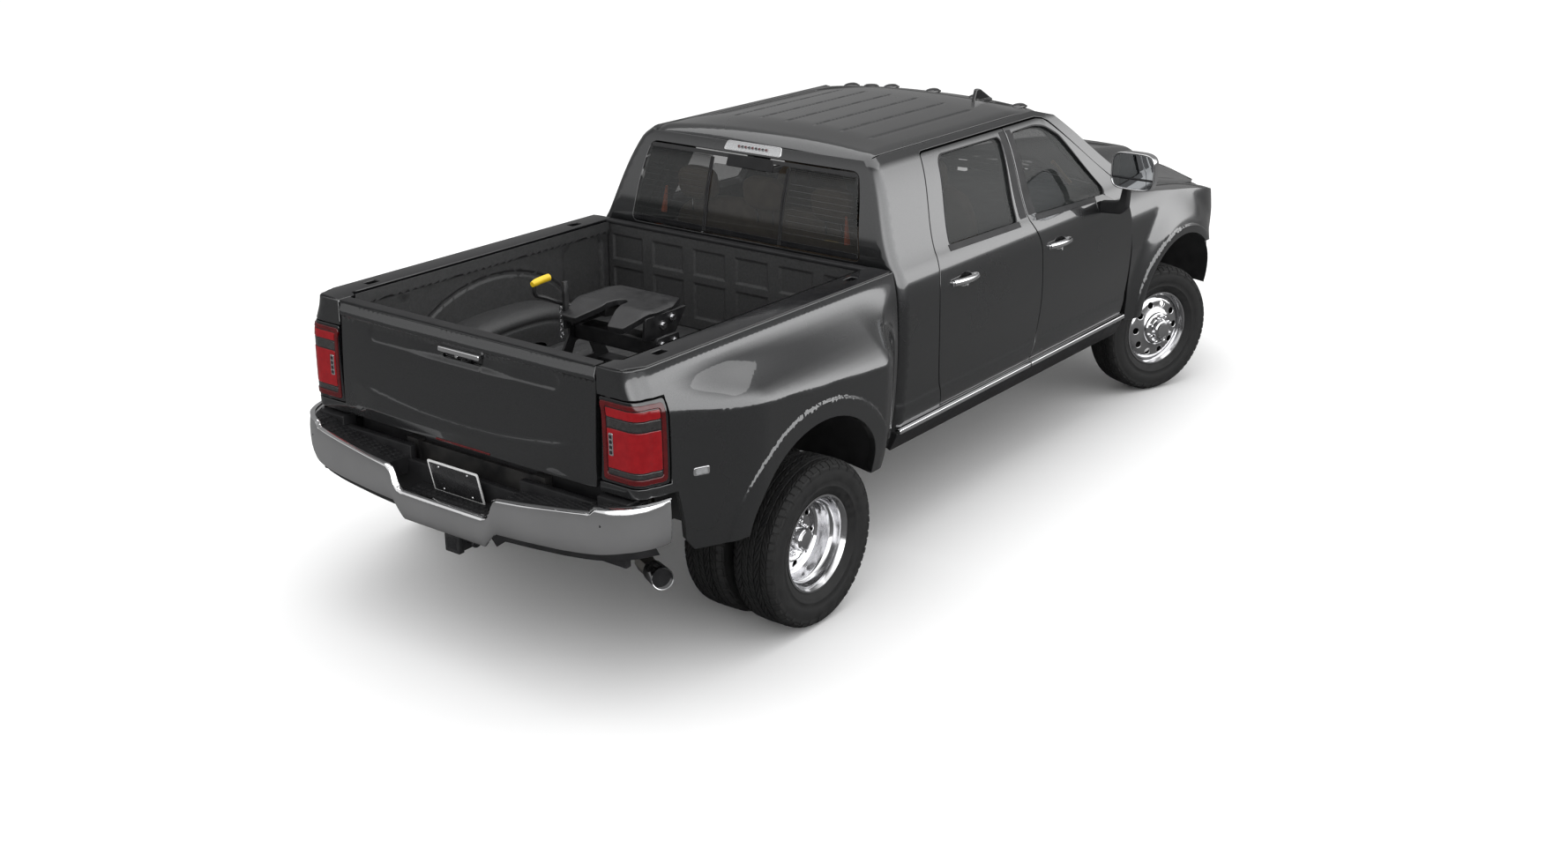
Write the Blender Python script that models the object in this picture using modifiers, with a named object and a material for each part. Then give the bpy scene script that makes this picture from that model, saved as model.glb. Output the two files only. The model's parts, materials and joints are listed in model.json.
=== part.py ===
"""Four-door pickup truck with twin rear wheels, built as named, jointed pieces.

Metres, +X forward, +Y left, +Z up. The origin is on the ground under the
middle of the truck. The front wheels rest turned to the right.
"""
import math

import bmesh
import bpy
from mathutils import Matrix, Vector

# ---------------------------------------------------------------- sizes
LENGTH = 6.35
FRONT_AXLE = 2.110
REAR_AXLE = -1.967
TYRE_RADIUS = 0.402
TYRE_WIDTH = 0.235
RIM_RADIUS = 0.2335
RIM_WIDTH = 0.172
KINGPIN = 0.7405          # half distance between the steering pivots
FRONT_LIP = 0.236         # front rim's outer lip, outboard of the pivot
REAR_LIP = 1.194          # rear outer rim's lip, from the centre
DUAL_SPACING = 0.285
STEER_REST = -21.6        # degrees, front wheels turned right
ROUND_STEPS = 28          # flats round a wheel

SKIN_GAP = 0.009          # between a door, lid or gate and the panel beside it
FIT = 0.0003              # between two pieces that touch
EDGE_RELIEF = 0.024       # inner face of a door set back at its rear edge

FRAME_HALF = 0.40         # centre of each frame rail
RAIL_WIDE = 0.075
RAIL_TALL = 0.150
RAIL_TOP_CAB = 0.640
RAIL_TOP_BED = 0.860
RAIL_TOP_NOSE = 0.660

CAB_REAR = -1.015
DOOR_BOTTOM = 0.645
DOOR_TOP = 1.912
DOOR_THICK = 0.100
FRAME_THICK = 0.045       # door above its belt
BELT = 1.455
ROOF_SEAM = 1.950
ROOF_CROWN = 2.012
ROOF_HALF = 0.690
ROOF_THICK = 0.035
COWL = 1.500              # rear edge of the hood at its sides
HOOD_FRONT = 3.040
HOOD_HALF = 0.800
FENDER_BACK = 1.482
FENDER_THICK = 0.085

BED_FRONT = -1.058
BED_FLOOR = 0.950
BED_RAIL = 1.457
BED_HALF = 0.845          # inside of the load space
HUMP_HALF = 0.648         # between the wheelhouses
HUMP_TOP = 1.160
BED_FLARE = 0.217         # how far the rear fenders stand out
GATE_HALF = 0.790
GATE_INNER = -2.925
GATE_AXIS_X = -2.945
GATE_AXIS_Z = 0.940
BED_BACK = -2.985

# half width of the body against height
SKIN = [(0.50, 0.945), (0.62, 0.978), (0.80, 0.998), (1.05, 1.010), (1.25, 1.004),
        (1.36, 0.990), (1.43, 0.965), (1.47, 0.940), (1.89, 0.765), (1.95, 0.700)]
SKIN_LINES = [height for height, _ in SKIN[1:-1]]

PAINT = ((0.055, 0.057, 0.060), 0.35, 0.6)
BLACK = ((0.015, 0.015, 0.016), 0.60, 0.0)
STEEL = ((0.060, 0.060, 0.062), 0.55, 0.7)
CHROME = ((0.800, 0.800, 0.800), 0.08, 1.0)
RUBBER = ((0.020, 0.020, 0.020), 0.85, 0.0)
GLASS = ((0.080, 0.090, 0.095), 0.05, 0.0)
LEATHER = ((0.330, 0.270, 0.210), 0.55, 0.0)
LINER = ((0.030, 0.030, 0.031), 0.80, 0.0)
LAMP_RED = ((0.350, 0.010, 0.010), 0.15, 0.0)
LAMP_CLEAR = ((0.600, 0.600, 0.620), 0.10, 0.0)


def between(table, value):
    """Straight-line reading of a table of (place, size) pairs."""
    if value <= table[0][0]:
        return table[0][1]
    for (low, first), (high, second) in zip(table, table[1:]):
        if value <= high:
            return first + (second - first) * (value - low) / (high - low)
    return table[-1][1]


def ramp(value, low, high):
    """0 below low, 1 above high, smooth between."""
    part = min(max((value - low) / (high - low), 0.0), 1.0)
    return part * part * (3 - 2 * part)


def skin(height):
    return between(SKIN, height)


# ---------------------------------------------------------------- scene and tools
def clear_scene():
    for item in list(bpy.data.objects):
        bpy.data.objects.remove(item, do_unlink=True)


def make_collection(name):
    group = bpy.data.collections.new(name)
    bpy.context.scene.collection.children.link(group)
    return group


def paint(item, finish):
    colour, roughness, metallic = finish
    material = bpy.data.materials.new(item.name + "_finish")
    material.use_nodes = True
    shader = material.node_tree.nodes["Principled BSDF"]
    shader.inputs["Base Color"].default_value = (*colour, 1.0)
    shader.inputs["Roughness"].default_value = roughness
    shader.inputs["Metallic"].default_value = metallic
    item.data.materials.clear()
    item.data.materials.append(material)


def object_from(bm, name):
    """A named object in the parts collection, with its faces pointing out."""
    bmesh.ops.recalc_face_normals(bm, faces=bm.faces)
    mesh = bpy.data.meshes.new(name)
    bm.to_mesh(mesh)
    bm.free()
    item = bpy.data.objects.new(name, mesh)
    TRUCK.objects.link(item)
    return item


def bake(item):
    """Replace an object's mesh by its evaluated one, in the object's own axes."""
    graph = bpy.context.evaluated_depsgraph_get()
    graph.update()
    mesh = bpy.data.meshes.new_from_object(item.evaluated_get(graph))
    fresh = bpy.data.objects.new(item.name + "_baked", mesh)
    TRUCK.objects.link(fresh)
    fresh.matrix_world = item.matrix_world
    name = item.name
    bpy.data.objects.remove(item, do_unlink=True)
    fresh.name = name
    return fresh


def box(name, low, high):
    bm = bmesh.new()
    bmesh.ops.create_cube(bm, size=1.0)
    size = Vector(high) - Vector(low)
    middle = (Vector(high) + Vector(low)) / 2
    bmesh.ops.scale(bm, vec=size, verts=bm.verts)
    bmesh.ops.translate(bm, vec=middle, verts=bm.verts)
    return object_from(bm, name)


def rod(name, start, end, radius, end_radius=None, sides=14):
    """A round bar or cone between two points."""
    start, end = Vector(start), Vector(end)
    run = end - start
    bm = bmesh.new()
    bmesh.ops.create_cone(bm, cap_ends=True, segments=sides, radius1=radius,
                          radius2=radius if end_radius is None else end_radius,
                          depth=run.length)
    turn = run.to_track_quat("Z", "Y").to_matrix().to_4x4()
    bmesh.ops.transform(bm, matrix=Matrix.Translation((start + end) / 2) @ turn, verts=bm.verts)
    return object_from(bm, name)


def ball(name, centre, radius, squash=(1, 1, 1)):
    bm = bmesh.new()
    bmesh.ops.create_uvsphere(bm, u_segments=16, v_segments=8, radius=radius)
    bmesh.ops.scale(bm, vec=squash, verts=bm.verts)
    bmesh.ops.translate(bm, vec=centre, verts=bm.verts)
    return object_from(bm, name)


def turned(name, profile, steps, closed):
    """A profile of (radius, along) pairs turned about the local Z axis."""
    bm = bmesh.new()
    points = [bm.verts.new((radius, 0.0, along)) for radius, along in profile]
    for first, second in zip(points, points[1:]):
        bm.edges.new((first, second))
    if closed:
        bm.edges.new((points[-1], points[0]))
    mesh = bpy.data.meshes.new(name)
    bm.to_mesh(mesh)
    bm.free()
    item = bpy.data.objects.new(name, mesh)
    TRUCK.objects.link(item)
    screw = item.modifiers.new("turn", "SCREW")
    screw.steps = screw.render_steps = steps
    screw.use_merge_vertices = True
    screw.merge_threshold = 0.0001
    item = bake(item)
    bm = bmesh.new()
    bm.from_mesh(item.data)
    bmesh.ops.remove_doubles(bm, verts=bm.verts, dist=0.00005)
    bmesh.ops.recalc_face_normals(bm, faces=bm.faces)
    bm.to_mesh(item.data)
    bm.free()
    return item


def settle(item, matrix):
    """Move a mesh by a matrix and leave the object's own axes plain."""
    item.data.transform(matrix)
    if matrix.determinant() < 0:
        item.data.flip_normals()
    return item


AXES = {"side": Matrix(((1, 0, 0, 0), (0, 0, 1, 0), (0, 1, 0, 0), (0, 0, 0, 1))),
        "top": Matrix.Identity(4),
        "end": Matrix(((0, 0, 1, 0), (1, 0, 0, 0), (0, 1, 0, 0), (0, 0, 0, 1)))}


def sheet(name, loops):
    """A flat outline with holes, one unit thick, as a welded mesh in its own plane."""
    curve = bpy.data.curves.new(name, "CURVE")
    curve.dimensions = "2D"
    curve.fill_mode = "BOTH"
    curve.extrude = 0.5
    for loop in loops:
        spline = curve.splines.new("POLY")
        spline.points.add(len(loop) - 1)
        for point, (u, v) in zip(spline.points, loop):
            point.co = (u, v, 0.0, 1.0)
        spline.use_cyclic_u = True
    item = bpy.data.objects.new(name + "_outline", curve)
    TRUCK.objects.link(item)
    graph = bpy.context.evaluated_depsgraph_get()
    graph.update()
    mesh = bpy.data.meshes.new_from_object(item.evaluated_get(graph))
    bpy.data.objects.remove(item, do_unlink=True)
    bm = bmesh.new()
    bm.from_mesh(mesh)
    bmesh.ops.remove_doubles(bm, verts=bm.verts, dist=0.00001)
    return bm


def panel(name, loops, facing, outer, inner, lines_u=(), lines_v=()):
    """An outline bent to two surfaces: outer(u, v) and inner(u, v) give its two faces."""
    bm = sheet(name, loops)
    for axis, places in ((0, lines_u), (1, lines_v)):
        for place in places:
            spot = Vector((0, 0, 0))
            spot[axis] = place
            away = Vector((0, 0, 0))
            away[axis] = 1
            everything = bm.verts[:] + bm.edges[:] + bm.faces[:]
            bmesh.ops.bisect_plane(bm, geom=everything, dist=0.00002, plane_co=spot, plane_no=away)
    for vert in bm.verts:
        u, v, side = vert.co
        vert.co.z = outer(u, v) if side > 0 else inner(u, v)
    bmesh.ops.transform(bm, matrix=AXES[facing], verts=bm.verts)
    bmesh.ops.triangulate(bm, faces=[face for face in bm.faces if len(face.verts) > 4])
    return object_from(bm, name)


def plate(name, loops, facing, low, high):
    """A flat outline of even thickness."""
    return panel(name, loops, facing, lambda u, v: high, lambda u, v: low)


def combine(target, tools, operation):
    for index, tool in enumerate(tools):
        tool.hide_render = True
        tool.display_type = "WIRE"
        step = target.modifiers.new("step%d" % index, "BOOLEAN")
        step.operation = operation
        step.solver = "EXACT"
        step.object = tool
    target = bake(target)
    for tool in tools:
        bpy.data.objects.remove(tool, do_unlink=True)
    bm = bmesh.new()
    bm.from_mesh(target.data)
    bmesh.ops.remove_doubles(bm, verts=bm.verts, dist=0.00002)
    bmesh.ops.dissolve_degenerate(bm, dist=0.00002, edges=bm.edges)
    bm.to_mesh(target.data)
    bm.free()
    return target


def unite(target, *tools):
    return combine(target, tools, "UNION")


def cut(target, *tools):
    return combine(target, tools, "DIFFERENCE")


def bevel(item, width, angle=40):
    edge = item.modifiers.new("edge", "BEVEL")
    edge.width = width
    edge.segments = 1
    edge.limit_method = "ANGLE"
    edge.angle_limit = math.radians(angle)
    return bake(item)


def on_axis(item, point):
    """Put the object's origin on a joint's axis without moving its mesh."""
    place = Vector(point)
    item.data.transform(Matrix.Translation(-place))
    item.location = place
    return item


def both_sides(build):
    """Run a builder for the left (+1) and the right (-1) side."""
    for word, side in (("left", 1), ("right", -1)):
        build(word, side)


def round_arch(centre, half, base, top, count=14):
    """An arch opening from base up: straight feet and an elliptic crown."""
    spring = base + (top - base) * 0.10
    points = [(centre + half, base - 0.30)]
    for index in range(count + 1):
        angle = math.pi * index / count
        points.append((centre + half * math.cos(angle), spring + (top - spring) * math.sin(angle)))
    points.append((centre - half, base - 0.30))
    return points


# ---------------------------------------------------------------- chassis
def rail_top(x):
    table = [(-3.0, RAIL_TOP_BED), (-1.30, RAIL_TOP_BED), (-1.00, RAIL_TOP_CAB),
             (1.40, RAIL_TOP_CAB), (1.70, RAIL_TOP_NOSE), (3.0, RAIL_TOP_NOSE)]
    return between(table, x)


FRAME_BACK = -2.945
FRAME_NOSE = 3.020


def frame():
    stations = [FRAME_BACK, -1.30, -1.00, 1.40, 1.70, FRAME_NOSE]
    outline = [(x, rail_top(x)) for x in stations]
    outline += [(x, rail_top(x) - RAIL_TALL) for x in reversed(stations)]
    rails = []
    for side in (1, -1):
        low = side * FRAME_HALF - RAIL_WIDE / 2
        rails.append(plate("rail", [outline], "side", low, low + RAIL_WIDE))
    reach = FRAME_HALF + 0.01
    for x, tall, wide in ((2.90, 0.10, 0.06), (-0.20, 0.08, 0.10), (-1.42, 0.10, 0.08),
                          (-2.06, 0.06, 0.08), (-2.90, 0.12, 0.05)):
        middle = rail_top(x) - RAIL_TALL / 2
        rails.append(box("cross", (x - wide / 2, -reach, middle - tall / 2),
                         (x + wide / 2, reach, middle + tall / 2)))
    item = unite(rails[0], *rails[1:])
    item.name = "frame"
    paint(item, STEEL)


DIFF_OFFSET = 0.22
SPRING_FRONT = 0.40


def front_axle():
    end = KINGPIN - 0.075
    z = TYRE_RADIUS
    tube = rod("front_axle", (FRONT_AXLE, -end, z), (FRONT_AXLE, end, z), 0.045)
    extra = [ball("diff", (FRONT_AXLE, DIFF_OFFSET, z), 0.125, (1.0, 0.8, 1.0)),
             rod("nose", (FRONT_AXLE - 0.20, DIFF_OFFSET, z), (FRONT_AXLE, DIFF_OFFSET, z), 0.05)]
    for side in (1, -1):
        top = RAIL_TOP_NOSE - RAIL_TALL - FIT
        extra.append(rod("spring", (FRONT_AXLE, side * SPRING_FRONT, z),
                         (FRONT_AXLE, side * SPRING_FRONT, top), 0.06))
        extra.append(box("yoke", (FRONT_AXLE - 0.04, side * end - 0.015, z - 0.10),
                         (FRONT_AXLE + 0.04, side * end + 0.015, z + 0.10)))
    item = unite(tube, *extra)
    paint(item, STEEL)


REAR_HUB_INNER = 0.640
SHAFT_Z = TYRE_RADIUS + 0.02
PINION_X = REAR_AXLE + 0.27


def rear_axle():
    z = TYRE_RADIUS
    tube = rod("rear_axle", (REAR_AXLE, -REAR_HUB_INNER, z), (REAR_AXLE, REAR_HUB_INNER, z), 0.055)
    extra = [ball("diff", (REAR_AXLE, 0, z), 0.16, (0.95, 1.0, 1.0)),
             rod("nose", (PINION_X, 0, SHAFT_Z), (REAR_AXLE, 0, SHAFT_Z), 0.055, 0.09)]
    for side in (1, -1):
        y = side * 0.535
        leaf = [(REAR_AXLE + 0.68, 0.60), (REAR_AXLE + 0.30, 0.52), (REAR_AXLE, 0.495),
                (REAR_AXLE - 0.30, 0.52), (REAR_AXLE - 0.60, 0.60)]
        outline = leaf + [(x, zz - 0.055) for x, zz in reversed(leaf)]
        extra.append(plate("leaf", [outline], "side", y - 0.032, y + 0.032))
        extra.append(box("pad", (REAR_AXLE - 0.07, y - 0.05, z - 0.04),
                         (REAR_AXLE + 0.07, y + 0.05, 0.50)))
        for x in (REAR_AXLE + 0.66, REAR_AXLE - 0.58):
            inner = FRAME_HALF + RAIL_WIDE / 2 + FIT
            low, high = sorted((side * inner, side * (0.535 + 0.032)))
            extra.append(box("hanger", (x - 0.03, low, 0.56), (x + 0.03, high, 0.80)))
    item = unite(tube, *extra)
    paint(item, STEEL)


ENGINE_FRONT = 2.480
ENGINE_BACK = 1.435


def engine():
    item = box("engine", (ENGINE_BACK, -0.30, RAIL_TOP_NOSE - RAIL_TALL + 0.03),
               (ENGINE_FRONT, 0.30, 1.12))
    item = bevel(item, 0.03)
    paint(item, STEEL)


CASE_BACK = 0.05


def driveline():
    z = 0.52
    gear = rod("driveline", (ENGINE_BACK - FIT, 0, z - 0.05), (0.75, 0, z - 0.05), 0.155, 0.11)
    case_side = box("case", (CASE_BACK, -0.10, SHAFT_Z - 0.07), (0.35, DIFF_OFFSET + 0.06, z + 0.06))
    tail = rod("tail", (0.80, 0, z - 0.04), (0.30, 0, z - 0.04), 0.09)
    back = rod("shaft", (CASE_BACK + 0.02, 0, SHAFT_Z), (PINION_X + FIT, 0, SHAFT_Z), 0.045)
    ahead = rod("shaft", (0.30, DIFF_OFFSET, TYRE_RADIUS),
                (FRONT_AXLE - 0.20 - FIT, DIFF_OFFSET, TYRE_RADIUS), 0.028)
    item = unite(gear, tail, case_side, back, ahead)
    item.name = "driveline"
    paint(item, STEEL)


def exhaust():
    route = [(1.10, -0.24, 0.44), (0.60, -0.24, 0.40), (-0.20, -0.24, 0.40), (-1.30, -0.24, 0.40),
             (-1.62, -0.24, 0.50), (REAR_AXLE + 0.15, -0.24, 0.585), (REAR_AXLE - 0.05, -0.25, 0.590),
             (-2.20, -0.44, 0.40), (-2.50, -0.60, 0.40), (-2.66, -0.74, 0.44), (-2.80, -0.96, 0.48)]
    curve = bpy.data.curves.new("exhaust", "CURVE")
    curve.dimensions = "3D"
    curve.bevel_depth = 0.042
    curve.bevel_resolution = 2
    curve.use_fill_caps = True
    curve.resolution_u = 1
    spline = curve.splines.new("POLY")
    spline.points.add(len(route) - 1)
    for point, place in zip(spline.points, route):
        point.co = (*place, 1.0)
    item = bpy.data.objects.new("exhaust", curve)
    TRUCK.objects.link(item)
    item = bake(item)
    bm = bmesh.new()
    bm.from_mesh(item.data)
    bmesh.ops.remove_doubles(bm, verts=bm.verts, dist=0.0001)
    bmesh.ops.recalc_face_normals(bm, faces=bm.faces)
    bm.to_mesh(item.data)
    bm.free()
    muffler = rod("muffler", (-0.30, -0.24, 0.40), (-1.15, -0.24, 0.40), 0.10)
    item = unite(item, muffler)
    item.name = "exhaust"
    paint(item, STEEL)


def fuel_tank():
    inner = FRAME_HALF + RAIL_WIDE / 2 + FIT
    item = box("fuel_tank", (-0.95, inner, 0.36), (0.35, 0.82, 0.600))
    item = bevel(item, 0.03)
    paint(item, BLACK)


def tyre_profile(radius, width):
    half = width / 2
    bead = RIM_RADIUS + 0.001
    return [(bead, RIM_WIDTH / 2 - 0.012), (bead + 0.04, half - 0.008), (radius * 0.80, half),
            (radius - 0.032, half - 0.010), (radius - 0.006, half - 0.034), (radius, half - 0.060),
            (radius, -half + 0.060), (radius - 0.006, -half + 0.034), (radius - 0.032, -half + 0.010),
            (radius * 0.80, -half), (bead + 0.04, -half + 0.008), (bead, -RIM_WIDTH / 2 + 0.012)]


def tyre(name, place, turn):
    item = turned(name, tyre_profile(TYRE_RADIUS, TYRE_WIDTH), ROUND_STEPS, closed=True)
    settle(item, turn)
    paint(item, RUBBER)
    return on_axis(settle(item, Matrix.Translation(place)), place)


def spare_wheel():
    radius = 0.385
    profile = [(0.0, 0.02), (0.19, 0.02), (0.225, 0.075), (0.30, 0.105), (radius - 0.03, 0.10),
               (radius, 0.06), (radius, -0.06), (radius - 0.03, -0.10), (0.30, -0.105),
               (0.225, -0.075), (0.19, -0.02), (0.0, -0.02)]
    item = turned("spare_wheel", profile, 24, closed=False)
    top = RAIL_TOP_BED - RAIL_TALL - FIT
    settle(item, Matrix.Translation((-2.53, 0, top - 0.105)))
    paint(item, RUBBER)


# ---------------------------------------------------------------- cab
FLOOR_BOTTOM = RAIL_TOP_CAB + FIT
FLOOR_TOP = 0.700
FIREWALL = 1.370
DASH_TOP = 1.375
SEAT_BASE = FLOOR_TOP + FIT


RAIL_LINE = ROOF_SEAM - ROOF_THICK
# depth below the skin: inner face of the side frames, where their two layers meet, and the doors
SIDE_DEPTH = [(1.43, 0.150), (1.47, 0.075), (1.95, 0.075)]
LAYER_DEPTH = [(1.43, 0.125), (1.47, 0.063), (1.89, 0.063), (RAIL_LINE, 0.0474), (1.95, 0.0095)]
RING_DEPTH = [(1.43, DOOR_THICK + 0.009), (1.47, FRAME_THICK + 0.009)]
DOOR_DEPTH = [(1.43, DOOR_THICK), (1.47, FRAME_THICK)]


def cab_inner(height):
    """Inner face of the cab's side frames."""
    return skin(height) - between(SIDE_DEPTH, height)


def cab_floor():
    edge = cab_inner(FLOOR_BOTTOM) - FIT
    back = back_x(FLOOR_TOP) + 0.040 + FIT
    floor = box("cab_floor", (back, -edge, FLOOR_BOTTOM), (FIREWALL + 0.02, edge, FLOOR_TOP))
    wall = box("wall", (FIREWALL, -edge + 0.03, FLOOR_BOTTOM + 0.01), (FIREWALL + 0.03, edge - 0.03, 1.330))
    shelf = panel("shelf", [[(FIREWALL + 0.005, -0.78), (FIREWALL + 0.005, 0.78), (1.470, 0.78),
                             (1.62, 0.30),
                             (1.62, -0.30), (1.470, -0.78)]], "top",
                  lambda x, y: 1.322, lambda x, y: 1.295)
    item = unite(floor, wall, shelf)
    paint(item, BLACK)


def back_x(height):
    """Rear face of the cab, leaning forward above the belt."""
    table = [(0.5, CAB_REAR), (1.44, CAB_REAR + 0.010), (1.88, CAB_REAR + 0.105), (1.96, CAB_REAR + 0.150)]
    return between(table, height)


REAR_DOOR_BACK = [(-0.597, DOOR_BOTTOM), (-0.640, 0.82), (-0.664, 1.045), (-0.655, 1.30),
                  (-0.616, 1.509), (-0.560, 1.70), (-0.501, DOOR_TOP - 0.030)]
DOOR_SPLIT = [(0.324, DOOR_BOTTOM), (0.372, 0.80), (0.393, 0.983), (0.390, 1.22), (0.376, 1.316),
              (0.306, BELT - 0.017), (0.334, DOOR_TOP)]
FRONT_DOOR_FRONT = [(1.425, DOOR_BOTTOM), (1.462, 0.85), (1.474, 1.05), (1.472, 1.201),
                    (1.440, 1.300), (1.395, 1.420), (1.325, 1.490), (0.800, 1.878)]
REAR_HINGE = (0.395, skin(1.05) + 0.001)
FRONT_HINGE = (1.476, skin(1.05) + 0.001)


def shift(points, dx):
    return [(x + dx, z) for x, z in points]


def rear_door_outline(grow=0.0):
    """The rear door's edge, bottom left round by the roof; grow opens it evenly."""
    back = shift(REAR_DOOR_BACK, -grow)
    front = shift(DOOR_SPLIT, -SKIN_GAP / 2 + grow)
    back[0] = (back[0][0], back[0][1] - grow)
    front[0] = (front[0][0], front[0][1] - grow)
    top = [(back[-1][0] + 0.035, DOOR_TOP + grow), (front[-1][0], DOOR_TOP + grow)]
    return back + top + front[-2::-1]


def front_door_outline(grow=0.0):
    back = shift(DOOR_SPLIT, SKIN_GAP / 2 - grow)
    front = shift(FRONT_DOOR_FRONT, grow)
    back[0] = (back[0][0], back[0][1] - grow)
    front[0] = (front[0][0], front[0][1] - grow)
    front[-1] = (front[-1][0], front[-1][1] + grow)
    top = [(back[-1][0], DOOR_TOP + grow), (0.700, DOOR_TOP + grow)]
    return back[:-1] + top + front[::-1]


REAR_WINDOW_HOLE = [(-0.485, BELT + 0.010), (0.180, BELT - 0.005), (0.255, 1.860), (0.235, 1.880),
                    (-0.330, 1.880), (-0.365, 1.850), (-0.470, 1.520)]
FRONT_WINDOW_HOLE = [(0.395, BELT), (1.145, BELT - 0.030), (1.170, BELT + 0.010), (0.850, 1.800),
                     (0.740, 1.862), (0.640, 1.880), (0.395, 1.880)]


def inset(points, amount):
    """Move an outline towards its middle by about the amount."""
    middle_x = sum(x for x, _ in points) / len(points)
    middle_z = sum(z for _, z in points) / len(points)
    moved = []
    for x, z in points:
        away = Vector((x - middle_x, z - middle_z))
        away *= 1 - amount / max(away.length, amount)
        moved.append((middle_x + away.x, middle_z + away.y))
    return moved


def flush_outline():
    """Rear quarter, roof rail, windshield pillar and sill round the open doorway."""
    outer = [(CAB_REAR, 0.585), (back_x(1.44), 1.44), (back_x(1.88), 1.88), (CAB_REAR + 0.150, ROOF_SEAM),
             (0.74, ROOF_SEAM), (0.90, 1.905), (1.405, 1.530), (1.468, 1.440)]
    doorway_front = shift(FRONT_DOOR_FRONT[-3:], SKIN_GAP)
    doorway_front[-1] = (doorway_front[-1][0], doorway_front[-1][1] + SKIN_GAP)
    top = [(0.700, DOOR_TOP + SKIN_GAP), (REAR_DOOR_BACK[-1][0] + 0.035, DOOR_TOP + SKIN_GAP)]
    doorway_back = shift(REAR_DOOR_BACK, -SKIN_GAP)[::-1]
    doorway_back[-1] = (doorway_back[-1][0], DOOR_BOTTOM - SKIN_GAP)
    return outer + doorway_front + top + doorway_back + [(1.470, DOOR_BOTTOM - SKIN_GAP), (1.470, 0.585)]


def ring_outline():
    return [(CAB_REAR + 0.002, 0.590), (back_x(1.44) + 0.002, 1.44), (back_x(1.88) + 0.002, 1.88),
            (back_x(1.905) + 0.002, 1.905), (0.60, 1.905), (0.66, 1.888), (0.90, 1.888), (1.400, 1.520),
            (1.460, 1.435), (1.465, 0.590)]


def cab_shell():
    pieces = []
    for side in (1, -1):
        pieces.append(panel("flush", [flush_outline()], "side",
                            lambda x, z: side * skin(z),
                            lambda x, z: side * (skin(z) - between(LAYER_DEPTH, z)), (),
                            SKIN_LINES + [RAIL_LINE]))
        rear_gap = inset(rear_door_outline(), 0.045)
        front_gap = inset(front_door_outline(), 0.045)
        pieces.append(panel("inner", [ring_outline(), rear_gap, front_gap], "side",
                            lambda x, z: side * (skin(z) - between(RING_DEPTH, z)),
                            lambda x, z: side * cab_inner(z), (), SKIN_LINES))
    edge = skin(0.62) - 0.03
    hole = [(-0.66, 1.475), (0.66, 1.475), (0.60, 1.865), (-0.60, 1.865)]
    outline = [(-edge, 0.66)]
    outline += [(-skin(z) + 0.02, z) for z in (1.05, 1.36, 1.47, 1.90)]
    for step in range(-4, 5):
        y = step * (ROOF_HALF - 0.01) / 4
        outline.append((y, roof_top(CAB_REAR + 0.150, y) - ROOF_THICK - 0.002))
    outline += [(skin(z) - 0.02, z) for z in (1.90, 1.47, 1.36, 1.05)]
    outline += [(edge, 0.66)]
    pieces.append(panel("back", [outline, hole], "end", lambda y, z: back_x(z) + 0.0006,
                        lambda y, z: back_x(z) + 0.040, (), (1.44, 1.88)))
    item = unite(pieces[0], *pieces[1:])
    item.name = "cab_shell"
    paint(item, PAINT)


def roof_top(x, y):
    across = 1 - (abs(y) / ROOF_HALF) ** 2.4
    ends = ramp(x, CAB_REAR + 0.10, -0.55) * (1 - 0.75 * ramp(x, 0.35, 0.95))
    drop = 0.035 * ramp(x, 0.55, 0.95)
    return ROOF_SEAM + (ROOF_CROWN - ROOF_SEAM) * across * (0.45 + 0.55 * ends) - drop


def roof():
    half = ROOF_HALF - FIT
    back = CAB_REAR + 0.150
    header = [(glass_x(y, 1.925) - GLASS_THICK - 0.006, y) for y in (0.40, 0.20, 0.0, -0.20, -0.40)]
    outline = [(back, -half), (back, half), (0.74, half)] + header + [(0.74, -half)]
    item = panel("roof", [outline], "top", roof_top, lambda x, y: roof_top(x, y) - ROOF_THICK,
                 (-0.70, -0.35, 0.0, 0.35, 0.60), (-0.60, -0.42, -0.2, 0.0, 0.2, 0.42, 0.60))
    paint(item, PAINT)


GLASS_THICK = 0.022     # measured along the truck, since the glass leans


def glass_x(y, height):
    """Outer face of the windshield."""
    return 1.605 - 0.150 * (abs(y) / 0.75) ** 2 - (height - 1.400) * 1.330


def windshield():
    half = [(cab_inner(z) - 0.004, z) for z in (1.472, 1.60, 1.885)]
    foot = cab_inner(1.43) - 0.004
    outline = [(-foot + 0.006, 1.400), (foot - 0.006, 1.400), (foot, 1.43)] + half + [(0.40, 1.910),
        (0.0, 1.920), (-0.40, 1.910)]
    outline += [(-y, z) for y, z in reversed(half)] + [(-foot, 1.43)]
    item = panel("windshield", [outline], "end", glass_x, lambda y, z: glass_x(y, z) - GLASS_THICK,
                 (-0.6, -0.4, -0.2, 0.0, 0.2, 0.4, 0.6), (1.55, 1.75))
    paint(item, GLASS)


def rear_window():
    outline = [(-0.66 + 0.004, 1.479), (0.66 - 0.004, 1.479), (0.60 - 0.004, 1.861), (-0.60 + 0.004, 1.861)]
    item = panel("rear_window", [outline], "end", lambda y, z: back_x(z) + 0.010,
                 lambda y, z: back_x(z) + 0.018, (), (1.88,))
    paint(item, GLASS)


def dash_outline(grow=0.0):
    """Side view of the dashboard; grow swells the faces that the column runs into."""
    return [(FIREWALL - FIT, DASH_TOP), (FIREWALL - FIT, 0.98), (1.26, 0.90 - grow), (1.13 - grow, 0.98),
            (1.09 - grow, 1.16), (1.12 - grow, 1.29), (1.24, DASH_TOP + grow)]


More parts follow.
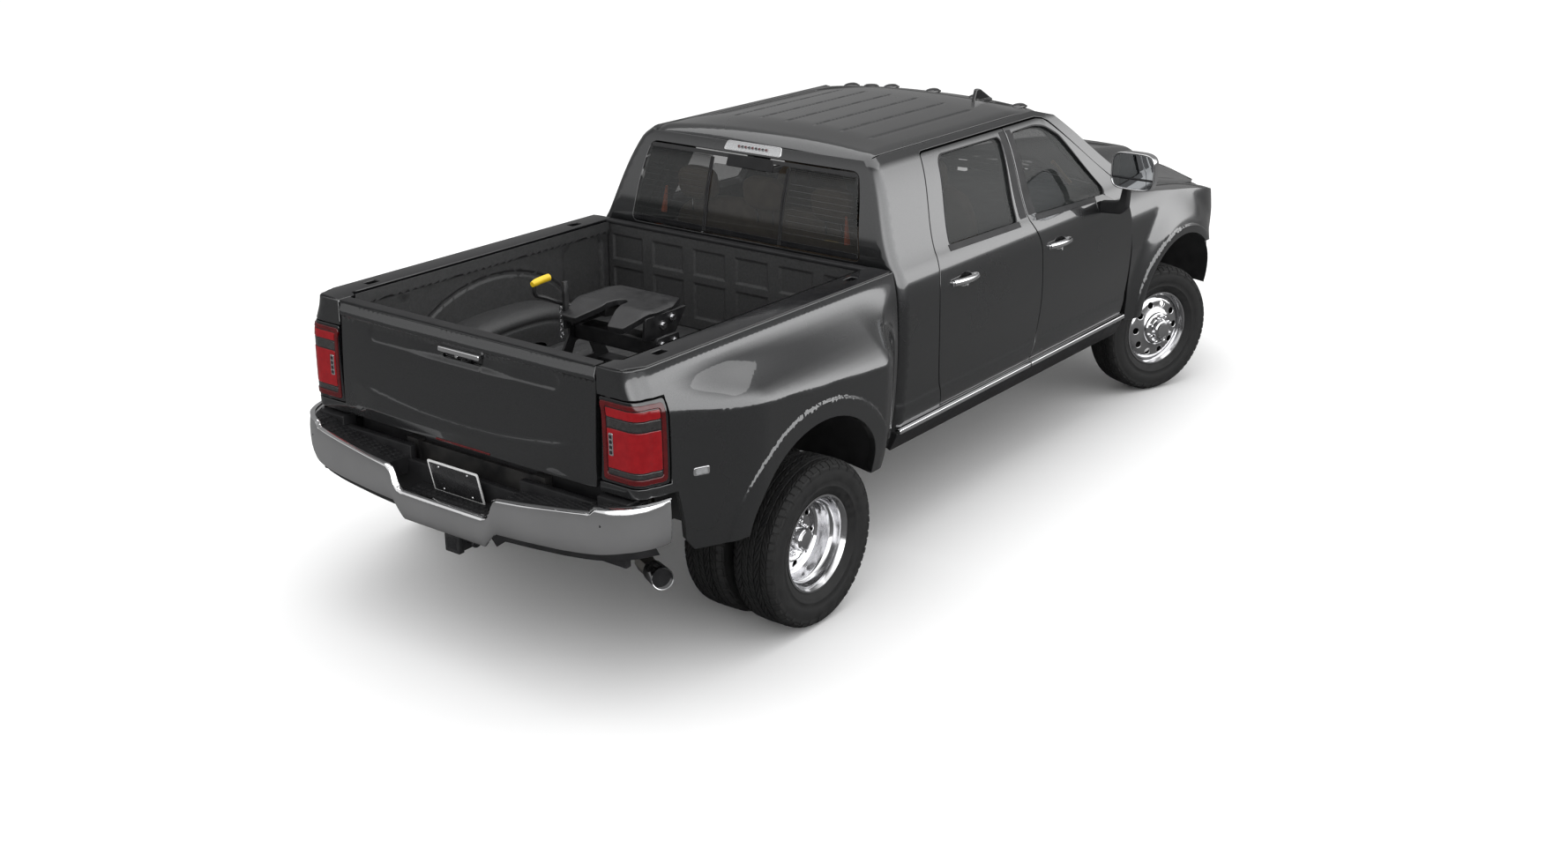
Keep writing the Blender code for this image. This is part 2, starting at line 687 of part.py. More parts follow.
def dashboard():
    outline = dash_outline()
    item = plate("dashboard", [outline], "side", -0.780, 0.780)
    console = box("console", (0.34, -0.14, FLOOR_TOP + FIT), (1.16, 0.14, 1.00))
    item = unite(item, console)
    item.name = "dashboard"
    paint(item, BLACK)


def steering_wheel():
    centre = Vector((0.965, 0.40, 1.300))
    lean = Matrix.Rotation(math.radians(-62), 4, "Y")
    ring = [(0.185 + 0.016 * math.cos(a), 0.016 * math.sin(a))
            for a in (2 * math.pi * i / 6 for i in range(6))]
    item = turned("steering_wheel", ring, 20, closed=True)
    item = unite(item, rod("boss", (0, 0, -0.03), (0, 0, 0.02), 0.055),
                 box("spoke", (-0.012, -0.18, -0.008), (0.012, 0.18, 0.008)),
                 box("spoke", (-0.18, -0.012, -0.008), (0.0, 0.012, 0.008)))
    settle(item, Matrix.Translation(centre) @ lean)
    column = rod("column", centre + Vector((0.015, 0, -0.01)), (1.150, 0.40, 1.205), 0.028, sides=12)
    item = unite(item, column)
    item = cut(item, plate("dash", [dash_outline(0.0004)], "side", -0.78, 0.78))
    item.name = "steering_wheel"
    paint(item, BLACK)


SEAT_HALF = 0.265
FRONT_SEAT = 0.840       # front edge of the cushions
REAR_SEAT = -0.070


def seat(name, front, middle, half, base):
    """A cushion, a leaning back and a headrest in one closed piece, on its base."""
    outline = [(front, base), (front + 0.02, base + 0.30), (front - 0.04, base + 0.36),
               (front - 0.46, base + 0.32), (front - 0.62, base + 0.86), (front - 0.70, base + 1.06),
               (front - 0.80, base + 1.05), (front - 0.76, base + 0.86), (front - 0.62, base + 0.25),
               (front - 0.56, base)]
    item = plate(name, [outline], "side", middle - half, middle + half)
    item = bevel(item, 0.025)
    paint(item, LEATHER)


def seats():
    for word, side in (("left", 1), ("right", -1)):
        seat("front_seat_" + word, FRONT_SEAT, side * 0.42, SEAT_HALF, SEAT_BASE)
    seat("rear_bench", REAR_SEAT, 0.0, 0.70, SEAT_BASE)


# ---------------------------------------------------------------- doors
def door(name, outline, hole, side):
    """A door as thick as the real one, thinner above its belt, with the window cut."""
    return panel(name, [outline, hole], "side", lambda x, z: side * skin(z),
                 lambda x, z: side * (skin(z) - between(DOOR_DEPTH, z)), (), SKIN_LINES)


def relieve(bm_object, outline_back):
    """Slope the rear edge face of a door so that its inner corner clears as it opens."""
    mesh = bm_object.data
    for vert in mesh.vertices:
        x, y, z = vert.co
        edge = between(sorted((zz, xx) for xx, zz in outline_back), z)
        depth = skin(z) - abs(y)
        if x < edge + 0.045 and depth > 0.010:
            vert.co.x = x + EDGE_RELIEF * min(depth / 0.045, 1.0)
    return bm_object


def front_door(word, side):
    item = door("front_door_" + word, front_door_outline(), FRONT_WINDOW_HOLE, side)
    relieve(item, shift(DOOR_SPLIT, SKIN_GAP / 2))
    paint(item, PAINT)
    on_axis(item, (FRONT_HINGE[0], side * FRONT_HINGE[1], 0))


def rear_door(word, side):
    item = door("rear_door_" + word, rear_door_outline(), REAR_WINDOW_HOLE, side)
    relieve(item, REAR_DOOR_BACK)
    paint(item, PAINT)
    on_axis(item, (REAR_HINGE[0], side * REAR_HINGE[1], 0))


def door_glass(name, hole, hinge, side):
    item = panel(name, [inset(hole, 0.003)], "side", lambda x, z: side * (skin(z) - 0.014),
                 lambda x, z: side * (skin(z) - 0.022), (), (1.47,))
    paint(item, GLASS)
    on_axis(item, (hinge[0], side * hinge[1], 0))


def door_glasses(word, side):
    door_glass("front_glass_" + word, FRONT_WINDOW_HOLE, FRONT_HINGE, side)
    door_glass("rear_glass_" + word, REAR_WINDOW_HOLE, REAR_HINGE, side)


def mirror(word, side):
    """Wide mirror head on a short arm that stands off the front door's corner."""
    low, high = sorted((side * 1.058, side * 1.330))
    head = bevel(box("mirror_" + word, (1.030, low, 1.500), (1.150, high, 1.718)), 0.03)
    low, high = sorted((side * (skin(1.33) + FIT), side * 1.150))
    arm = box("arm", (1.07, low, 1.34), (1.13, high, 1.40))
    post = box("post", (1.07, side * 1.14 - 0.02, 1.35), (1.13, side * 1.14 + 0.02, 1.52))
    item = unite(head, arm, post)
    item.name = "mirror_" + word
    paint(item, CHROME)
    on_axis(item, (FRONT_HINGE[0], side * FRONT_HINGE[1], 0))


# ---------------------------------------------------------------- nose
def hood_top(x, y):
    """Hood surface: high at the cowl, falling to the nose, with a raised middle."""
    length = [(COWL, 1.345), (1.80, 1.330), (2.30, 1.292), (2.70, 1.245), (2.95, 1.195), (3.10, 1.130)]
    dome = 0.055 * (1 - ramp(abs(y), 0.26, 0.42)) * (1 - ramp(x, 2.75, 3.04))
    crown = 0.040 * (1 - (abs(y) / HOOD_HALF) ** 2)
    return between(length, x) + dome + crown


def hood():
    half = HOOD_HALF - SKIN_GAP
    outline = [(COWL, -half), (COWL, -0.70), (1.640, -0.30), (1.655, 0.0), (1.640, 0.30), (COWL, 0.70),
               (COWL, half), (2.60, half), (2.90, half - 0.06), (3.00, 0.55), (HOOD_FRONT, 0.20),
               (HOOD_FRONT, -0.20), (3.00, -0.55), (2.90, -half + 0.06), (2.60, -half)]
    item = panel("hood", [outline], "top", hood_top, lambda x, y: hood_top(x, y) - 0.030,
                 (1.80, 2.05, 2.30, 2.50, 2.70, 2.85, 2.95),
                 (-0.6, -0.42, -0.34, -0.26, 0.0, 0.26, 0.34, 0.42, 0.6))
    paint(item, PAINT)
    on_axis(item, HOOD_AXIS)


HOOD_AXIS = (COWL, 0.0, 1.386)
BUMPER_TOP = 0.860
FENDER_NOSE = 2.690
ARCH_FRONT_HALF = TYRE_RADIUS + 0.073
ARCH_FRONT_TOP = TYRE_RADIUS + 0.608
ARCH_REAR_X = REAR_AXLE - 0.010
ARCH_REAR_HALF = TYRE_RADIUS + 0.060
ARCH_REAR_TOP = TYRE_RADIUS + 0.613


def front_skin(x, height):
    """Fender surface: the cab's width, a lip at the arch and a tuck at the nose."""
    reach = math.hypot((x - FRONT_AXLE) / (ARCH_FRONT_HALF + 0.09), (height - 0.45) / 0.66)
    lip = 0.048 * (1 - ramp(reach, 0.90, 1.25))
    nose = 0.130 * ramp(x, 2.45, 2.98) ** 1.5
    top = [(1.05, 0.0), (1.20, 0.014), (1.30, 0.045), (1.36, 0.090), (1.40, 0.130)]
    return skin(min(height, 1.25)) + lip - nose - between(top, height)


def fender_inner(x, height):
    low = front_skin(x, height) - FENDER_THICK
    return low + (HOOD_HALF - low) * min(max((height - 1.05) / 0.07, 0.0), 1.0)


def fender(word, side):
    arch = round_arch(FRONT_AXLE, ARCH_FRONT_HALF, 0.585, ARCH_FRONT_TOP)
    arch = [(x, max(z, 0.585)) for x, z in arch if x < FRONT_AXLE or z > BUMPER_TOP + 0.012]
    top = [(FENDER_NOSE, 1.180), (2.45, 1.235), (2.10, 1.285), (1.80, 1.325), (COWL - 0.012, 1.365)]
    outline = [(FENDER_BACK, 0.585)] + arch[::-1] + [(FENDER_NOSE, BUMPER_TOP + 0.012)]
    outline += top
    item = panel("fender_" + word, [outline], "side", lambda x, z: side * front_skin(x, z),
                 lambda x, z: side * fender_inner(x, z),
                 (1.7, 1.9, 2.1, 2.3, 2.5, 2.6), (0.80, 1.05, 1.12, 1.20, 1.25, 1.30))
    paint(item, PAINT)


def engine_bay():
    """Inner walls beside the engine, with the radiator and its support in front."""
    walls = []
    outline = [(1.4703, 0.665), (1.4703, 1.15), (2.78, 1.10), (2.84, 1.10), (2.84, 0.665)]
    for side in (1, -1):
        low, high = sorted((side * 0.495, side * 0.520))
        walls.append(plate("apron", [outline], "side", low, high))
        low, high = sorted((side * 0.500, side * 0.785))
        walls.append(box("shelf", (1.4703, low, 1.075), (2.62, high, 1.095)))
    walls.append(box("radiator", (2.74, -0.51, 0.665), (2.82, 0.51, 1.09)))
    item = unite(walls[0], *walls[1:])
    item.name = "engine_bay"
    paint(item, BLACK)


NOSE = LENGTH / 2


def nose_x(y):
    """Front face against half width."""
    table = [(0.0, 0.0), (0.30, 0.012), (0.55, 0.060), (0.75, 0.170), (0.88, 0.310), (0.95, 0.480),
             (0.965, 0.550)]
    return NOSE - between(table, abs(y))


def grille():
    outline = [(-0.545, 0.875), (0.545, 0.875), (0.575, 1.09), (0.50, 1.138), (0.0, 1.154),
               (-0.50, 1.138), (-0.575, 1.09)]
    item = panel("grille", [outline], "end", lambda y, z: nose_x(y) - 0.045 - (z - 0.875) * 0.12,
                 lambda y, z: nose_x(y) - 0.105 - (z - 0.875) * 0.12, (-0.3, 0.0, 0.3), ())
    paint(item, CHROME)


def headlamp(word, side):
    outline = [(0.590, 0.905), (0.855, 0.930), (0.862, 1.125), (0.620, 1.105)]
    outline = [(side * y, z) for y, z in outline]
    item = panel("headlamp_" + word, [outline], "end", lambda y, z: nose_x(y) - 0.050 - (z - 0.9) * 0.10,
                 lambda y, z: nose_x(y) - 0.110 - (z - 0.9) * 0.10, [side * 0.75], ())
    paint(item, LAMP_CLEAR)


def front_bumper():
    half = 0.965
    outline = [(-half, 0.600), (-0.80, 0.540), (-0.45, 0.520), (0.45, 0.520), (0.80, 0.540), (half, 0.600),
               (half, BUMPER_TOP), (-half, BUMPER_TOP)]
    lines = [0.3, 0.55, 0.75, 0.88, 0.95]
    lines = [-y for y in lines] + [0.0] + lines
    item = panel("front_bumper", [outline], "end", lambda y, z: nose_x(y),
                 lambda y, z: nose_x(y) - 0.060, lines, ())
    bracket = [box("bracket", (FRAME_NOSE + FIT, side * FRAME_HALF - 0.03, 0.55),
                   (NOSE - 0.045, side * FRAME_HALF + 0.03, 0.64)) for side in (1, -1)]
    item = unite(item, *bracket)
    item.name = "front_bumper"
    paint(item, CHROME)


# ---------------------------------------------------------------- bed
def bed_skin(x, height):
    """Bed side: the cab's width, swelling over the twin wheels."""
    along = 1 - ramp(x, BED_FRONT - 0.38, BED_FRONT)
    behind = ramp(x, BED_BACK + 0.02, BED_BACK + 0.62)
    ridge = 1.07 + 0.18 * min(max((BED_FRONT - x) / 1.75, 0.0), 1.0)
    down = 1 - ramp(height, ridge, 1.425)
    tuck = 0.10 * (1 - ramp(height, 0.55, 0.85))
    swell = BED_FLARE * along * (0.32 + 0.68 * behind) * down * (1 - tuck)
    base = between([(0.55, 0.965), (0.80, 0.998), (1.05, 1.008), (1.30, 1.002), (1.46, 0.975)], height)
    corner = 0.05 * (1 - ramp(x, BED_BACK, BED_BACK + 0.10))
    return base + swell - corner


LAMP_LOW = 0.955
LAMP_HIGH = 1.330
LAMP_FRONT = -2.835


def bed_inner(x):
    return BED_HALF if x > -2.874 else GATE_HALF + SKIN_GAP + 0.002


def bed_side(word, side):
    arch = round_arch(ARCH_REAR_X, ARCH_REAR_HALF, 0.60, ARCH_REAR_TOP)
    arch = [(x, max(z, 0.595)) for x, z in arch]
    outline = [(BED_FRONT, 0.595), (BED_FRONT, BED_RAIL), (BED_BACK, BED_RAIL), (BED_BACK, LAMP_HIGH + FIT),
               (LAMP_FRONT + FIT, LAMP_HIGH + FIT), (LAMP_FRONT + FIT, LAMP_LOW - FIT),
               (BED_BACK, LAMP_LOW - FIT), (BED_BACK, 0.905), (-2.80, 0.900), (-2.77, 0.640), (-2.50, 0.595)]
    outline += arch[::-1]
    lines = [-2.876, -2.870, -2.75, -2.6, -2.2, -1.75, -1.48, -1.35, -1.2]
    item = panel("bed_side_" + word, [outline], "side", lambda x, z: side * bed_skin(x, z),
                 lambda x, z: side * bed_inner(x), lines, (0.80, 1.05, 1.15, 1.22, 1.29, 1.35, 1.42))
    paint(item, PAINT)


def tail_lamp(word, side):
    outline = [(BED_BACK - 0.004, LAMP_LOW), (LAMP_FRONT, LAMP_LOW), (LAMP_FRONT, LAMP_HIGH),
               (BED_BACK - 0.004, LAMP_HIGH)]
    item = panel("tail_lamp_" + word, [outline], "side", lambda x, z: side * (bed_skin(x, z) + 0.004),
                 lambda x, z: side * (GATE_HALF + SKIN_GAP + 0.008), (-2.93, -2.885), (1.05, 1.15, 1.25))
    paint(item, LAMP_RED)


def bed_box():
    """Load floor, front panel, wheelhouses and cross sills in one welded tub."""
    half = BED_HALF - FIT
    front, back = ARCH_REAR_X + ARCH_REAR_HALF + 0.013, ARCH_REAR_X - ARCH_REAR_HALF - 0.013
    gate_room = math.hypot(GATE_INNER - GATE_AXIS_X, GATE_AXIS_Z - 0.915) + SKIN_GAP
    end = GATE_AXIS_X + gate_room
    notch = HUMP_HALF + 0.012
    right = [(end, GATE_HALF), (-2.866, GATE_HALF), (-2.866, half), (back, half), (back, notch),
             (front, notch),
             (front, half), (BED_FRONT, half)]
    outline = [(x, -y) for x, y in right] + right[::-1]
    item = plate("bed_box", [outline], "top", 0.905, BED_FLOOR)
    extra = [box("bulkhead", (BED_FRONT - 0.045, -half, 0.93), (BED_FRONT, half, 1.415))]
    for side in (1, -1):
        crown = [(front + 0.02, 0.905), (front + 0.02, 1.02), (front - 0.13, HUMP_TOP),
                 (back + 0.13, HUMP_TOP),
                 (back - 0.02, 1.02), (back - 0.02, 0.905)]
        low, high = sorted((side * HUMP_HALF, side * half))
        hump = plate("hump", [crown], "side", low, high)
        hollow = [(front - 0.005, 0.80), (front - 0.005, 1.010), (front - 0.140, HUMP_TOP - 0.024),
                  (back + 0.140, HUMP_TOP - 0.024), (back + 0.005, 1.010), (back + 0.005, 0.80)]
        low, high = sorted((side * (HUMP_HALF + 0.024), side * (half + 0.10)))
        extra.append(cut(hump, plate("hollow", [hollow], "side", low, high)))
    for x in (-1.16, -1.42, -2.52, -2.84):
        extra.append(box("sill", (x - 0.05, -0.62, RAIL_TOP_BED + FIT), (x + 0.05, 0.62, 0.92)))
    item = unite(item, *extra)
    item.name = "bed_box"
    paint(item, LINER)


def gate_x(y, height):
    """Outer face of the tailgate: proud at its lower half, with a lip along the top."""
    table = [(0.90, -3.010), (0.98, -3.014), (1.20, -3.004), (1.36, -2.992), (1.42, -2.992), (1.46, -2.984)]
    return between(table, height) + 0.010 * (abs(y) / GATE_HALF) ** 4


def tailgate():
    half = GATE_HALF
    outline = [(-half, 0.915), (half, 0.915), (half, BED_RAIL - 0.004), (-half, BED_RAIL - 0.004)]
    item = panel("tailgate", [outline], "end", gate_x, lambda y, z: GATE_INNER,
                 (-0.6, -0.3, 0.0, 0.3, 0.6), (0.98, 1.20, 1.36, 1.42))
    paint(item, PAINT)
    on_axis(item, (GATE_AXIS_X, 0, GATE_AXIS_Z))


TAIL = -LENGTH / 2


def bumper_x(y):
    """Rear face of the rear bumper against half width."""
    table = [(0.0, 0.0), (0.35, 0.006), (0.85, 0.050), (0.98, 0.115), (1.05, 0.205), (1.08, 0.300)]
    return TAIL + between(table, abs(y))


def rear_bumper():
    half = 1.080
    right = [(0.270, 0.555), (0.330, 0.640), (0.70, 0.660), (half, 0.685), (half, 0.895), (0.85, 0.872),
             (0.340, 0.812), (0.290, 0.705)]
    outline = right + [(-y, z) for y, z in reversed(right)]
    lines = [0.35, 0.85, 0.98, 1.05]
    lines = [-y for y in lines] + [0.0] + lines
    item = panel("rear_bumper", [outline], "end", lambda y, z: bumper_x(y),
                 lambda y, z: bumper_x(y) + 0.060, lines, ())
    extra = [box("step", (TAIL + 0.035, -0.275, 0.655), (TAIL + 0.185, 0.275, 0.690)),
             box("back", (TAIL + 0.155, -0.93, 0.600), (TAIL + 0.185, 0.93, 0.780))]
    for side in (1, -1):
        low, high = sorted((side * 0.34, side * 0.95))
        extra.append(box("pad", (TAIL + 0.075, low, 0.745), (TAIL + 0.175, high, 0.785)))
        extra.append(box("pad", (TAIL + 0.090, low, 0.78), (TAIL + 0.135, high, 0.82)))
        low, high = sorted((side * FRAME_HALF - 0.03, side * FRAME_HALF + 0.03))
        extra.append(box("arm", (TAIL + 0.165, low, 0.72), (FRAME_BACK - FIT, high, 0.78)))
    item = unite(item, *extra)
    item.name = "rear_bumper"
    paint(item, CHROME)


def hitch_receiver():
    under = RAIL_TOP_BED - RAIL_TALL - FIT
    tube = box("hitch_receiver", (-3.110, -0.040, 0.455), (-2.925, 0.040, 0.535))
    bore = box("bore", (-3.20, -0.026, 0.469), (-2.97, 0.026, 0.521))
    cross = box("cross", (-2.985, -0.44, 0.545 - 0.02), (-2.925, 0.44, 0.60))
    hang = [box("hang", (-2.98, side * FRAME_HALF - 0.03, 0.58), (-2.93, side * FRAME_HALF + 0.03, under))
            for side in (1, -1)]
    item = cut(unite(tube, cross, *hang), bore)
    item.name = "hitch_receiver"
    paint(item, BLACK)


HITCH_X = -1.93


def fifth_wheel_base():
    """Legs and cross tube of the trailer hitch that stands on the load floor."""
    floor = BED_FLOOR + FIT
    pieces = []
    for side in (1, -1):
        low, high = sorted((side * 0.25, side * 0.285))
        outline = [(HITCH_X - 0.20, floor), (HITCH_X + 0.20, floor), (HITCH_X + 0.17, floor + 0.05),
                   (HITCH_X + 0.07, 1.225), (HITCH_X - 0.07, 1.225), (HITCH_X - 0.17, floor + 0.05)]
        pieces.append(plate("leg", [outline], "side", low, high))
    pieces.append(box("tube", (HITCH_X - 0.05, -0.27, 1.12), (HITCH_X + 0.05, 0.27, 1.20)))
    pieces.append(box("rail", (HITCH_X - 0.19, -0.27, floor), (HITCH_X - 0.11, 0.27, floor + 0.03)))
    pieces.append(box("rail", (HITCH_X + 0.11, -0.27, floor), (HITCH_X + 0.19, 0.27, floor + 0.03)))
    item = unite(pieces[0], *pieces[1:])
    item.name = "fifth_wheel_base"
    paint(item, BLACK)


def fifth_wheel_head():
    """Head plate with its open throat, and the pull bar at its left."""
    top = 1.345
    outline = [(HITCH_X + 0.24, -0.23), (HITCH_X + 0.24, 0.23), (HITCH_X - 0.02, 0.25),
               (HITCH_X - 0.24, 0.20), (HITCH_X - 0.24, 0.15), (HITCH_X - 0.02, 0.04), (HITCH_X + 0.03, 0.0),
               (HITCH_X - 0.02, -0.04), (HITCH_X - 0.24, -0.15), (HITCH_X - 0.24, -0.20),
               (HITCH_X - 0.02, -0.25)]
    slope = [(HITCH_X - 0.24, 0.055), (HITCH_X - 0.06, 0.0), (HITCH_X + 0.24, 0.0)]
    item = panel("fifth_wheel_head", [outline], "top", lambda x, y: top - between(slope, x),
                 lambda x, y: top - 0.03 - between(slope, x), (HITCH_X - 0.06,), ())
    extra = []
    for side in (1, -1):
        low, high = sorted((side * 0.175, side * 0.235))
        extra.append(box("ear", (HITCH_X - 0.06, low, 1.2003), (HITCH_X + 0.06, high, top - 0.01)))
    route = [(-0.07, 0.20), (-0.16, 0.220), (-0.255, 0.248), (-0.318, 0.255)]
    heights = [1.290, 1.325, 1.372, 1.440]
    for (ax, ay), (bx, by), az, bz in zip(route, route[1:], heights, heights[1:]):
        extra.append(rod("bar", (HITCH_X + ax, ay, az), (HITCH_X + bx, by, bz + 0.004), 0.012, sides=10))
    extra.append(rod("grip", (HITCH_X - 0.345, 0.250, 1.462), (HITCH_X - 0.235, 0.250, 1.470), 0.018,
                     sides=12))
    extra.append(rod("riser", (HITCH_X - 0.318, 0.255, 1.425), (HITCH_X - 0.318, 0.252, 1.464), 0.012,
                     sides=10))
    item = unite(item, *extra)
    item.name = "fifth_wheel_head"
    paint(item, BLACK)


# ---------------------------------------------------------------- wheels
OUT = {1: Matrix.Rotation(math.radians(-90), 4, "X"), -1: Matrix.Rotation(math.radians(90), 4, "X")}


def rim_profile(face, hub):
    """Closed section of a rim: barrel, lip and disc; face is the disc's place along the axis."""
    lip = RIM_WIDTH / 2
    wall = 0.012
    radius = RIM_RADIUS
    inside = radius - wall
    return [(0.0, face + 0.018), (hub, face + 0.018), (inside - 0.020, face), (inside - 0.012, lip),
            (radius, lip), (radius - 0.010, lip - 0.012), (radius - 0.010, -lip + 0.012), (radius, -lip),
            (inside - 0.012, -lip), (inside - 0.022, face - 0.030), (hub, face - 0.018), (0.0, face - 0.018)]


def front_wheel(word, side):
    turn = Matrix.Rotation(math.radians(STEER_REST), 4, "Z")
    pivot = Vector((FRONT_AXLE, side * KINGPIN, TYRE_RADIUS))
    reach = FRONT_LIP - RIM_WIDTH / 2
    centre = pivot + turn @ Vector((0, side * reach, 0))
    place = Matrix.Translation(centre) @ turn @ OUT[side]
    rim = turned("rim", rim_profile(0.050, 0.085), ROUND_STEPS, closed=False)
    hub = rod("hub", (0, 0, 0.05), (0, 0, 0.130), 0.075, 0.060, sides=24)
    rim = unite(rim, hub)
    rim.name = "front_rim_" + word
    settle(rim, place)
    paint(rim, CHROME)
    on_axis(rim, centre)
    tyre_item = turned("front_tyre_" + word, tyre_profile(TYRE_RADIUS, TYRE_WIDTH), ROUND_STEPS, closed=True)
    settle(tyre_item, place)
    paint(tyre_item, RUBBER)
    on_axis(tyre_item, centre)


def knuckle(word, side):
    """Upright that turns on the pivot, with the brake disc and spindle."""
    turn = Matrix.Rotation(math.radians(STEER_REST), 4, "Z")
    pivot = Vector((FRONT_AXLE, side * KINGPIN, TYRE_RADIUS))
    post = rod("post", (0, 0, -0.13), (0, 0, 0.13), 0.035, sides=16)
    low, high = sorted((0, side * 0.075))
    upright = box("upright", (-0.05, low, -0.11), (0.05, high, 0.11))
    spindle = rod("spindle", (0, side * 0.03, 0), (0, side * 0.160, 0), 0.045, sides=16)
    disc = rod("disc", (0, side * 0.085, 0), (0, side * 0.110, 0), 0.170, sides=32)
    item = unite(post, upright, spindle, disc)
    item.name = "knuckle_" + word
    settle(item, Matrix.Translation(pivot) @ turn)
    paint(item, STEEL)
    on_axis(item, pivot)


def rear_wheels(word, side):
    centre = Vector((REAR_AXLE, side * (REAR_LIP - RIM_WIDTH / 2), TYRE_RADIUS))
    inner = centre - Vector((0, side * DUAL_SPACING, 0))
    half = DUAL_SPACING / 2
    lip = RIM_WIDTH / 2
    radius = RIM_RADIUS
    bore = radius - 0.030
    # both rims share the mounting plane midway between the tyres
    section = [(0.0, 0.030), (0.140, 0.030), (bore - 0.010, half), (bore, half + lip),
               (radius, half + lip), (radius - 0.010, half + lip - 0.012),
               (radius - 0.010, half - lip + 0.012),
               (radius, half - lip), (bore + 0.012, half - lip - 0.004), (0.150, 0.014), (0.150, -0.014),
               (bore + 0.012, -half + lip + 0.004), (radius, -half + lip),
               (radius - 0.010, -half + lip - 0.012),
               (radius - 0.010, -half - lip + 0.012), (radius, -half - lip), (bore, -half - lip),
               (bore - 0.010, -half), (0.140, -0.030), (0.0, -0.030)]
    rims = turned("rims", section, ROUND_STEPS, closed=False)
    hub = rod("hub", (0, 0, -(centre.y * side - half - REAR_HUB_INNER) + 0.006), (0, 0, 0.135), 0.085, 0.070,
              sides=24)
    rims = unite(rims, hub)
    rims.name = "rear_rims_" + word
    middle = (centre + inner) / 2
    settle(rims, Matrix.Translation(middle) @ OUT[side])
    paint(rims, CHROME)
    on_axis(rims, middle)
    for place, name in ((centre, "outer"), (inner, "inner")):
        tyre("rear_tyre_%s_%s" % (name, word), place, OUT[side])


# ---------------------------------------------------------------- build
clear_scene()
TRUCK = make_collection("pickup_truck")
frame()
front_axle()
rear_axle()
engine()
driveline()
exhaust()
fuel_tank()
spare_wheel()
cab_floor()
cab_shell()
roof()
windshield()
rear_window()
dashboard()
steering_wheel()
seats()
both_sides(front_door)
both_sides(rear_door)
both_sides(door_glasses)
both_sides(mirror)
hood()
both_sides(fender)
engine_bay()
grille()
both_sides(headlamp)
front_bumper()
bed_box()
both_sides(bed_side)
both_sides(tail_lamp)
tailgate()
rear_bumper()
hitch_receiver()
fifth_wheel_base()
fifth_wheel_head()
both_sides(front_wheel)
both_sides(knuckle)
both_sides(rear_wheels)
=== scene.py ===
import json
import math

import bmesh
import bpy
import numpy as np
from mathutils import Matrix, Vector
from mathutils.geometry import delaunay_2d_cdt

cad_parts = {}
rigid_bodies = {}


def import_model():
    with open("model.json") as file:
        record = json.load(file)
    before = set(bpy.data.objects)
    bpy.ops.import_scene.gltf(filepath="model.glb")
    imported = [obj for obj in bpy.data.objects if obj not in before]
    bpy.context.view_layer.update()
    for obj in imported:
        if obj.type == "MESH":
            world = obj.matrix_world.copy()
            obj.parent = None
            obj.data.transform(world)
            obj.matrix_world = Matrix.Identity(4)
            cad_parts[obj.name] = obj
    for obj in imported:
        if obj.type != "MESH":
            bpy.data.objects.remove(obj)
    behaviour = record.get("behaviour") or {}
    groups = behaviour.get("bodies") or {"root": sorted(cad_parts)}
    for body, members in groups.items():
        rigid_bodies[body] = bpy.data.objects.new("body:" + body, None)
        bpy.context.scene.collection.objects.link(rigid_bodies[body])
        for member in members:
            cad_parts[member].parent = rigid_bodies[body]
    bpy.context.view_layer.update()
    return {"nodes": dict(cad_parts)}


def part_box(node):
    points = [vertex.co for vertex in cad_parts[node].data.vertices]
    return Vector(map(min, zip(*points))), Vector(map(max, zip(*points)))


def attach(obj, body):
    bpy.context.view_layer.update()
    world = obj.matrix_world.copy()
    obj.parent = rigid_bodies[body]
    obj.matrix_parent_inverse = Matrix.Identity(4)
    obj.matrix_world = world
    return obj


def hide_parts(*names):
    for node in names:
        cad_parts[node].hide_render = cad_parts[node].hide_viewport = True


for thing in list(bpy.data.objects):
    bpy.data.objects.remove(thing, do_unlink=True)
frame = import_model()
print("frame loaded:", len(frame["nodes"]), "nodes")

# the body's main lines, metres: +X forward, +Y left, Z up
truck = {
    "frontAxle": 2.110,
    "rearAxle": -1.967,
    "wheelHeight": 0.402,
    "steerRest": math.radians(-21.6),  # front wheels turned right
    "bedFront": -1.058,
    "bedBack": -2.985,
    "bedFloor": 0.950,
    "bedRail": 1.457,
    "hoodHalf": 0.800,
}
sides = (("left", 1), ("right", -1))


# reading curves

def readCurve(table, value):
    # smooth reading of (place, size) pairs that never overshoots
    if value <= table[0][0]:
        return table[0][1]
    if value >= table[-1][0]:
        return table[-1][1]
    slopes = [(b[1] - a[1]) / (b[0] - a[0]) for a, b in zip(table, table[1:])]
    for i, (a, b) in enumerate(zip(table, table[1:])):
        if value <= b[0]:
            break
    width = b[0] - a[0]

    def tangent(k):
        if k == 0:
            return slopes[0]
        if k == len(slopes):
            return slopes[-1]
        before, after = slopes[k - 1], slopes[k]
        if before * after <= 0:
            return 0.0
        return 2 * before * after / (before + after)

    t = (value - a[0]) / width
    h1 = 2 * t ** 3 - 3 * t ** 2 + 1
    h2 = t ** 3 - 2 * t ** 2 + t
    h3 = -2 * t ** 3 + 3 * t ** 2
    h4 = t ** 3 - t ** 2
    return h1 * a[1] + h2 * width * tangent(i) + h3 * b[1] + h4 * width * tangent(i + 1)


def straight(table, value):
    # straight-line reading of (place, size) pairs
    places, sizes = zip(*table)
    return float(np.interp(value, places, sizes))


def ease(value, low, high):
    t = min(max((value - low) / (high - low), 0.0), 1.0)
    return t * t * (3 - 2 * t)


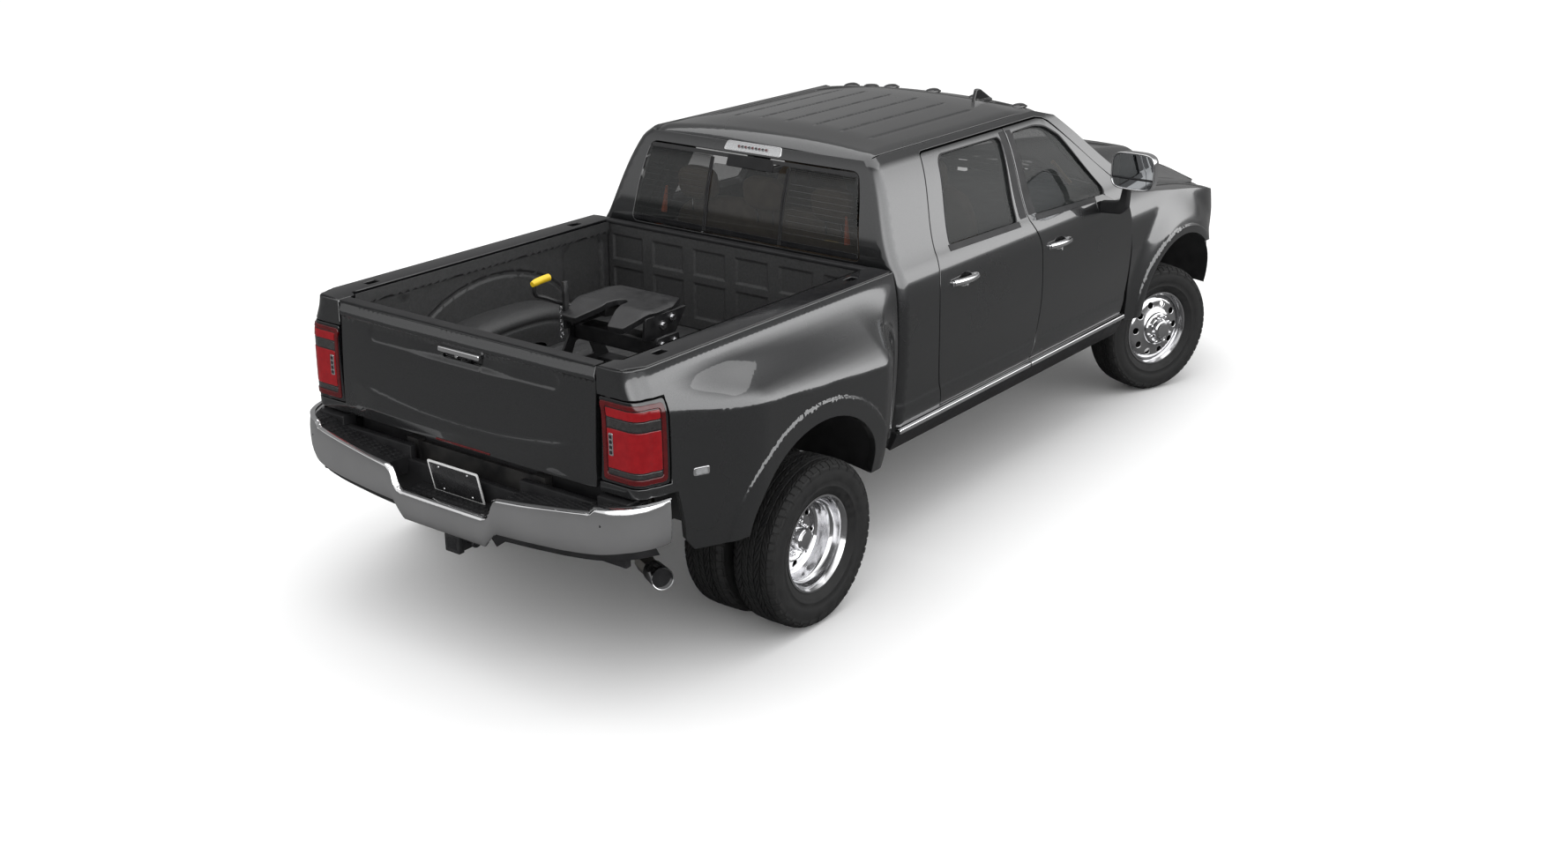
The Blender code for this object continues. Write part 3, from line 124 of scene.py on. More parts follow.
def smoothLine(points, step=0.02, closed=False):
    # a rounded line through the points, with a point about every step
    out = []
    count = len(points)
    pts = [Vector(p) for p in points]
    last = count if closed else count - 1
    for i in range(last):
        if closed:
            p0, p1, p2, p3 = pts[i - 1], pts[i], pts[(i + 1) % count], pts[(i + 2) % count]
        else:
            p1, p2 = pts[i], pts[i + 1]
            p0 = pts[i - 1] if i else p1 * 2 - p2
            p3 = pts[i + 2] if i + 2 < count else p2 * 2 - p1
        parts = max(1, int((p2 - p1).length / step))
        for k in range(parts):
            t = k / parts
            out.append(0.5 * ((2 * p1) + (p2 - p0) * t + (2 * p0 - 5 * p1 + 4 * p2 - p3) * t * t
                              + (3 * p1 - p0 - 3 * p2 + p3) * t ** 3))
    if not closed:
        out.append(pts[-1])
    return out


def roundCorners(points, radius, steps=4):
    # an outline with each corner replaced by a small arc
    out = []
    count = len(points)
    for i in range(count):
        here = Vector(points[i])
        before = Vector(points[i - 1]) - here
        after = Vector(points[(i + 1) % count]) - here
        if before.length < 1e-6 or after.length < 1e-6:
            continue
        reach = min(radius, before.length * 0.45, after.length * 0.45)
        start = here + before.normalized() * reach
        end = here + after.normalized() * reach
        for k in range(steps + 1):
            t = k / steps
            out.append(start * (1 - t) ** 2 + here * 2 * t * (1 - t) + end * t * t)
    return out


def splitEdges(loop, step):
    out = []
    for i, a in enumerate(loop):
        a = Vector(a[:2])
        b = Vector(loop[(i + 1) % len(loop)][:2])
        if (b - a).length < 1e-5:
            continue
        parts = max(1, math.ceil((b - a).length / step))
        for k in range(parts):
            out.append(a + (b - a) * (k / parts))
    return out


def turning(loop):
    area = 0.0
    for i, a in enumerate(loop):
        b = loop[(i + 1) % len(loop)]
        area += a[0] * b[1] - b[0] * a[1]
    return area


def edgeOutward(loop):
    # outward direction at each point of a counter-clockwise loop
    out = []
    count = len(loop)
    for i in range(count):
        a = (loop[i] - loop[i - 1]).normalized()
        b = (loop[(i + 1) % count] - loop[i]).normalized()
        n = Vector((a.y + b.y, -(a.x + b.x)))
        if n.length < 1e-6:
            n = Vector((a.y, -a.x))
        n.normalize()
        lean = max(0.55, n.dot(Vector((a.y, -a.x))))
        out.append(n / lean)
    return out


def insideLoop(points, loop):
    x, y = points[:, 0], points[:, 1]
    ring = np.array([(p[0], p[1]) for p in loop])
    within = np.zeros(len(points), bool)
    j = len(ring) - 1
    for i in range(len(ring)):
        xi, yi = ring[i]
        xj, yj = ring[j]
        if yi != yj:
            cross = ((yi > y) != (yj > y)) & (x < (xj - xi) * (y - yi) / (yj - yi) + xi)
            within ^= cross
        j = i
    return within


# making meshes

def newObject(name, verts, faces, normals=None, faceMats=None):
    mesh = bpy.data.meshes.new(name)
    mesh.from_pydata([tuple(v) for v in verts], [], faces)
    if faceMats is not None:
        mesh.polygons.foreach_set("material_index", faceMats)
    mesh.shade_smooth()
    mesh.update()
    if normals is not None:
        mesh.normals_split_custom_set_from_vertices([tuple(n) for n in normals])
    obj = bpy.data.objects.new(name, mesh)
    bpy.context.scene.collection.objects.link(obj)
    return obj


def skinPanel(name, loop, place, holes=(), step=0.03, hem=0.004, depth=0.012, back=False, flip=False,
              marks=()):
    # a sheet on the surface place(u, v), with rolled edges turned in by depth, and a back face if asked
    def surface(u, v):
        e = 0.0012
        p = Vector(place(u, v))
        du = Vector(place(u + e, v)) - Vector(place(u - e, v))
        dv = Vector(place(u, v + e)) - Vector(place(u, v - e))
        n = du.cross(dv).normalized()
        return p, (-n if flip else n)

    depthAt = depth if callable(depth) else (lambda u, v: depth)
    loops = []
    for k, line in enumerate([loop, *holes]):
        line = splitEdges(line, step)
        if (turning(line) < 0) != (k > 0):
            line = line[::-1]
        loops.append(line)
    inset = []
    for line in loops:
        inset.append([p - n * hem for p, n in zip(line, edgeOutward(line))])
    flat = [p for line in inset for p in line]
    edges = []
    start = 0
    for line in inset:
        count = len(line)
        edges += [(start + i, start + (i + 1) % count) for i in range(count)]
        start += count
    border = np.array([(p.x, p.y) for p in flat])
    low, high = border.min(0), border.max(0)
    us = np.arange(low[0] + step / 2, high[0], step)
    vs = np.arange(low[1] + step / 2, high[1], step)
    grid = np.array([(u + (0.25 * step if j % 2 else -0.25 * step), v) for j,
                     v in enumerate(vs) for u in us])
    if len(marks):
        grid = np.concatenate([grid.reshape(-1, 2), np.array([(m[0], m[1]) for m in marks])])
    if len(grid):
        keep = insideLoop(grid, inset[0])
        for line in inset[1:]:
            keep &= ~insideLoop(grid, line)
        grid = grid[keep]
        if len(grid):
            gap = np.sqrt(((grid[:, None, :] - border[None, :, :]) ** 2).sum(2)).min(1)
            grid = grid[gap > 0.4 * min(step, 0.02)]
    points = flat + [Vector(p) for p in grid]
    cdt = delaunay_2d_cdt(points, edges, [], 0, 1e-7)
    where = [orig[0] if orig else None for orig in cdt[3]]
    spots = np.array([(v.x, v.y) for v in cdt[0]])
    tris = np.array([f for f in cdt[2]])
    mid = spots[tris].mean(1)
    keep = insideLoop(mid, inset[0])
    for line in inset[1:]:
        keep &= ~insideLoop(mid, line)
    tris = tris[keep]
    verts, normals, faces, mats = [], [], [], []
    base = []
    for p in points:
        spot, n = surface(p.x, p.y)
        verts.append(spot)
        normals.append(n)
        base.append((spot, n))
    for tri in tris:
        a, b, c = (where[k] for k in tri)
        if None in (a, b, c):
            continue
        order = (a, c, b) if flip else (a, b, c)
        faces.append(order)
        mats.append(0)
    start = 0
    backStart = None
    if back:
        backStart = len(verts)
        for p, (spot, n) in zip(points, base):
            verts.append(spot - n * depthAt(p.x, p.y))
            normals.append(-n)
        front = list(faces)
        for a, b, c in front:
            faces.append((backStart + a, backStart + c, backStart + b))
            mats.append(1)
    for line, near in zip(loops, inset):
        count = len(line)
        rings = [list(range(start, start + count))]
        away = []
        for i in range(count):
            full = surface(line[i].x, line[i].y)[0]
            spot, n = base[start + i]
            t = full - spot
            t -= n * t.dot(n)
            away.append(t.normalized() if t.length > 1e-7 else Vector((0, 0, 1)))
        for angle in (30, 60, 90):
            s, c = math.sin(math.radians(angle)), math.cos(math.radians(angle))
            ring = []
            for i in range(count):
                spot, n = base[start + i]
                ring.append(len(verts))
                verts.append(spot + away[i] * hem * s - n * hem * (1 - c))
                normals.append((n * c + away[i] * s).normalized())
            rings.append(ring)
        ring = []
        for i in range(count):
            spot, n = base[start + i]
            ring.append(len(verts))
            verts.append(spot + away[i] * hem - n * depthAt(line[i].x, line[i].y))
            normals.append(away[i])
        rings.append(ring)
        if back:
            lastRing = []
            for i in range(count):
                spot, n = base[start + i]
                lastRing.append(len(verts))
                verts.append(spot + away[i] * hem - n * depthAt(line[i].x, line[i].y))
                normals.append(-n)
            rings.append(lastRing)
            rings.append([backStart + start + i for i in range(count)])
        for k, (a, b) in enumerate(zip(rings, rings[1:])):
            if back and k == 4:
                continue
            for i in range(count):
                j = (i + 1) % count
                face = (a[i], b[i], b[j], a[j])
                faces.append(face[::-1] if flip else face)
                mats.append(1 if (back and k >= 5) else 0)
        start += count
    return newObject(name, verts, faces, normals, mats)


def turned(name, profile, steps=64, matrix=None, sharp=35):
    # a profile of (radius, along) spun round Z, then placed
    rings = []
    verts, faces = [], []
    for radius, along in profile:
        if radius < 1e-6:
            rings.append([len(verts)] * steps)
            verts.append(Vector((0, 0, along)))
            continue
        ring = []
        for i in range(steps):
            a = 2 * math.pi * i / steps
            ring.append(len(verts))
            verts.append(Vector((radius * math.cos(a), radius * math.sin(a), along)))
        rings.append(ring)
    for a, b in zip(rings, rings[1:]):
        for i in range(steps):
            j = (i + 1) % steps
            face = [a[i], a[j], b[j], b[i]]
            clean = [v for k, v in enumerate(face) if v != face[k - 1]]
            if len(clean) > 2:
                faces.append(clean)
    if matrix is not None:
        verts = [matrix @ v for v in verts]
    obj = newObject(name, verts, faces)
    obj.data.set_sharp_from_angle(angle=math.radians(sharp))
    return obj


def turnedTo(at, degrees, axis):
    return Matrix.Translation(at) @ Matrix.Rotation(math.radians(degrees), 4, axis)


def roundedBox(name, low, high, radius=0.01, segments=3, matrix=None):
    low, high = Vector(low), Vector(high)
    a = Vector([min(p, q) for p, q in zip(low, high)])
    b = Vector([max(p, q) for p, q in zip(low, high)])
    bm = bmesh.new()
    bmesh.ops.create_cube(bm, size=1.0)
    bmesh.ops.scale(bm, vec=b - a, verts=bm.verts)
    radius = min(radius, min(b - a) * 0.49)
    bmesh.ops.bevel(bm, geom=bm.edges[:], offset=radius, segments=segments, profile=0.5, affect="EDGES")
    bmesh.ops.translate(bm, vec=(a + b) / 2, verts=bm.verts)
    return fromBmesh(name, bm, matrix)


def fromBmesh(name, bm, matrix=None, sharp=35):
    if matrix is not None:
        bmesh.ops.transform(bm, matrix=matrix, verts=bm.verts)
    bmesh.ops.recalc_face_normals(bm, faces=bm.faces)
    mesh = bpy.data.meshes.new(name)
    bm.to_mesh(mesh)
    bm.free()
    mesh.shade_smooth()
    mesh.set_sharp_from_angle(angle=math.radians(sharp))
    obj = bpy.data.objects.new(name, mesh)
    bpy.context.scene.collection.objects.link(obj)
    return obj


def slab(name, outline, low, high, matrix=None, bevel=0.003, segments=2):
    # an outline in X and Y made solid from low to high along Z, edges rounded, then placed
    bm = bmesh.new()
    line = [Vector(p[:2]) for p in outline]
    if turning(line) < 0:
        line = line[::-1]
    bottom = [bm.verts.new((p.x, p.y, low)) for p in line]
    face = bm.faces.new(bottom)
    grown = bmesh.ops.extrude_face_region(bm, geom=[face])
    top = [g for g in grown["geom"] if isinstance(g, bmesh.types.BMVert)]
    bmesh.ops.translate(bm, vec=(0, 0, high - low), verts=top)
    if bevel:
        rims = [e for e in bm.edges if abs(e.verts[0].co.z - e.verts[1].co.z) < 1e-6]
        bmesh.ops.bevel(bm, geom=rims, offset=bevel, segments=segments, profile=0.5, affect="EDGES")
    return fromBmesh(name, bm, matrix)


def tube(name, points, radius, sides=14, step=0.02, caps=True, smooth=True, closed=False):
    # a round bar along a line; radius may be one number or one for each point
    pts = [Vector(p) for p in points]
    line = smoothLine(pts, step, closed) if smooth else pts
    verts, faces = [], []
    up = Vector((0, 0, 1))
    count = len(line)
    last = None
    for i, p in enumerate(line):
        a = line[i - 1] if (i or closed) else p
        b = line[(i + 1) % count] if (i + 1 < count or closed) else p
        d = (b - a).normalized()
        if last is None:
            side = d.cross(up)
            if side.length < 0.05:
                side = d.cross(Vector((1, 0, 0)))
        else:
            side = last - d * last.dot(d)
        side.normalize()
        last = side
        other = d.cross(side)
        r = radius if not callable(radius) else radius(i / max(count - 1, 1))
        for k in range(sides):
            w = 2 * math.pi * k / sides
            verts.append(p + side * r * math.cos(w) + other * r * math.sin(w))
    rows = count if closed else count - 1
    for i in range(rows):
        n = (i + 1) % count
        for k in range(sides):
            m = (k + 1) % sides
            faces.append((i * sides + k, i * sides + m, n * sides + m, n * sides + k))
    if caps and not closed:
        faces.append(tuple(range(sides))[::-1])
        faces.append(tuple((count - 1) * sides + k for k in range(sides)))
    obj = newObject(name, verts, faces)
    obj.data.set_sharp_from_angle(angle=math.radians(50))
    return obj


def join(name, *parts):
    # several meshes made one; each keeps its own materials
    verts, faces, mats = [], [], []
    materials = []
    keepNormals = []
    for part in parts:
        mesh = part.data
        base = len(verts)
        slots = []
        for m in mesh.materials:
            if m not in materials:
                materials.append(m)
            slots.append(materials.index(m))
        verts += [part.matrix_world @ v.co for v in mesh.vertices]
        for poly in mesh.polygons:
            faces.append(tuple(base + v for v in poly.vertices))
            mats.append(slots[poly.material_index] if slots else 0)
        corner = mesh.corner_normals
        keepNormals += [tuple(corner[i].vector) for i in range(len(mesh.loops))]
    mesh = bpy.data.meshes.new(name)
    mesh.from_pydata([tuple(v) for v in verts], [], faces)
    for m in materials:
        mesh.materials.append(m)
    mesh.polygons.foreach_set("material_index", mats)
    mesh.shade_smooth()
    mesh.normals_split_custom_set(keepNormals)
    obj = bpy.data.objects.new(name, mesh)
    bpy.context.scene.collection.objects.link(obj)
    for part in parts:
        bpy.data.objects.remove(part, do_unlink=True)
    return obj


def finish(obj, *materials):
    obj.data.materials.clear()
    for material in materials:
        obj.data.materials.append(material)
    return obj


def mount(obj, body, slotName, *nodes):
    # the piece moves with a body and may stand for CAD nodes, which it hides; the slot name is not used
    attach(obj, body)
    if nodes:
        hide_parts(*nodes)
    return obj


# finishes

def addNode(tree, kind, **values):
    node = tree.nodes.new(kind)
    for key, value in values.items():
        setattr(node, key, value)
    return node


def newMaterial(name, look):
    # one finish: colour and roughness that vary with noise, fine bump, and constants on the shader
    mat = bpy.data.materials.new(name)
    mat.use_nodes = True
    tree = mat.node_tree
    shader = tree.nodes["Principled BSDF"]
    coords = addNode(tree, "ShaderNodeTexCoord").outputs["Object"]
    noise = addNode(tree, "ShaderNodeTexNoise")
    noise.inputs["Scale"].default_value = look.get("patch", 6.0)
    noise.inputs["Detail"].default_value = look.get("detail", 4.0)
    tree.links.new(coords, noise.inputs["Vector"])
    ramp = addNode(tree, "ShaderNodeValToRGB")
    ramp.color_ramp.elements[0].position = 0.35
    ramp.color_ramp.elements[1].position = 0.65
    ramp.color_ramp.elements[0].color = (*look["colour"], 1)
    ramp.color_ramp.elements[1].color = (*look.get("colour2", look["colour"]), 1)
    tree.links.new(noise.outputs["Fac"], ramp.inputs["Fac"])
    tree.links.new(ramp.outputs["Color"], shader.inputs["Base Color"])
    rough = addNode(tree, "ShaderNodeMapRange")
    rough.inputs["From Min"].default_value = 0.3
    rough.inputs["From Max"].default_value = 0.7
    low, high = look.get("rough", (0.4, 0.5))
    rough.inputs["To Min"].default_value = low
    rough.inputs["To Max"].default_value = high
    tree.links.new(noise.outputs["Fac"], rough.inputs["Value"])
    tree.links.new(rough.outputs["Result"], shader.inputs["Roughness"])
    shader.inputs["Metallic"].default_value = look.get("metal", 0.0)
    for key, value in look.get("sockets", {}).items():
        shader.inputs[key].default_value = value
    if "grain" in look:
        scale, depth = look["grain"]
        fine = addNode(tree, "ShaderNodeTexNoise")
        fine.inputs["Scale"].default_value = scale
        fine.inputs["Detail"].default_value = 3.0
        tree.links.new(coords, fine.inputs["Vector"])
        bump = addNode(tree, "ShaderNodeBump")
        bump.inputs["Strength"].default_value = look.get("grainStrength", 0.5)
        bump.inputs["Distance"].default_value = depth
        tree.links.new(fine.outputs["Fac"], bump.inputs["Height"])
        tree.links.new(bump.outputs["Normal"], shader.inputs["Normal"])
    return mat


def paintMaterial(name, look):
    # metallic paint: flakes in the base, clear coat over them
    mat = newMaterial(name, look)
    tree = mat.node_tree
    shader = tree.nodes["Principled BSDF"]
    coords = addNode(tree, "ShaderNodeTexCoord").outputs["Object"]
    flake = addNode(tree, "ShaderNodeTexVoronoi")
    flake.inputs["Scale"].default_value = look["flakeScale"]
    tree.links.new(coords, flake.inputs["Vector"])
    ramp = addNode(tree, "ShaderNodeValToRGB")
    ramp.color_ramp.elements[0].position = 0.0
    ramp.color_ramp.elements[1].position = 1.0
    ramp.color_ramp.elements[0].color = (*look["colour"], 1)
    ramp.color_ramp.elements[1].color = (*look["flake"], 1)
    tree.links.new(flake.outputs["Color"], ramp.inputs["Fac"])
    tree.links.new(ramp.outputs["Color"], shader.inputs["Base Color"])
    return mat


looks = {
    "paint": {"colour": (0.022, 0.0225, 0.0235), "flake": (0.044, 0.045, 0.047), "flakeScale": 700.0,
              "metal": 0.70,
              "rough": (0.27, 0.29), "patch": 2.0,
              "sockets": {"Coat Weight": 1.0, "Coat Roughness": 0.03, "Coat IOR": 1.6}},
    "inside": {"colour": (0.016, 0.016, 0.017), "colour2": (0.024, 0.024, 0.025), "rough": (0.45, 0.6),
               "grain": (900.0, 0.0004), "patch": 20.0},
    "plastic": {"colour": (0.010, 0.010, 0.011), "colour2": (0.015, 0.015, 0.016), "rough": (0.46, 0.60),
                "grain": (1200.0, 0.0003), "patch": 14.0, "sockets": {"Specular IOR Level": 0.30}},
    "gloss": {"colour": (0.006, 0.006, 0.007), "colour2": (0.010, 0.010, 0.011), "rough": (0.05, 0.10),
              "patch": 9.0,
              "sockets": {"Coat Weight": 0.6, "Coat Roughness": 0.03}},
    "chrome": {"colour": (0.80, 0.80, 0.81), "colour2": (0.86, 0.86, 0.87), "rough": (0.04, 0.09),
               "metal": 1.0,
               "patch": 5.0},
    "polished": {"colour": (0.56, 0.56, 0.57), "colour2": (0.63, 0.63, 0.64), "rough": (0.10, 0.17),
                 "metal": 1.0,
                 "patch": 16.0},
    "rubber": {"colour": (0.007, 0.007, 0.0073), "colour2": (0.012, 0.012, 0.012), "rough": (0.62, 0.80),
               "sockets": {"Specular IOR Level": 0.30},
               "grain": (500.0, 0.0006), "patch": 30.0},
    "liner": {"colour": (0.026, 0.0265, 0.027), "colour2": (0.044, 0.044, 0.045), "rough": (0.50, 0.68),
              "grain": (420.0, 0.0011), "grainStrength": 0.8, "patch": 90.0},
    "hitch": {"colour": (0.010, 0.010, 0.011), "colour2": (0.018, 0.018, 0.019), "rough": (0.32, 0.46),
              "grain": (350.0, 0.0005), "patch": 25.0},
    "steel": {"colour": (0.020, 0.020, 0.021), "colour2": (0.045, 0.043, 0.041), "rough": (0.45, 0.7),
              "metal": 0.3,
              "grain": (160.0, 0.0008), "patch": 9.0},
    "exhaust": {"colour": (0.30, 0.29, 0.28), "colour2": (0.42, 0.40, 0.37), "rough": (0.28, 0.45),
                "metal": 1.0,
                "patch": 8.0},
    "bolt": {"colour": (0.45, 0.45, 0.46), "colour2": (0.62, 0.62, 0.63), "rough": (0.22, 0.36),
             "metal": 1.0,
             "patch": 60.0},
    "yellow": {"colour": (0.78, 0.52, 0.012), "colour2": (0.86, 0.60, 0.02), "rough": (0.38, 0.5),
               "grain": (300.0, 0.0006), "patch": 40.0},
    "leather": {"colour": (0.17, 0.125, 0.085), "colour2": (0.22, 0.165, 0.115), "rough": (0.42, 0.58),
                "grain": (420.0, 0.0009), "grainStrength": 0.7, "patch": 12.0},
    "darkLeather": {"colour": (0.028, 0.025, 0.023), "colour2": (0.040, 0.036, 0.033),
                    "rough": (0.42, 0.58),
                    "grain": (420.0, 0.0009), "grainStrength": 0.7, "patch": 12.0},
    "tan": {"colour": (0.30, 0.19, 0.10), "colour2": (0.36, 0.24, 0.13), "rough": (0.35, 0.5),
            "patch": 18.0,
            "grain": (300.0, 0.0004)},
    "red": {"colour": (0.200, 0.002, 0.005), "colour2": (0.240, 0.003, 0.006), "rough": (0.06, 0.12),
            "patch": 30.0,
            "sockets": {"Coat Weight": 0.3, "Coat Roughness": 0.03}},
    "darkRed": {"colour": (0.060, 0.001, 0.002), "colour2": (0.085, 0.002, 0.003), "rough": (0.08, 0.14),
                "patch": 30.0, "sockets": {"Coat Weight": 0.3, "Coat Roughness": 0.03}},
    "smoke": {"colour": (0.016, 0.015, 0.015), "colour2": (0.028, 0.026, 0.026), "rough": (0.05, 0.10),
              "patch": 60.0, "sockets": {"Coat Weight": 0.8, "Coat Roughness": 0.03}},
    "silver": {"colour": (0.50, 0.50, 0.51), "colour2": (0.62, 0.62, 0.63), "rough": (0.15, 0.25),
               "metal": 0.9,
               "patch": 60.0},
    "orange": {"colour": (0.75, 0.16, 0.05), "colour2": (0.85, 0.20, 0.07), "rough": (0.4, 0.5),
               "patch": 30.0},
    "plate": {"colour": (0.016, 0.016, 0.017), "colour2": (0.022, 0.022, 0.023), "rough": (0.20, 0.32),
              "patch": 20.0},
    "pale": {"colour": (0.55, 0.55, 0.55), "colour2": (0.62, 0.62, 0.62), "rough": (0.3, 0.4),
             "patch": 20.0},
    # near-black gloss for printed dots and bands, black trim and diodes; also the painted shade in the
    # receiver and exhaust bores
    "dots": {"colour": (0.008, 0.008, 0.009), "colour2": (0.012, 0.012, 0.013), "rough": (0.1, 0.2),
             "patch": 20.0},
    "mirrorGlass": {"colour": (0.60, 0.62, 0.64), "colour2": (0.66, 0.68, 0.70), "rough": (0.01, 0.03),
                    "metal": 1.0,
                    "patch": 5.0},
}
finishes = {}
for finishName, look in looks.items():
    maker = paintMaterial if "flake" in look else newMaterial
    finishes[finishName] = maker(finishName, look)


def glassMaterial(name, look):
    # thin tinted sheet: mostly see-through, with a sharp reflection
    mat = bpy.data.materials.new(name)
    mat.use_nodes = True
    tree = mat.node_tree
    shader = tree.nodes["Principled BSDF"]
    coords = addNode(tree, "ShaderNodeTexCoord").outputs["Object"]
    noise = addNode(tree, "ShaderNodeTexNoise")
    noise.inputs["Scale"].default_value = 3.0
    tree.links.new(coords, noise.inputs["Vector"])
    ramp = addNode(tree, "ShaderNodeValToRGB")
    ramp.color_ramp.elements[0].color = (*look["colour"], 1)
    ramp.color_ramp.elements[1].color = (*look["colour2"], 1)
    tree.links.new(noise.outputs["Fac"], ramp.inputs["Fac"])
    tree.links.new(ramp.outputs["Color"], shader.inputs["Base Color"])
    shader.inputs["Roughness"].default_value = 0.02
    shader.inputs["Metallic"].default_value = 0.0
    shader.inputs["Alpha"].default_value = look["alpha"]
    shader.inputs["Specular IOR Level"].default_value = look.get("shine", 0.5)
    return mat


finishes["glass"] = glassMaterial("glass", {"colour": (0.020, 0.022, 0.022),
    "colour2": (0.024, 0.026, 0.026), "alpha": 0.75, "shine": 0.12})
finishes["rearGlass"] = glassMaterial("rearGlass", {"colour": (0.020, 0.021, 0.021),
    "colour2": (0.024, 0.025, 0.025), "alpha": 0.70})
finishes["lens"] = glassMaterial("lens", {"colour": (0.50, 0.51, 0.52), "colour2": (0.56, 0.57, 0.58),
    "alpha": 0.30})
print("finishes made:", len(finishes))


# body surfaces

bodyShape = {
    "halfWidth": [(0.50, 0.945), (0.62, 0.978), (0.80, 0.998), (1.05, 1.010), (1.25, 1.004), (1.36, 0.990),
                  (1.43, 0.965), (1.47, 0.940), (1.89, 0.765), (1.95, 0.700)],
    "cabBack": [(0.50, -1.015), (1.44, -1.005), (1.88, -0.910), (1.96, -0.865)],
    "hoodLine": [(1.50, 1.345), (1.80, 1.330), (2.30, 1.292), (2.70, 1.245), (2.95, 1.195), (3.10, 1.130)],
    "fenderTop": [(1.05, 0.0), (1.20, 0.014), (1.30, 0.045), (1.36, 0.090), (1.40, 0.130)],
    "bedWidth": [(0.55, 0.965), (0.80, 0.998), (1.05, 1.008), (1.30, 1.002), (1.46, 0.975)],
    "flare": 0.217,
    "frontArch": (2.110, 0.475, 0.585, 1.010),
    "rearArch": (-1.977, 0.462, 0.600, 1.015),
    "cabCorner": 0.055,
    "bedCorner": 0.070,
}
rearDoorBack = [(-0.597, 0.645), (-0.640, 0.82), (-0.664, 1.045), (-0.655, 1.30), (-0.616, 1.509),
                (-0.560, 1.70), (-0.501, 1.882)]
doorSplit = [(0.324, 0.645), (0.372, 0.80), (0.393, 0.983), (0.390, 1.22), (0.376, 1.316), (0.306, 1.438),
             (0.334, 1.912)]
frontDoorFront = [(1.425, 0.645), (1.462, 0.85), (1.474, 1.05), (1.472, 1.201), (1.440, 1.300),
                  (1.395, 1.420),
                  (1.325, 1.490), (0.800, 1.878)]
rearWindow = [(-0.485, 1.465), (0.180, 1.450), (0.255, 1.860), (0.235, 1.880), (-0.330, 1.880),
              (-0.365, 1.850),
              (-0.470, 1.520)]
frontWindow = [(0.395, 1.455), (1.145, 1.425), (1.170, 1.465), (0.850, 1.800), (0.740, 1.862),
               (0.640, 1.880),
               (0.395, 1.880)]
doorTop = 1.912
panelGap = 0.006


def halfWidth(h):
    return readCurve(bodyShape["halfWidth"], h)


def cabBack(h):
    return readCurve(bodyShape["cabBack"], h)


def archLine(centre, half, base, top, grow=0.0, steps=28):
    rise = top - base
    spring = base + 0.1 * rise
    line = [(centre + half + grow, base)]
    for i in range(steps + 1):
        a = math.pi * i / steps
        line.append((centre + (half + grow) * math.cos(a), spring + (0.9 * rise + grow) * math.sin(a)))
    line.append((centre - half - grow, base))
    return line


def archDistance(x, h, centre, half, base, top):
    rise = top - base
    spring = base + 0.1 * rise
    dx, dz = abs(x - centre), max(h - spring, 0.0)
    tall = 0.9 * rise
    k = math.hypot(dx / half, dz / tall)
    return (k - 1) * (half * tall) ** 0.5


def archRing(centre, half, base, top, d, steps=52):
    # points a fixed archDistance outside the arch
    spring, tall = base + 0.1 * (top - base), 0.9 * (top - base)
    k = 1 + d / math.sqrt(half * tall)
    ring = [(centre + half * k * math.cos(math.pi * i / steps),
             spring + tall * k * math.sin(math.pi * i / steps))
            for i in range(steps + 1)]
    legs = [(centre + s * half * k, h) for s in (1, -1) for h in np.arange(base + 0.01, spring, 0.02)]
    return ring + legs


def cabSide(x, h):
    crease = 0.006 * (1 - ease(h, 0.735, 0.765)) * ease(h, 0.60, 0.70)
    return halfWidth(h) + crease


def fenderSide(x, h):
    reach = math.hypot((x - 2.110) / 0.565, (h - 0.45) / 0.66)
    lip = 0.048 * (1 - ease(reach, 0.90, 1.25))
    nose = 0.130 * ease(x, 2.45, 2.98) ** 1.5
    band = 0.007 * (1 - ease(archDistance(x, h, *bodyShape["frontArch"]), 0.050, 0.064))
    return halfWidth(min(h, 1.25)) + lip + band - nose - readCurve(bodyShape["fenderTop"], h)


def bedSide(x, h):
    along = 1 - 0.97 * ease(x, -1.470, -1.040)
    behind = ease(x, -2.965, -2.365)
    ridge = 1.07 + 0.18 * min(max((truck["bedFront"] - x) / 1.75, 0.0), 1.0)
    down = 1 - ease(h, ridge, 1.425)
    tuck = 0.10 * (1 - ease(h, 0.55, 0.85))
    swell = bodyShape["flare"] * along * (0.14 + 0.86 * behind) * down * (1 - tuck)
    band = 0.009 * (1 - ease(archDistance(x, h, *bodyShape["rearArch"]), 0.088, 0.104))
    corner = 0.05 * (1 - ease(x, -2.985, -2.885))
    return readCurve(bodyShape["bedWidth"], h) + swell * 0.985 + band - corner


def roofTop(x, y):
    across = 1 - (min(abs(y), 0.69) / 0.69) ** 2.4
    ends = ease(x, -0.915, -0.55) * (1 - 0.75 * ease(x, 0.35, 0.95))
    return 1.95 + 0.062 * across * (0.45 + 0.55 * ends) - 0.035 * ease(x, 0.55, 0.95)


def hoodTop(x, y):
    dome = 0.072 * (1 - ease(abs(y), 0.26, 0.42)) * (1 - ease(x, 2.80, 3.04))
    crown = 0.062 * (1 - (abs(y) / truck["hoodHalf"]) ** 2)
    return readCurve(bodyShape["hoodLine"], x) + dome + crown


def gateWave(y):
    return 1.02 + 0.06 * (abs(y) / 0.65) ** 2


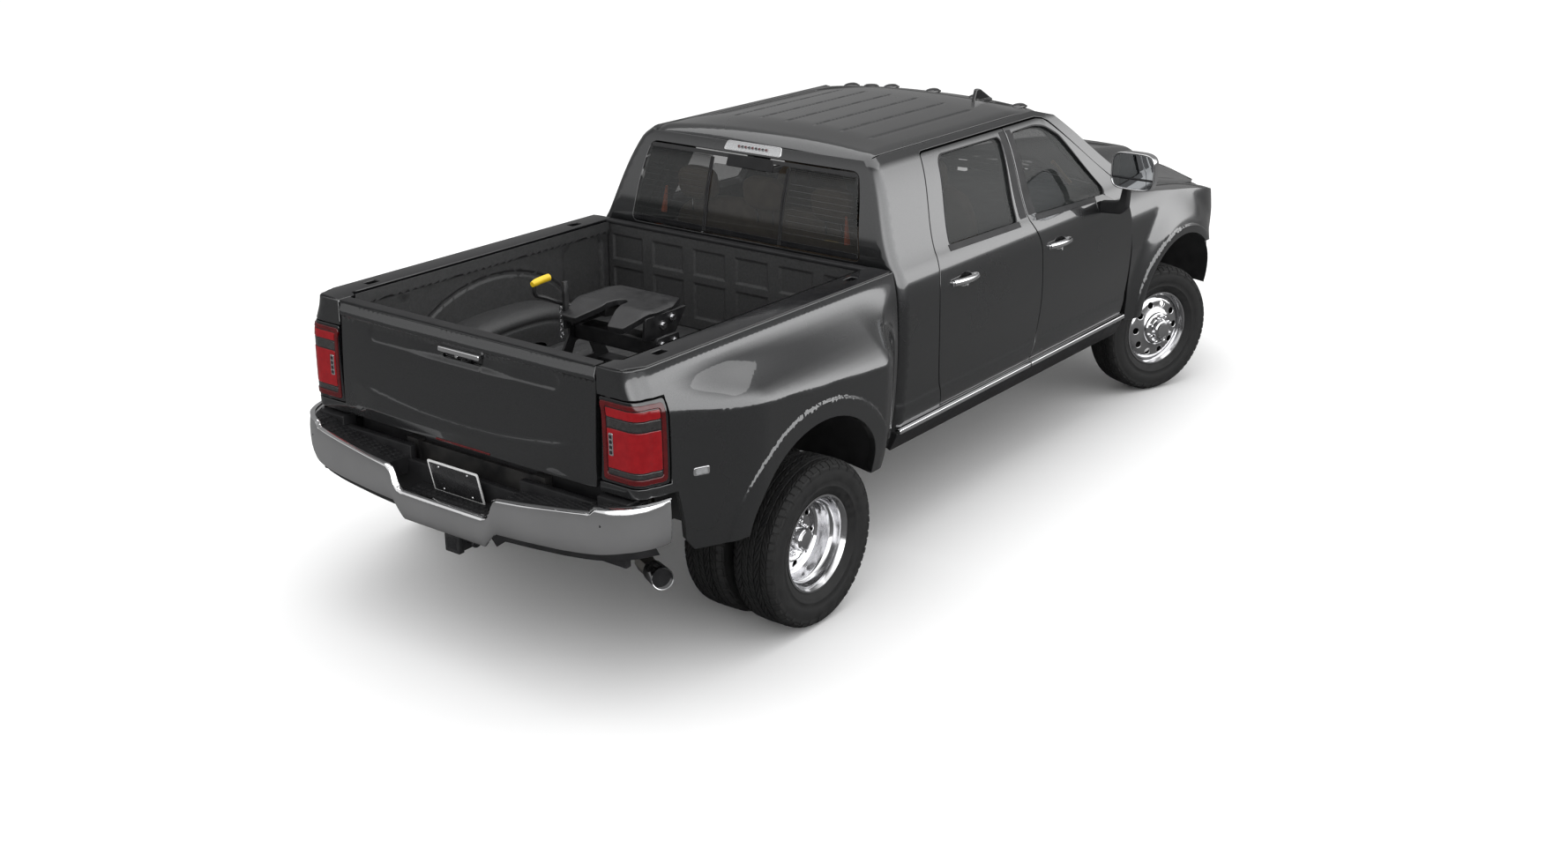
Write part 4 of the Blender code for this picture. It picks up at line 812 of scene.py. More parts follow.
def gateFace(y, h):
    base = readCurve([(0.90, -3.006), (0.98, -3.008), (1.20, -3.000), (1.36, -2.990), (1.46, -2.984)], h)
    lip = -0.013 * ease(h, 1.382, 1.396) * (1 - ease(h, 1.400, 1.452))
    out = math.hypot(max(abs(y) - 0.555, 0.0), h - 1.338) - 0.040
    pocket = (0.004 + 0.010 * (1 - ease(abs(y), 0.13, 0.34))) * (1 - ease(out, -0.022, 0.006))
    fade = 1 - ease(abs(y), 0.56, 0.74)
    crease = -0.0075 * (1 - ease(h, gateWave(y) - 0.014, gateWave(y) + 0.030)) * ease(h, 0.925, 1.00) * fade
    return base + lip + pocket + crease + 0.010 * (abs(y) / 0.79) ** 4


cornerTurn = bodyShape["cabCorner"] * math.pi / 2
cabFlat = 0.9


def cabPlace(u, h):
    # unrolled cab wall: back panel, round corner, then the side
    s = 1 if u >= 0 else -1
    a = abs(u)
    r = bodyShape["cabCorner"]
    wide, back = cabSide(0, h), cabBack(h)
    if a <= cabFlat:
        return (back, s * a / cabFlat * (wide - r), h)
    if a <= cabFlat + cornerTurn:
        t = (a - cabFlat) / r
        return (back + r * (1 - math.cos(t)), s * (wide - r + r * math.sin(t)), h)
    return (back + r + a - cabFlat - cornerTurn, s * wide, h)


def cabU(x, h):
    return cabFlat + cornerTurn + x - cabBack(h) - bodyShape["cabCorner"]


bedTurn = bodyShape["bedCorner"] * math.pi / 2
bedBend = truck["bedBack"] + bodyShape["bedCorner"]


def bedPlace(s):
    # unrolled bed side: along the truck, round the rear corner, then across to the tailgate
    def place(u, h):
        r = bodyShape["bedCorner"]
        if u >= bedBend:
            return (u, s * bedSide(u, h), h)
        wide = bedSide(bedBend, h)
        if u >= bedBend - bedTurn:
            t = (bedBend - u) / r
            return (bedBend - r * math.sin(t), s * (wide - r * (1 - math.cos(t))), h)
        return (bedBend - r, s * (wide - r - (bedBend - bedTurn - u)), h)
    return place


def bedU(y, h):
    # place along the unrolled side of a point on the rear face at half width y
    return bedBend - bedTurn - (bedSide(bedBend, h) - bodyShape["bedCorner"] - y)


def levels(low, high, step=0.04):
    count = max(2, int(abs(high - low) / step))
    return [low + (high - low) * i / count for i in range(count + 1)]


def grown(points, dx, step=0.025):
    return [(p.x + dx, p.y) for p in smoothLine([(x, z, 0) for x, z in points], step)]


def rearDoorEdge(grow=0.0):
    back = grown(rearDoorBack, -grow)
    front = grown(doorSplit[:-1], -panelGap / 2 + grow) + [(doorSplit[-1][0] - panelGap / 2 + grow,
        doorTop)]
    back[0] = (back[0][0], back[0][1] - grow)
    front[0] = (front[0][0], front[0][1] - grow)
    top = [(back[-1][0] + 0.012, doorTop - 0.008 + grow), (back[-1][0] + 0.035, doorTop + grow),
           (front[-1][0], doorTop + grow)]
    return back + top + front[-2::-1]


def frontDoorEdge(grow=0.0):
    back = grown(doorSplit[:-1], panelGap / 2 - grow) + [(doorSplit[-1][0] + panelGap / 2 - grow, doorTop)]
    front = grown(frontDoorFront[:-2], grow) + grown(frontDoorFront[-2:], grow, 0.05)
    back[0] = (back[0][0], back[0][1] - grow)
    front[0] = (front[0][0], front[0][1] - grow)
    front[-1] = (front[-1][0], front[-1][1] + grow)
    top = [(back[-1][0], doorTop + grow), (0.700, doorTop + grow), (0.76, doorTop - 0.011 + grow)]
    return back[:-1] + top + front[::-1]


paint, inside = finishes["paint"], finishes["inside"]
gloss, plastic, chrome = finishes["gloss"], finishes["plastic"], finishes["chrome"]


# cab wall

cabLook = {"bottom": 0.520, "top": 1.946, "sillLine": 0.645, "gap": 0.006, "front": 1.470}


def makeCab():
    def sideLoop(s):
        # from the back's foot round the doorway and back along the roof, on one side
        g = cabLook["gap"]
        rail = [(0.735, cabLook["top"]), (0.895, 1.905), (1.405, 1.530), (1.468, 1.440)]
        doorFront = [(frontDoorFront[-3][0] + g, frontDoorFront[-3][1]),
                     (frontDoorFront[-2][0] + g, frontDoorFront[-2][1]),
                     (frontDoorFront[-1][0] + g, frontDoorFront[-1][1] + g)]
        top = [(0.76, doorTop - 0.011 + g), (0.700, doorTop + g), (-0.466, doorTop + g),
               (-0.489, doorTop - 0.008 + g)]
        back = grown(rearDoorBack, -g)[::-1]
        back[-1] = (back[-1][0], cabLook["sillLine"] - g)
        foot = [(cabLook["front"], cabLook["sillLine"] - g), (cabLook["front"], cabLook["bottom"])]
        line = rail + doorFront + top + back + foot
        line = [(cabU(x, h), h) for x, h in line]
        return [(s * u, h) for u, h in line]

    right = sideLoop(-1)
    left = sideLoop(1)[::-1]
    topEdge = [(s * (cabFlat + cornerTurn * t), 1.946 - 0.014 * (1 - t)) for s,
               t in ((1, 1.0), (1, 0.5), (1, 0.0))]
    header = [(u, 1.932) for u in (0.6, 0.3, 0.0, -0.3, -0.6)]
    topEdge += header + [(-u, h) for u, h in topEdge[::-1]]
    loop = left + topEdge + right
    hole = []
    for y, h in roundCorners([(-0.745, 1.452), (0.745, 1.452), (0.672, 1.878), (-0.672, 1.878)], 0.045, 5):
        hole.append((y / (cabSide(0, h) - bodyShape["cabCorner"]) * cabFlat, h))
    marks = [(s * (cabFlat + cornerTurn * t), h) for s in (1, -1) for t in (0.15, 0.38, 0.62, 0.85)
             for h in levels(0.55, 1.93, 0.022)]
    cab = skinPanel("cabWall", loop, cabPlace, [hole], step=0.03, hem=0.003, depth=0.030, flip=True,
                    marks=marks)
    finish(cab, paint)
    mount(cab, "chassis", "body_paint", "cab_shell")
    return cab


makeCab()
print("cab wall made")


# doors

doorLook = {"thick": 0.096, "frameThick": 0.042, "glassDepth": 0.012, "handleRear": (-0.427, 1.281),
            "handleFront": (0.575, 1.264), "handleLong": 0.235}


def doorDepth(x, h):
    return doorLook["frameThick"] + (doorLook["thick"] - doorLook["frameThick"]) * (1 - ease(h, 1.42,
        1.465))


def makeDoor(word, s, which, edge, hole, body):
    name = which + "Door" + word.capitalize()
    marks = [(x, h) for x in np.arange(-0.65, 1.46, 0.04) for h in (0.735, 0.745, 0.755, 0.765, 1.34, 1.38,
        1.42)]
    cupAt = doorLook["handleFront" if which == "front" else "handleRear"]

    def place(x, h):
        # a shallow cup behind the handle
        reach = math.hypot((x - cupAt[0] - 0.010) / 0.075, (h - cupAt[1]) / 0.036)
        cup = 0.019 * (1 - ease(reach, 0.50, 1.0))
        return (x, s * (cabSide(x, h) - cup), h)

    marks += [(cupAt[0] + 0.010 + 0.075 * k * math.cos(a), cupAt[1] + 0.036 * k * math.sin(a))
              for k in (0.3, 0.55, 0.7, 0.85, 1.0) for a in np.linspace(0, 2 * math.pi, 18, endpoint=False)]
    door = skinPanel(name, edge, place, [roundCorners(hole, 0.030, 4)],
                     step=0.03, hem=0.003, depth=doorDepth, back=True, flip=(s > 0), marks=marks)
    finish(door, paint, inside)
    mount(door, body, "body_paint", "%s_door_%s" % (which, word))

    # the dark strips beside and round the window
    def skinAt(off):
        return lambda x, h: (x, s * (cabSide(x, h) + off), h)

    if which == "rear":
        strip = [(0.222, 1.458), (0.294, 1.458), (0.327, 1.900), (0.272, 1.900)]
    else:
        strip = [(0.318, 1.462), (0.392, 1.462), (0.392, 1.898), (0.346, 1.900)]
    pillar = skinPanel(name + "Pillar", roundCorners(strip, 0.006, 2), skinAt(0.0015), step=0.05,
                       hem=0.0012,
                       depth=0.004, flip=(s > 0))
    finish(pillar, plastic)
    rim = []
    outer = roundCorners(hole, 0.034, 4)
    middle = Vector((sum(p.x for p in outer) / len(outer), sum(p.y for p in outer) / len(outer)))
    for p in outer:
        away = (p - middle).normalized()
        rim.append(p + away * 0.011)
    frameStrip = skinPanel(name + "WindowEdge", rim, skinAt(0.0018), [roundCorners(hole, 0.030, 4)],
                           step=0.05,
                           hem=0.0014, depth=0.012, flip=(s > 0))
    finish(frameStrip, plastic)
    beltLine = [p for p in hole[:2]]
    belt = skinPanel(name + "Belt", [(beltLine[0][0] - 0.02, beltLine[0][1] - 0.026),
        (beltLine[1][0] + 0.02, beltLine[1][1] - 0.026), (beltLine[1][0] + 0.02, beltLine[1][1] + 0.004),
        (beltLine[0][0] - 0.02, beltLine[0][1] + 0.004)], skinAt(0.003), step=0.05, hem=0.002, depth=0.006,
                     flip=(s > 0))
    finish(belt, plastic)
    trim = join(name + "Trim", pillar, frameStrip, belt)
    mount(trim, body, "black_plastic")

    glass = skinPanel(name + "Glass", roundCorners(hole, 0.030, 4), skinAt(-doorLook["glassDepth"]),
                      step=0.06, hem=0.001, depth=0.004, flip=(s > 0))
    finish(glass, finishes["glass"])
    mount(glass, body, "window_glass", "%s_glass_%s" % (which, word))

    # pull handle: a bowed bar on two feet
    cx, cz = cupAt
    reach = doorLook["handleLong"] / 2
    y0 = cabSide(cx, cz)
    bar = []
    for t in np.linspace(-1, 1, 9):
        bar.append((cx + t * reach, s * (y0 + 0.020 - 0.012 * t * t), cz - 0.004 * t))
    rod = tube(name + "Handle", bar, lambda t: 0.0125 + 0.003 * math.sin(math.pi * t), sides=16, step=0.012)
    for v in rod.data.vertices:
        v.co.z = cz + (v.co.z - cz) * 1.25
    foot1 = roundedBox("foot", (cx - reach - 0.006, s * (y0 - 0.006), cz - 0.013),
                       (cx - reach + 0.030, s * (y0 + 0.012), cz + 0.014), 0.005)
    foot2 = roundedBox("foot", (cx + reach - 0.034, s * (y0 - 0.006), cz - 0.014),
                       (cx + reach + 0.006, s * (y0 + 0.014), cz + 0.013), 0.006)
    for part in (rod, foot1, foot2):
        finish(part, chrome)
    handle = join(name + "Handle", rod, foot1, foot2)
    mount(handle, body, "chrome_trim")

    # inner door card: armrest and pocket
    low = 0.70 if which == "front" else -0.45
    card = roundedBox(name + "Armrest", (low, s * (cabSide(0, 1.1) - 0.150), 1.09),
                      (low + 0.52, s * (cabSide(0, 1.1) - 0.094), 1.135), 0.016)
    pocket = roundedBox("pocket", (low - 0.02, s * (cabSide(0, 0.8) - 0.128), 0.76),
                        (low + 0.46, s * (cabSide(0, 0.8) - 0.094), 0.90), 0.018)
    for part in (card, pocket):
        finish(part, finishes["tan"], inside)
    lining = join(name + "Lining", card, pocket)
    mount(lining, body, "interior_plastic")


for word, s in sides:
    makeDoor(word, s, "front", frontDoorEdge(), frontWindow, "front_door_%s_body" % word)
    makeDoor(word, s, "rear", rearDoorEdge(), rearWindow, "rear_door_%s_body" % word)
print("doors made")


# sills, with a bright strip under each door

sillLook = {"from": -1.000, "to": 1.462, "stepAt": 0.33}


def makeSills():
    look = sillLook
    for word, s in sides:
        parts = []
        for x0, x1, z0, z1 in ((look["from"], look["stepAt"] - 0.006, 0.600, 0.625),
                               (look["stepAt"] + 0.006, look["to"], 0.606, 0.631)):
            shape = roundCorners([(x0, z0), (x1, z0 + 0.006), (x1, z1 + 0.006), (x0, z1)], 0.008, 3)
            strip = skinPanel("strip", shape, lambda x, h: (x, s * (halfWidth(0.66) + 0.019), h), step=0.05,
                              hem=0.005, depth=0.018, flip=(s > 0))
            parts.append(finish(strip, chrome))
        bright = join("sillStrip" + word.capitalize(), *parts)
        mount(bright, "chassis", "chrome_trim")

        def blackPlace(x, h):
            tuck = 0.30 * max(0.59 - h, 0.0) ** 1.2
            return (x, s * (cabSide(x, h) + 0.012 - tuck), h)

        line = [(-1.004, 0.500), (1.464, 0.500), (1.464, 0.612), (look["stepAt"], 0.606), (-1.004, 0.604)]
        black = skinPanel("sillBlack" + word.capitalize(), roundCorners(line, 0.01, 3), blackPlace,
                          step=0.05,
                          hem=0.004, depth=0.05, flip=(s > 0))
        finish(black, plastic)
        mount(black, "chassis", "black_plastic")


makeSills()


# roof with its pressed grooves, lights and aerial fin

roofLook = {"half": 0.683, "back": -0.878, "front": 0.870, "grooves": (-0.52, -0.35, -0.175, 0.0, 0.175,
    0.35, 0.52),
            "grooveFrom": -0.62, "grooveTo": 0.34, "grooveDeep": 0.0055, "grooveWide": 0.017,
            "lights": (-0.575, -0.29, 0.0, 0.29, 0.575), "lightX": 0.808}


def roofPlace(x, y):
    look = roofLook
    z = roofTop(x, y)
    z -= 0.055 * max((-0.790 - x) / 0.095, 0.0) ** 2
    z -= 0.009 * max((abs(y) - 0.625) / 0.055, 0.0) ** 2
    run = ease(x, look["grooveFrom"], look["grooveFrom"] + 0.05) * (1 - ease(x, look["grooveTo"],
        look["grooveTo"] + 0.05))
    for g in look["grooves"]:
        d = abs(y - g)
        if d < look["grooveWide"]:
            z -= look["grooveDeep"] * run * (1 - ease(d, 0.002, look["grooveWide"]))
    return (x, y, z)


def makeRoof():
    look = roofLook
    half = look["half"]
    frontEdge = [(look["front"] - 0.030 * (y / half) ** 2, y) for y in np.linspace(-half, half, 17)]
    loop = frontEdge + [(look["back"] + 0.030, half), (look["back"] + 0.008, half - 0.035),
                        (look["back"], half - 0.09), (look["back"], -half + 0.09),
                        (look["back"] + 0.008, -half + 0.035), (look["back"] + 0.030, -half)]
    marks = [(x, g + d) for g in look["grooves"] for d in (-0.017, -0.011, -0.005, 0.0, 0.005, 0.011, 0.017)
             for x in np.arange(-0.66, 0.42, 0.03)]
    marks += [(x, y) for y in np.arange(-0.66, 0.67, 0.03) for x in (-0.865, -0.845, -0.82, -0.80)]
    roof = skinPanel("roofSkin", loop, roofPlace, step=0.035, hem=0.004, depth=0.026, back=True,
                     marks=marks)
    finish(roof, paint, finishes["tan"])
    mount(roof, "chassis", "body_paint", "roof")

    # dark joint strips in the ditches
    parts = []
    for s in (1, -1):
        pts = [(x, s * 0.6900, min(roofPlace(x, s * 0.683)[2] - 0.004, 1.941))
               for x in np.linspace(-0.84, 0.72, 20)]
        parts.append(finish(tube("ditch", pts, 0.0048, sides=8, step=0.05), plastic))
    ditch = join("roofDitches", *parts)
    mount(ditch, "chassis", "black_plastic")

    parts = []
    for y in look["lights"]:
        z = roofPlace(look["lightX"], y)[2]
        shape = []
        for t in np.linspace(0, 1, 9):
            shape.append((0.044 * math.cos(t * math.pi / 2) ** 0.8, 0.021 * math.sin(t * math.pi / 2)))
        lamp = turned("lamp", shape, 28, Matrix.Translation((look["lightX"], y, z - 0.002))
                      @ Matrix.Diagonal((1.5, 0.80, 1, 1)))
        finish(lamp, finishes["gloss"])
        foot = turned("foot", [(0.049, 0.0), (0.049, 0.004), (0.043, 0.006)], 28,
                      Matrix.Translation((look["lightX"], y, z - 0.002))
                      @ Matrix.Diagonal((1.5, 0.82, 1, 1)))
        finish(foot, gloss)
        parts += [lamp, foot]
    lights = join("roofLights", *parts)
    mount(lights, "chassis", "lamp_clear")

    # aerial: a swept fin on a pad, and a low puck beside it
    x0, y0 = 0.700, -0.400
    z0 = roofPlace(x0, y0)[2]
    fin = slab("fin", roundCorners([(-0.105, 0.0), (0.095, 0.0), (-0.038, 0.072), (-0.076, 0.075)], 0.012,
                                   4), -0.011, 0.011,
               turnedTo((x0, y0, z0), 90, "X"), bevel=0.006, segments=4)
    pad = turned("pad", [(0.045, -0.004), (0.045, 0.003), (0.036, 0.010), (0.0, 0.013)], 32,
                 Matrix.Translation((x0, y0, z0)) @ Matrix.Diagonal((2.0, 0.9, 1, 1)))
    puck = turned("puck", [(0.045, -0.003), (0.044, 0.004), (0.034, 0.010), (0.0, 0.012)], 32,
                  Matrix.Translation((0.62, 0.30, roofPlace(0.62, 0.30)[2])))
    for part in (fin, pad, puck):
        finish(part, gloss)
    aerial = join("roofAerial", fin, pad, puck)
    mount(aerial, "chassis", "black_plastic")

    # high stop lamp in the header above the back window
    def headerPlace(off):
        return lambda y, h: (cabBack(h) - off, y, h)

    lens = skinPanel("stopLens", roundCorners([(-0.172, 1.893), (0.172, 1.893), (0.165, 1.930),
        (-0.165, 1.930)], 0.012, 3),
                     headerPlace(0.010), step=0.02, hem=0.003, depth=0.008, flip=True)
    finish(lens, finishes["lens"])
    bezel = skinPanel("stopBezel", roundCorners([(-0.185, 1.888), (0.185, 1.888), (0.176, 1.935),
        (-0.176, 1.935)], 0.014, 3),
                      headerPlace(0.003), step=0.03, hem=0.002, depth=0.006, flip=True)
    finish(bezel, chrome)
    parts = [lens, bezel]
    for i in range(-4, 5):
        spot = turned("diode", [(0.0, 0.0045), (0.006, 0.003), (0.009, 0.0), (0.009, -0.004)], 12,
                      turnedTo((cabBack(1.911) - 0.006, i * 0.022, 1.911), -90, "Y"))
        parts.append(finish(spot, finishes["dots"] if i % 2 else finishes["darkRed"]))
    stop = join("stopLamp", *parts)
    mount(stop, "chassis", "lamp_clear")


makeRoof()
print("roof made")


# windshield and the three-part back window

def windshieldX(y, h):
    return 1.605 - 0.150 * (abs(y) / 0.75) ** 2 - (h - 1.400) * 1.330


def makeGlass():
    def place(y, h):
        return (windshieldX(y, h), y, h)

    outline = [(-0.735, 1.415), (0.735, 1.415), (0.745, 1.45), (0.655, 1.870), (0.60, 1.900), (0.0, 1.914),
               (-0.60, 1.900),
               (-0.655, 1.870), (-0.745, 1.45)]
    pane = skinPanel("windshieldPane", roundCorners(outline, 0.03, 4), place, step=0.06, hem=0.002,
                     depth=0.005)
    finish(pane, finishes["glass"])
    mount(pane, "chassis", "window_glass", "windshield")
    inner = [(y * 0.955, 1.440 + (h - 1.415) * 0.925) for y, h in outline]
    band = skinPanel("windshieldBand", roundCorners(outline, 0.03, 4), lambda y,
                     h: (windshieldX(y, h) - 0.004, y, h - 0.003),
                     [roundCorners(inner, 0.05, 5)], step=0.05, hem=0.001, depth=0.003)
    finish(band, finishes["dots"])
    mount(band, "chassis", "black_plastic")

    # back window: two fixed panes, the sliding one between, on a black frame
    def rear(off):
        return lambda y, h: (cabBack(h) - off, y, h)

    def wide(h):
        return 0.745 - 0.073 * (h - 1.452) / 0.426

    parts = []
    low, high = 1.456, 1.874
    slider = [(-0.235, low + 0.018), (0.235, low + 0.018), (0.235, high - 0.060), (-0.235, high - 0.060)]
    pane = skinPanel("slider", roundCorners(slider, 0.012, 3), rear(-0.004), step=0.06, hem=0.0015,
                     depth=0.004, flip=True)
    parts.append(finish(pane, finishes["rearGlass"]))
    for s in (1, -1):
        line = [(s * 0.245, low + 0.012), (s * (wide(low) - 0.006), low + 0.012),
                (s * (wide(high) - 0.006), high - 0.004),
                (s * 0.245, high - 0.004)]
        pane = skinPanel("side", roundCorners(line, 0.020, 4), rear(0.002), step=0.06, hem=0.0015,
                         depth=0.004, flip=True)
        parts.append(finish(pane, finishes["rearGlass"]))
    panes = join("backWindow", *parts)
    mount(panes, "chassis", "window_glass", "rear_window")

    parts = []
    for s in (1, -1):
        for y in (0.240, 0.252):
            post = tube("post", [(cabBack(h) - 0.001, s * y, h) for h in (low + 0.01, 1.67, high - 0.03)],
                        0.0055, sides=8, step=0.1)
            parts.append(finish(post, plastic))
    cover = skinPanel("cover", roundCorners([(-0.150, 1.812), (0.150, 1.812), (0.145, 1.872),
        (-0.145, 1.872)], 0.008, 3), rear(0.006),
                      step=0.05, hem=0.003, depth=0.008, flip=True)
    parts.append(finish(cover, plastic))
    lowBand = skinPanel("lowBand", roundCorners([(-0.735, low + 0.006), (0.735, low + 0.006),
        (0.728, low + 0.036), (-0.728, low + 0.036)], 0.010, 3), rear(0.0035), step=0.06, hem=0.001,
                        depth=0.002, flip=True)
    parts.append(finish(lowBand, finishes["dots"]))
    topBand = skinPanel("topBand", roundCorners([(-0.662, high - 0.022), (0.662, high - 0.022),
        (0.658, high - 0.002), (-0.658, high - 0.002)], 0.010, 3), rear(0.0035), step=0.06, hem=0.001,
                        depth=0.002, flip=True)
    parts.append(finish(topBand, finishes["dots"]))
    # printed dots fading down from the top band
    verts, faces = [], []
    for row in range(5):
        size = 0.0042 * (1 - row / 6)
        for i in range(-64, 65):
            y = i * 0.0105 + (0.005 if row % 2 else 0.0)
            h = high - 0.028 - row * 0.0085
            if abs(y) > wide(h) - 0.02 or abs(y) < 0.262:
                continue
            x = cabBack(h) - 0.0035
            base = len(verts)
            for k in range(6):
                a = math.pi * k / 3
                verts.append((x, y + size * math.cos(a), h + size * math.sin(a)))
            faces.append(tuple(base + k for k in range(6))[::-1])
    dots = newObject("printedDots", verts, faces)
    parts.append(finish(dots, finishes["dots"]))
    # heater wires
    for s in (1, -1):
        for k in range(9):
            h = low + 0.075 + k * 0.030
            line = [(cabBack(h) + 0.0005, s * y, h) for y in (0.275, 0.45, wide(h) - 0.03)]
            parts.append(finish(tube("heater", line, 0.0009, sides=4, step=0.3), finishes["silver"]))
    for s in (1, -1):
        guide = tube("guide", [(cabBack(1.50) + 0.095, s * 0.600, 1.50),
                               (cabBack(1.62) + 0.085, s * 0.585, 1.640)],
                     lambda t: 0.018 - 0.012 * t, sides=6, step=0.05)
        parts.append(finish(guide, finishes["orange"]))
    trim = join("backWindowTrim", *parts)
    mount(trim, "chassis", "black_plastic")


makeGlass()
print("glass made")


# door mirrors

mirrorLook = {"x": 1.050, "low": 1.502, "high": 1.716, "inner": 1.060, "outer": 1.328, "thick": 0.095}


def makeMirrors():
    look = mirrorLook
    for word, s in sides:
        body = "front_door_%s_body" % word
        yMid = (look["inner"] + look["outer"]) / 2
        half = (look["outer"] - look["inner"]) / 2
        zMid = (look["low"] + look["high"]) / 2
        tall = (look["high"] - look["low"]) / 2

        # rounded shell: a superellipse that shrinks towards its bowed front
        verts, faces = [], []
        rings = 12
        around = 48
        for k in range(rings + 1):
            t = k / rings
            size = (1 - t ** 2.6) ** 0.5 if t < 1 else 0.0
            size = 0.30 + 0.70 * size if t < 1 else 0.30
            x = look["x"] - 0.012 + look["thick"] * math.sin(t * math.pi / 2)
            for i in range(around):
                a = 2 * math.pi * i / around
                c, d = math.cos(a), math.sin(a)
                y = abs(c) ** 0.55 * (1 if c > 0 else -1) * half * size
                z = abs(d) ** 0.50 * (1 if d > 0 else -1) * tall * (0.40 + 0.60 * size)
                verts.append((x, s * (yMid + y), zMid + z))
        for k in range(rings):
            for i in range(around):
                j = (i + 1) % around
                face = (k * around + i, k * around + j, (k + 1) * around + j, (k + 1) * around + i)
                faces.append(face if s > 0 else face[::-1])
        cap = tuple(rings * around + i for i in range(around))
        faces.append(cap if s > 0 else cap[::-1])
        shell = finish(newObject("shell", verts, faces), chrome)

        def facePlace(y, z):
            return (look["x"] - 0.014 - 0.004 * math.cos((y - s * yMid) / half), y, z)

        def oval(size, power=0.45):
            out = []
            for i in range(40):
                a = 2 * math.pi * i / 40
                c, d = math.cos(a), math.sin(a)
                out.append((s * yMid + abs(c) ** power * (1 if c > 0 else -1) * half * size,
                            zMid + abs(d) ** power * (1 if d > 0 else -1) * (tall - half * (1 - size))))
            return out

        rimBand = finish(skinPanel("rimBand", oval(0.99), facePlace, [oval(0.935)], step=0.03, hem=0.003,
                                   depth=0.010, flip=True), chrome)
        lowSplit = look["low"] + 0.066
        upper = [(y, max(z, lowSplit + 0.005)) for y, z in oval(0.925)]
        lower = [(y, min(z, lowSplit - 0.005)) for y, z in oval(0.925)]
        glassUp = finish(skinPanel("glassUp", upper, lambda y, z: (facePlace(y, z)[0] + 0.006, y, z),
                                   step=0.04, hem=0.0015,
                                   depth=0.004, flip=True), finishes["mirrorGlass"])
        glassLow = finish(skinPanel("glassLow", lower, lambda y, z: (facePlace(y, z)[0] + 0.005, y, z),
                                    step=0.04, hem=0.0015,
                                    depth=0.004, flip=True), finishes["mirrorGlass"])
        divide = finish(roundedBox("divide", (look["x"] - 0.020, s * (yMid - half * 0.90),
            lowSplit - 0.005),
                                   (look["x"] - 0.008, s * (yMid + half * 0.90), lowSplit + 0.005), 0.002),
                        plastic)
        head = join("mirrorHead" + word.capitalize(), shell, rimBand, glassUp, glassLow, divide)
        mount(head, body, "chrome_trim", "mirror_" + word)
        y0 = cabSide(1.1, 1.37)
        arm = finish(slab("arm", roundCorners([(y0 - 0.004, 1.335), (y0 - 0.004, 1.405), (1.105, 1.420),
            (1.122, 1.515), (1.160, 1.515), (1.155, 1.385), (1.12, 1.345)], 0.014, 4), 1.070, 1.118,
                          Matrix(((0, 0, 1, 0), (s, 0, 0, 0), (0, 1, 0, 0), (0, 0, 0, 1))), bevel=0.010,
                          segments=4), plastic)
        sail = finish(skinPanel("sail", roundCorners([(1.040, 1.355), (1.250, 1.330), (1.262, 1.372),
            (1.140, 1.432), (1.040, 1.436)], 0.012, 3),
                                lambda x, h: (x, s * (cabSide(x, h) + 0.004), h), step=0.04, hem=0.003,
                                depth=0.010, flip=(s > 0)), gloss)
        base = join("mirrorArm" + word.capitalize(), arm, sail)
        mount(base, body, "black_plastic")


makeMirrors()
print("mirrors made")


# fenders, hood and nose

def makeFenders():
    base = 0.585
    for word, s in sides:
        arch = [(x, max(z, base)) for x, z in archLine(*bodyShape["frontArch"]) if x < 2.110 or z > 0.872]
        top = [(2.690, 1.180), (2.60, 1.203), (2.45, 1.235), (2.28, 1.262), (2.10, 1.285), (1.95, 1.308),
               (1.80, 1.325),
               (1.65, 1.346), (1.488, 1.365)]
        outline = [(1.482, base)] + arch[::-1] + [(2.690, 0.872)] + top
        marks = [p for d in (0.012, 0.035, 0.050, 0.054, 0.058, 0.061, 0.064, 0.075)
                 for p in archRing(*bodyShape["frontArch"], d, 56)]
        marks += [(x, z) for x in np.arange(1.5, 2.7, 0.04) for z in (1.26, 1.29, 1.32)]
        piece = skinPanel("fenderSkin" + word.capitalize(), outline, lambda x,
                          h: (x, s * fenderSide(x, h), h), step=0.032, hem=0.004,
                          depth=0.030, flip=(s > 0), marks=marks)
        finish(piece, paint)
        # inner shoulder that meets the hood, and the dark wheelhouse liner
        shoulder = skinPanel("shoulder", [(1.488, 0.0), (2.690, 0.0), (2.690, 1.0), (1.488, 1.0)], lambda x,
                             t: (x, s * (fenderSide(x, fenderTopAt(x)) * (1 - t)
            + (truck["hoodHalf"] + 0.003) * t), fenderTopAt(x) + 0.006 * math.sin(t * math.pi) + 0.010 * t),
                             step=0.05, hem=0.002, depth=0.010, flip=(s > 0))
        finish(shoulder, paint)
        both = join("fenderSkin" + word.capitalize(), piece, shoulder)
        mount(both, "chassis", "body_paint", "fender_" + word)
        makeHouse("frontHouse" + word.capitalize(), s, bodyShape["frontArch"], 0.56, lambda x,
                  z: fenderSide(x, z) - 0.012)


def fenderTopAt(x):
    return readCurve([(1.488, 1.365), (1.80, 1.325), (2.10, 1.285), (2.45, 1.235), (2.69, 1.180)], x)


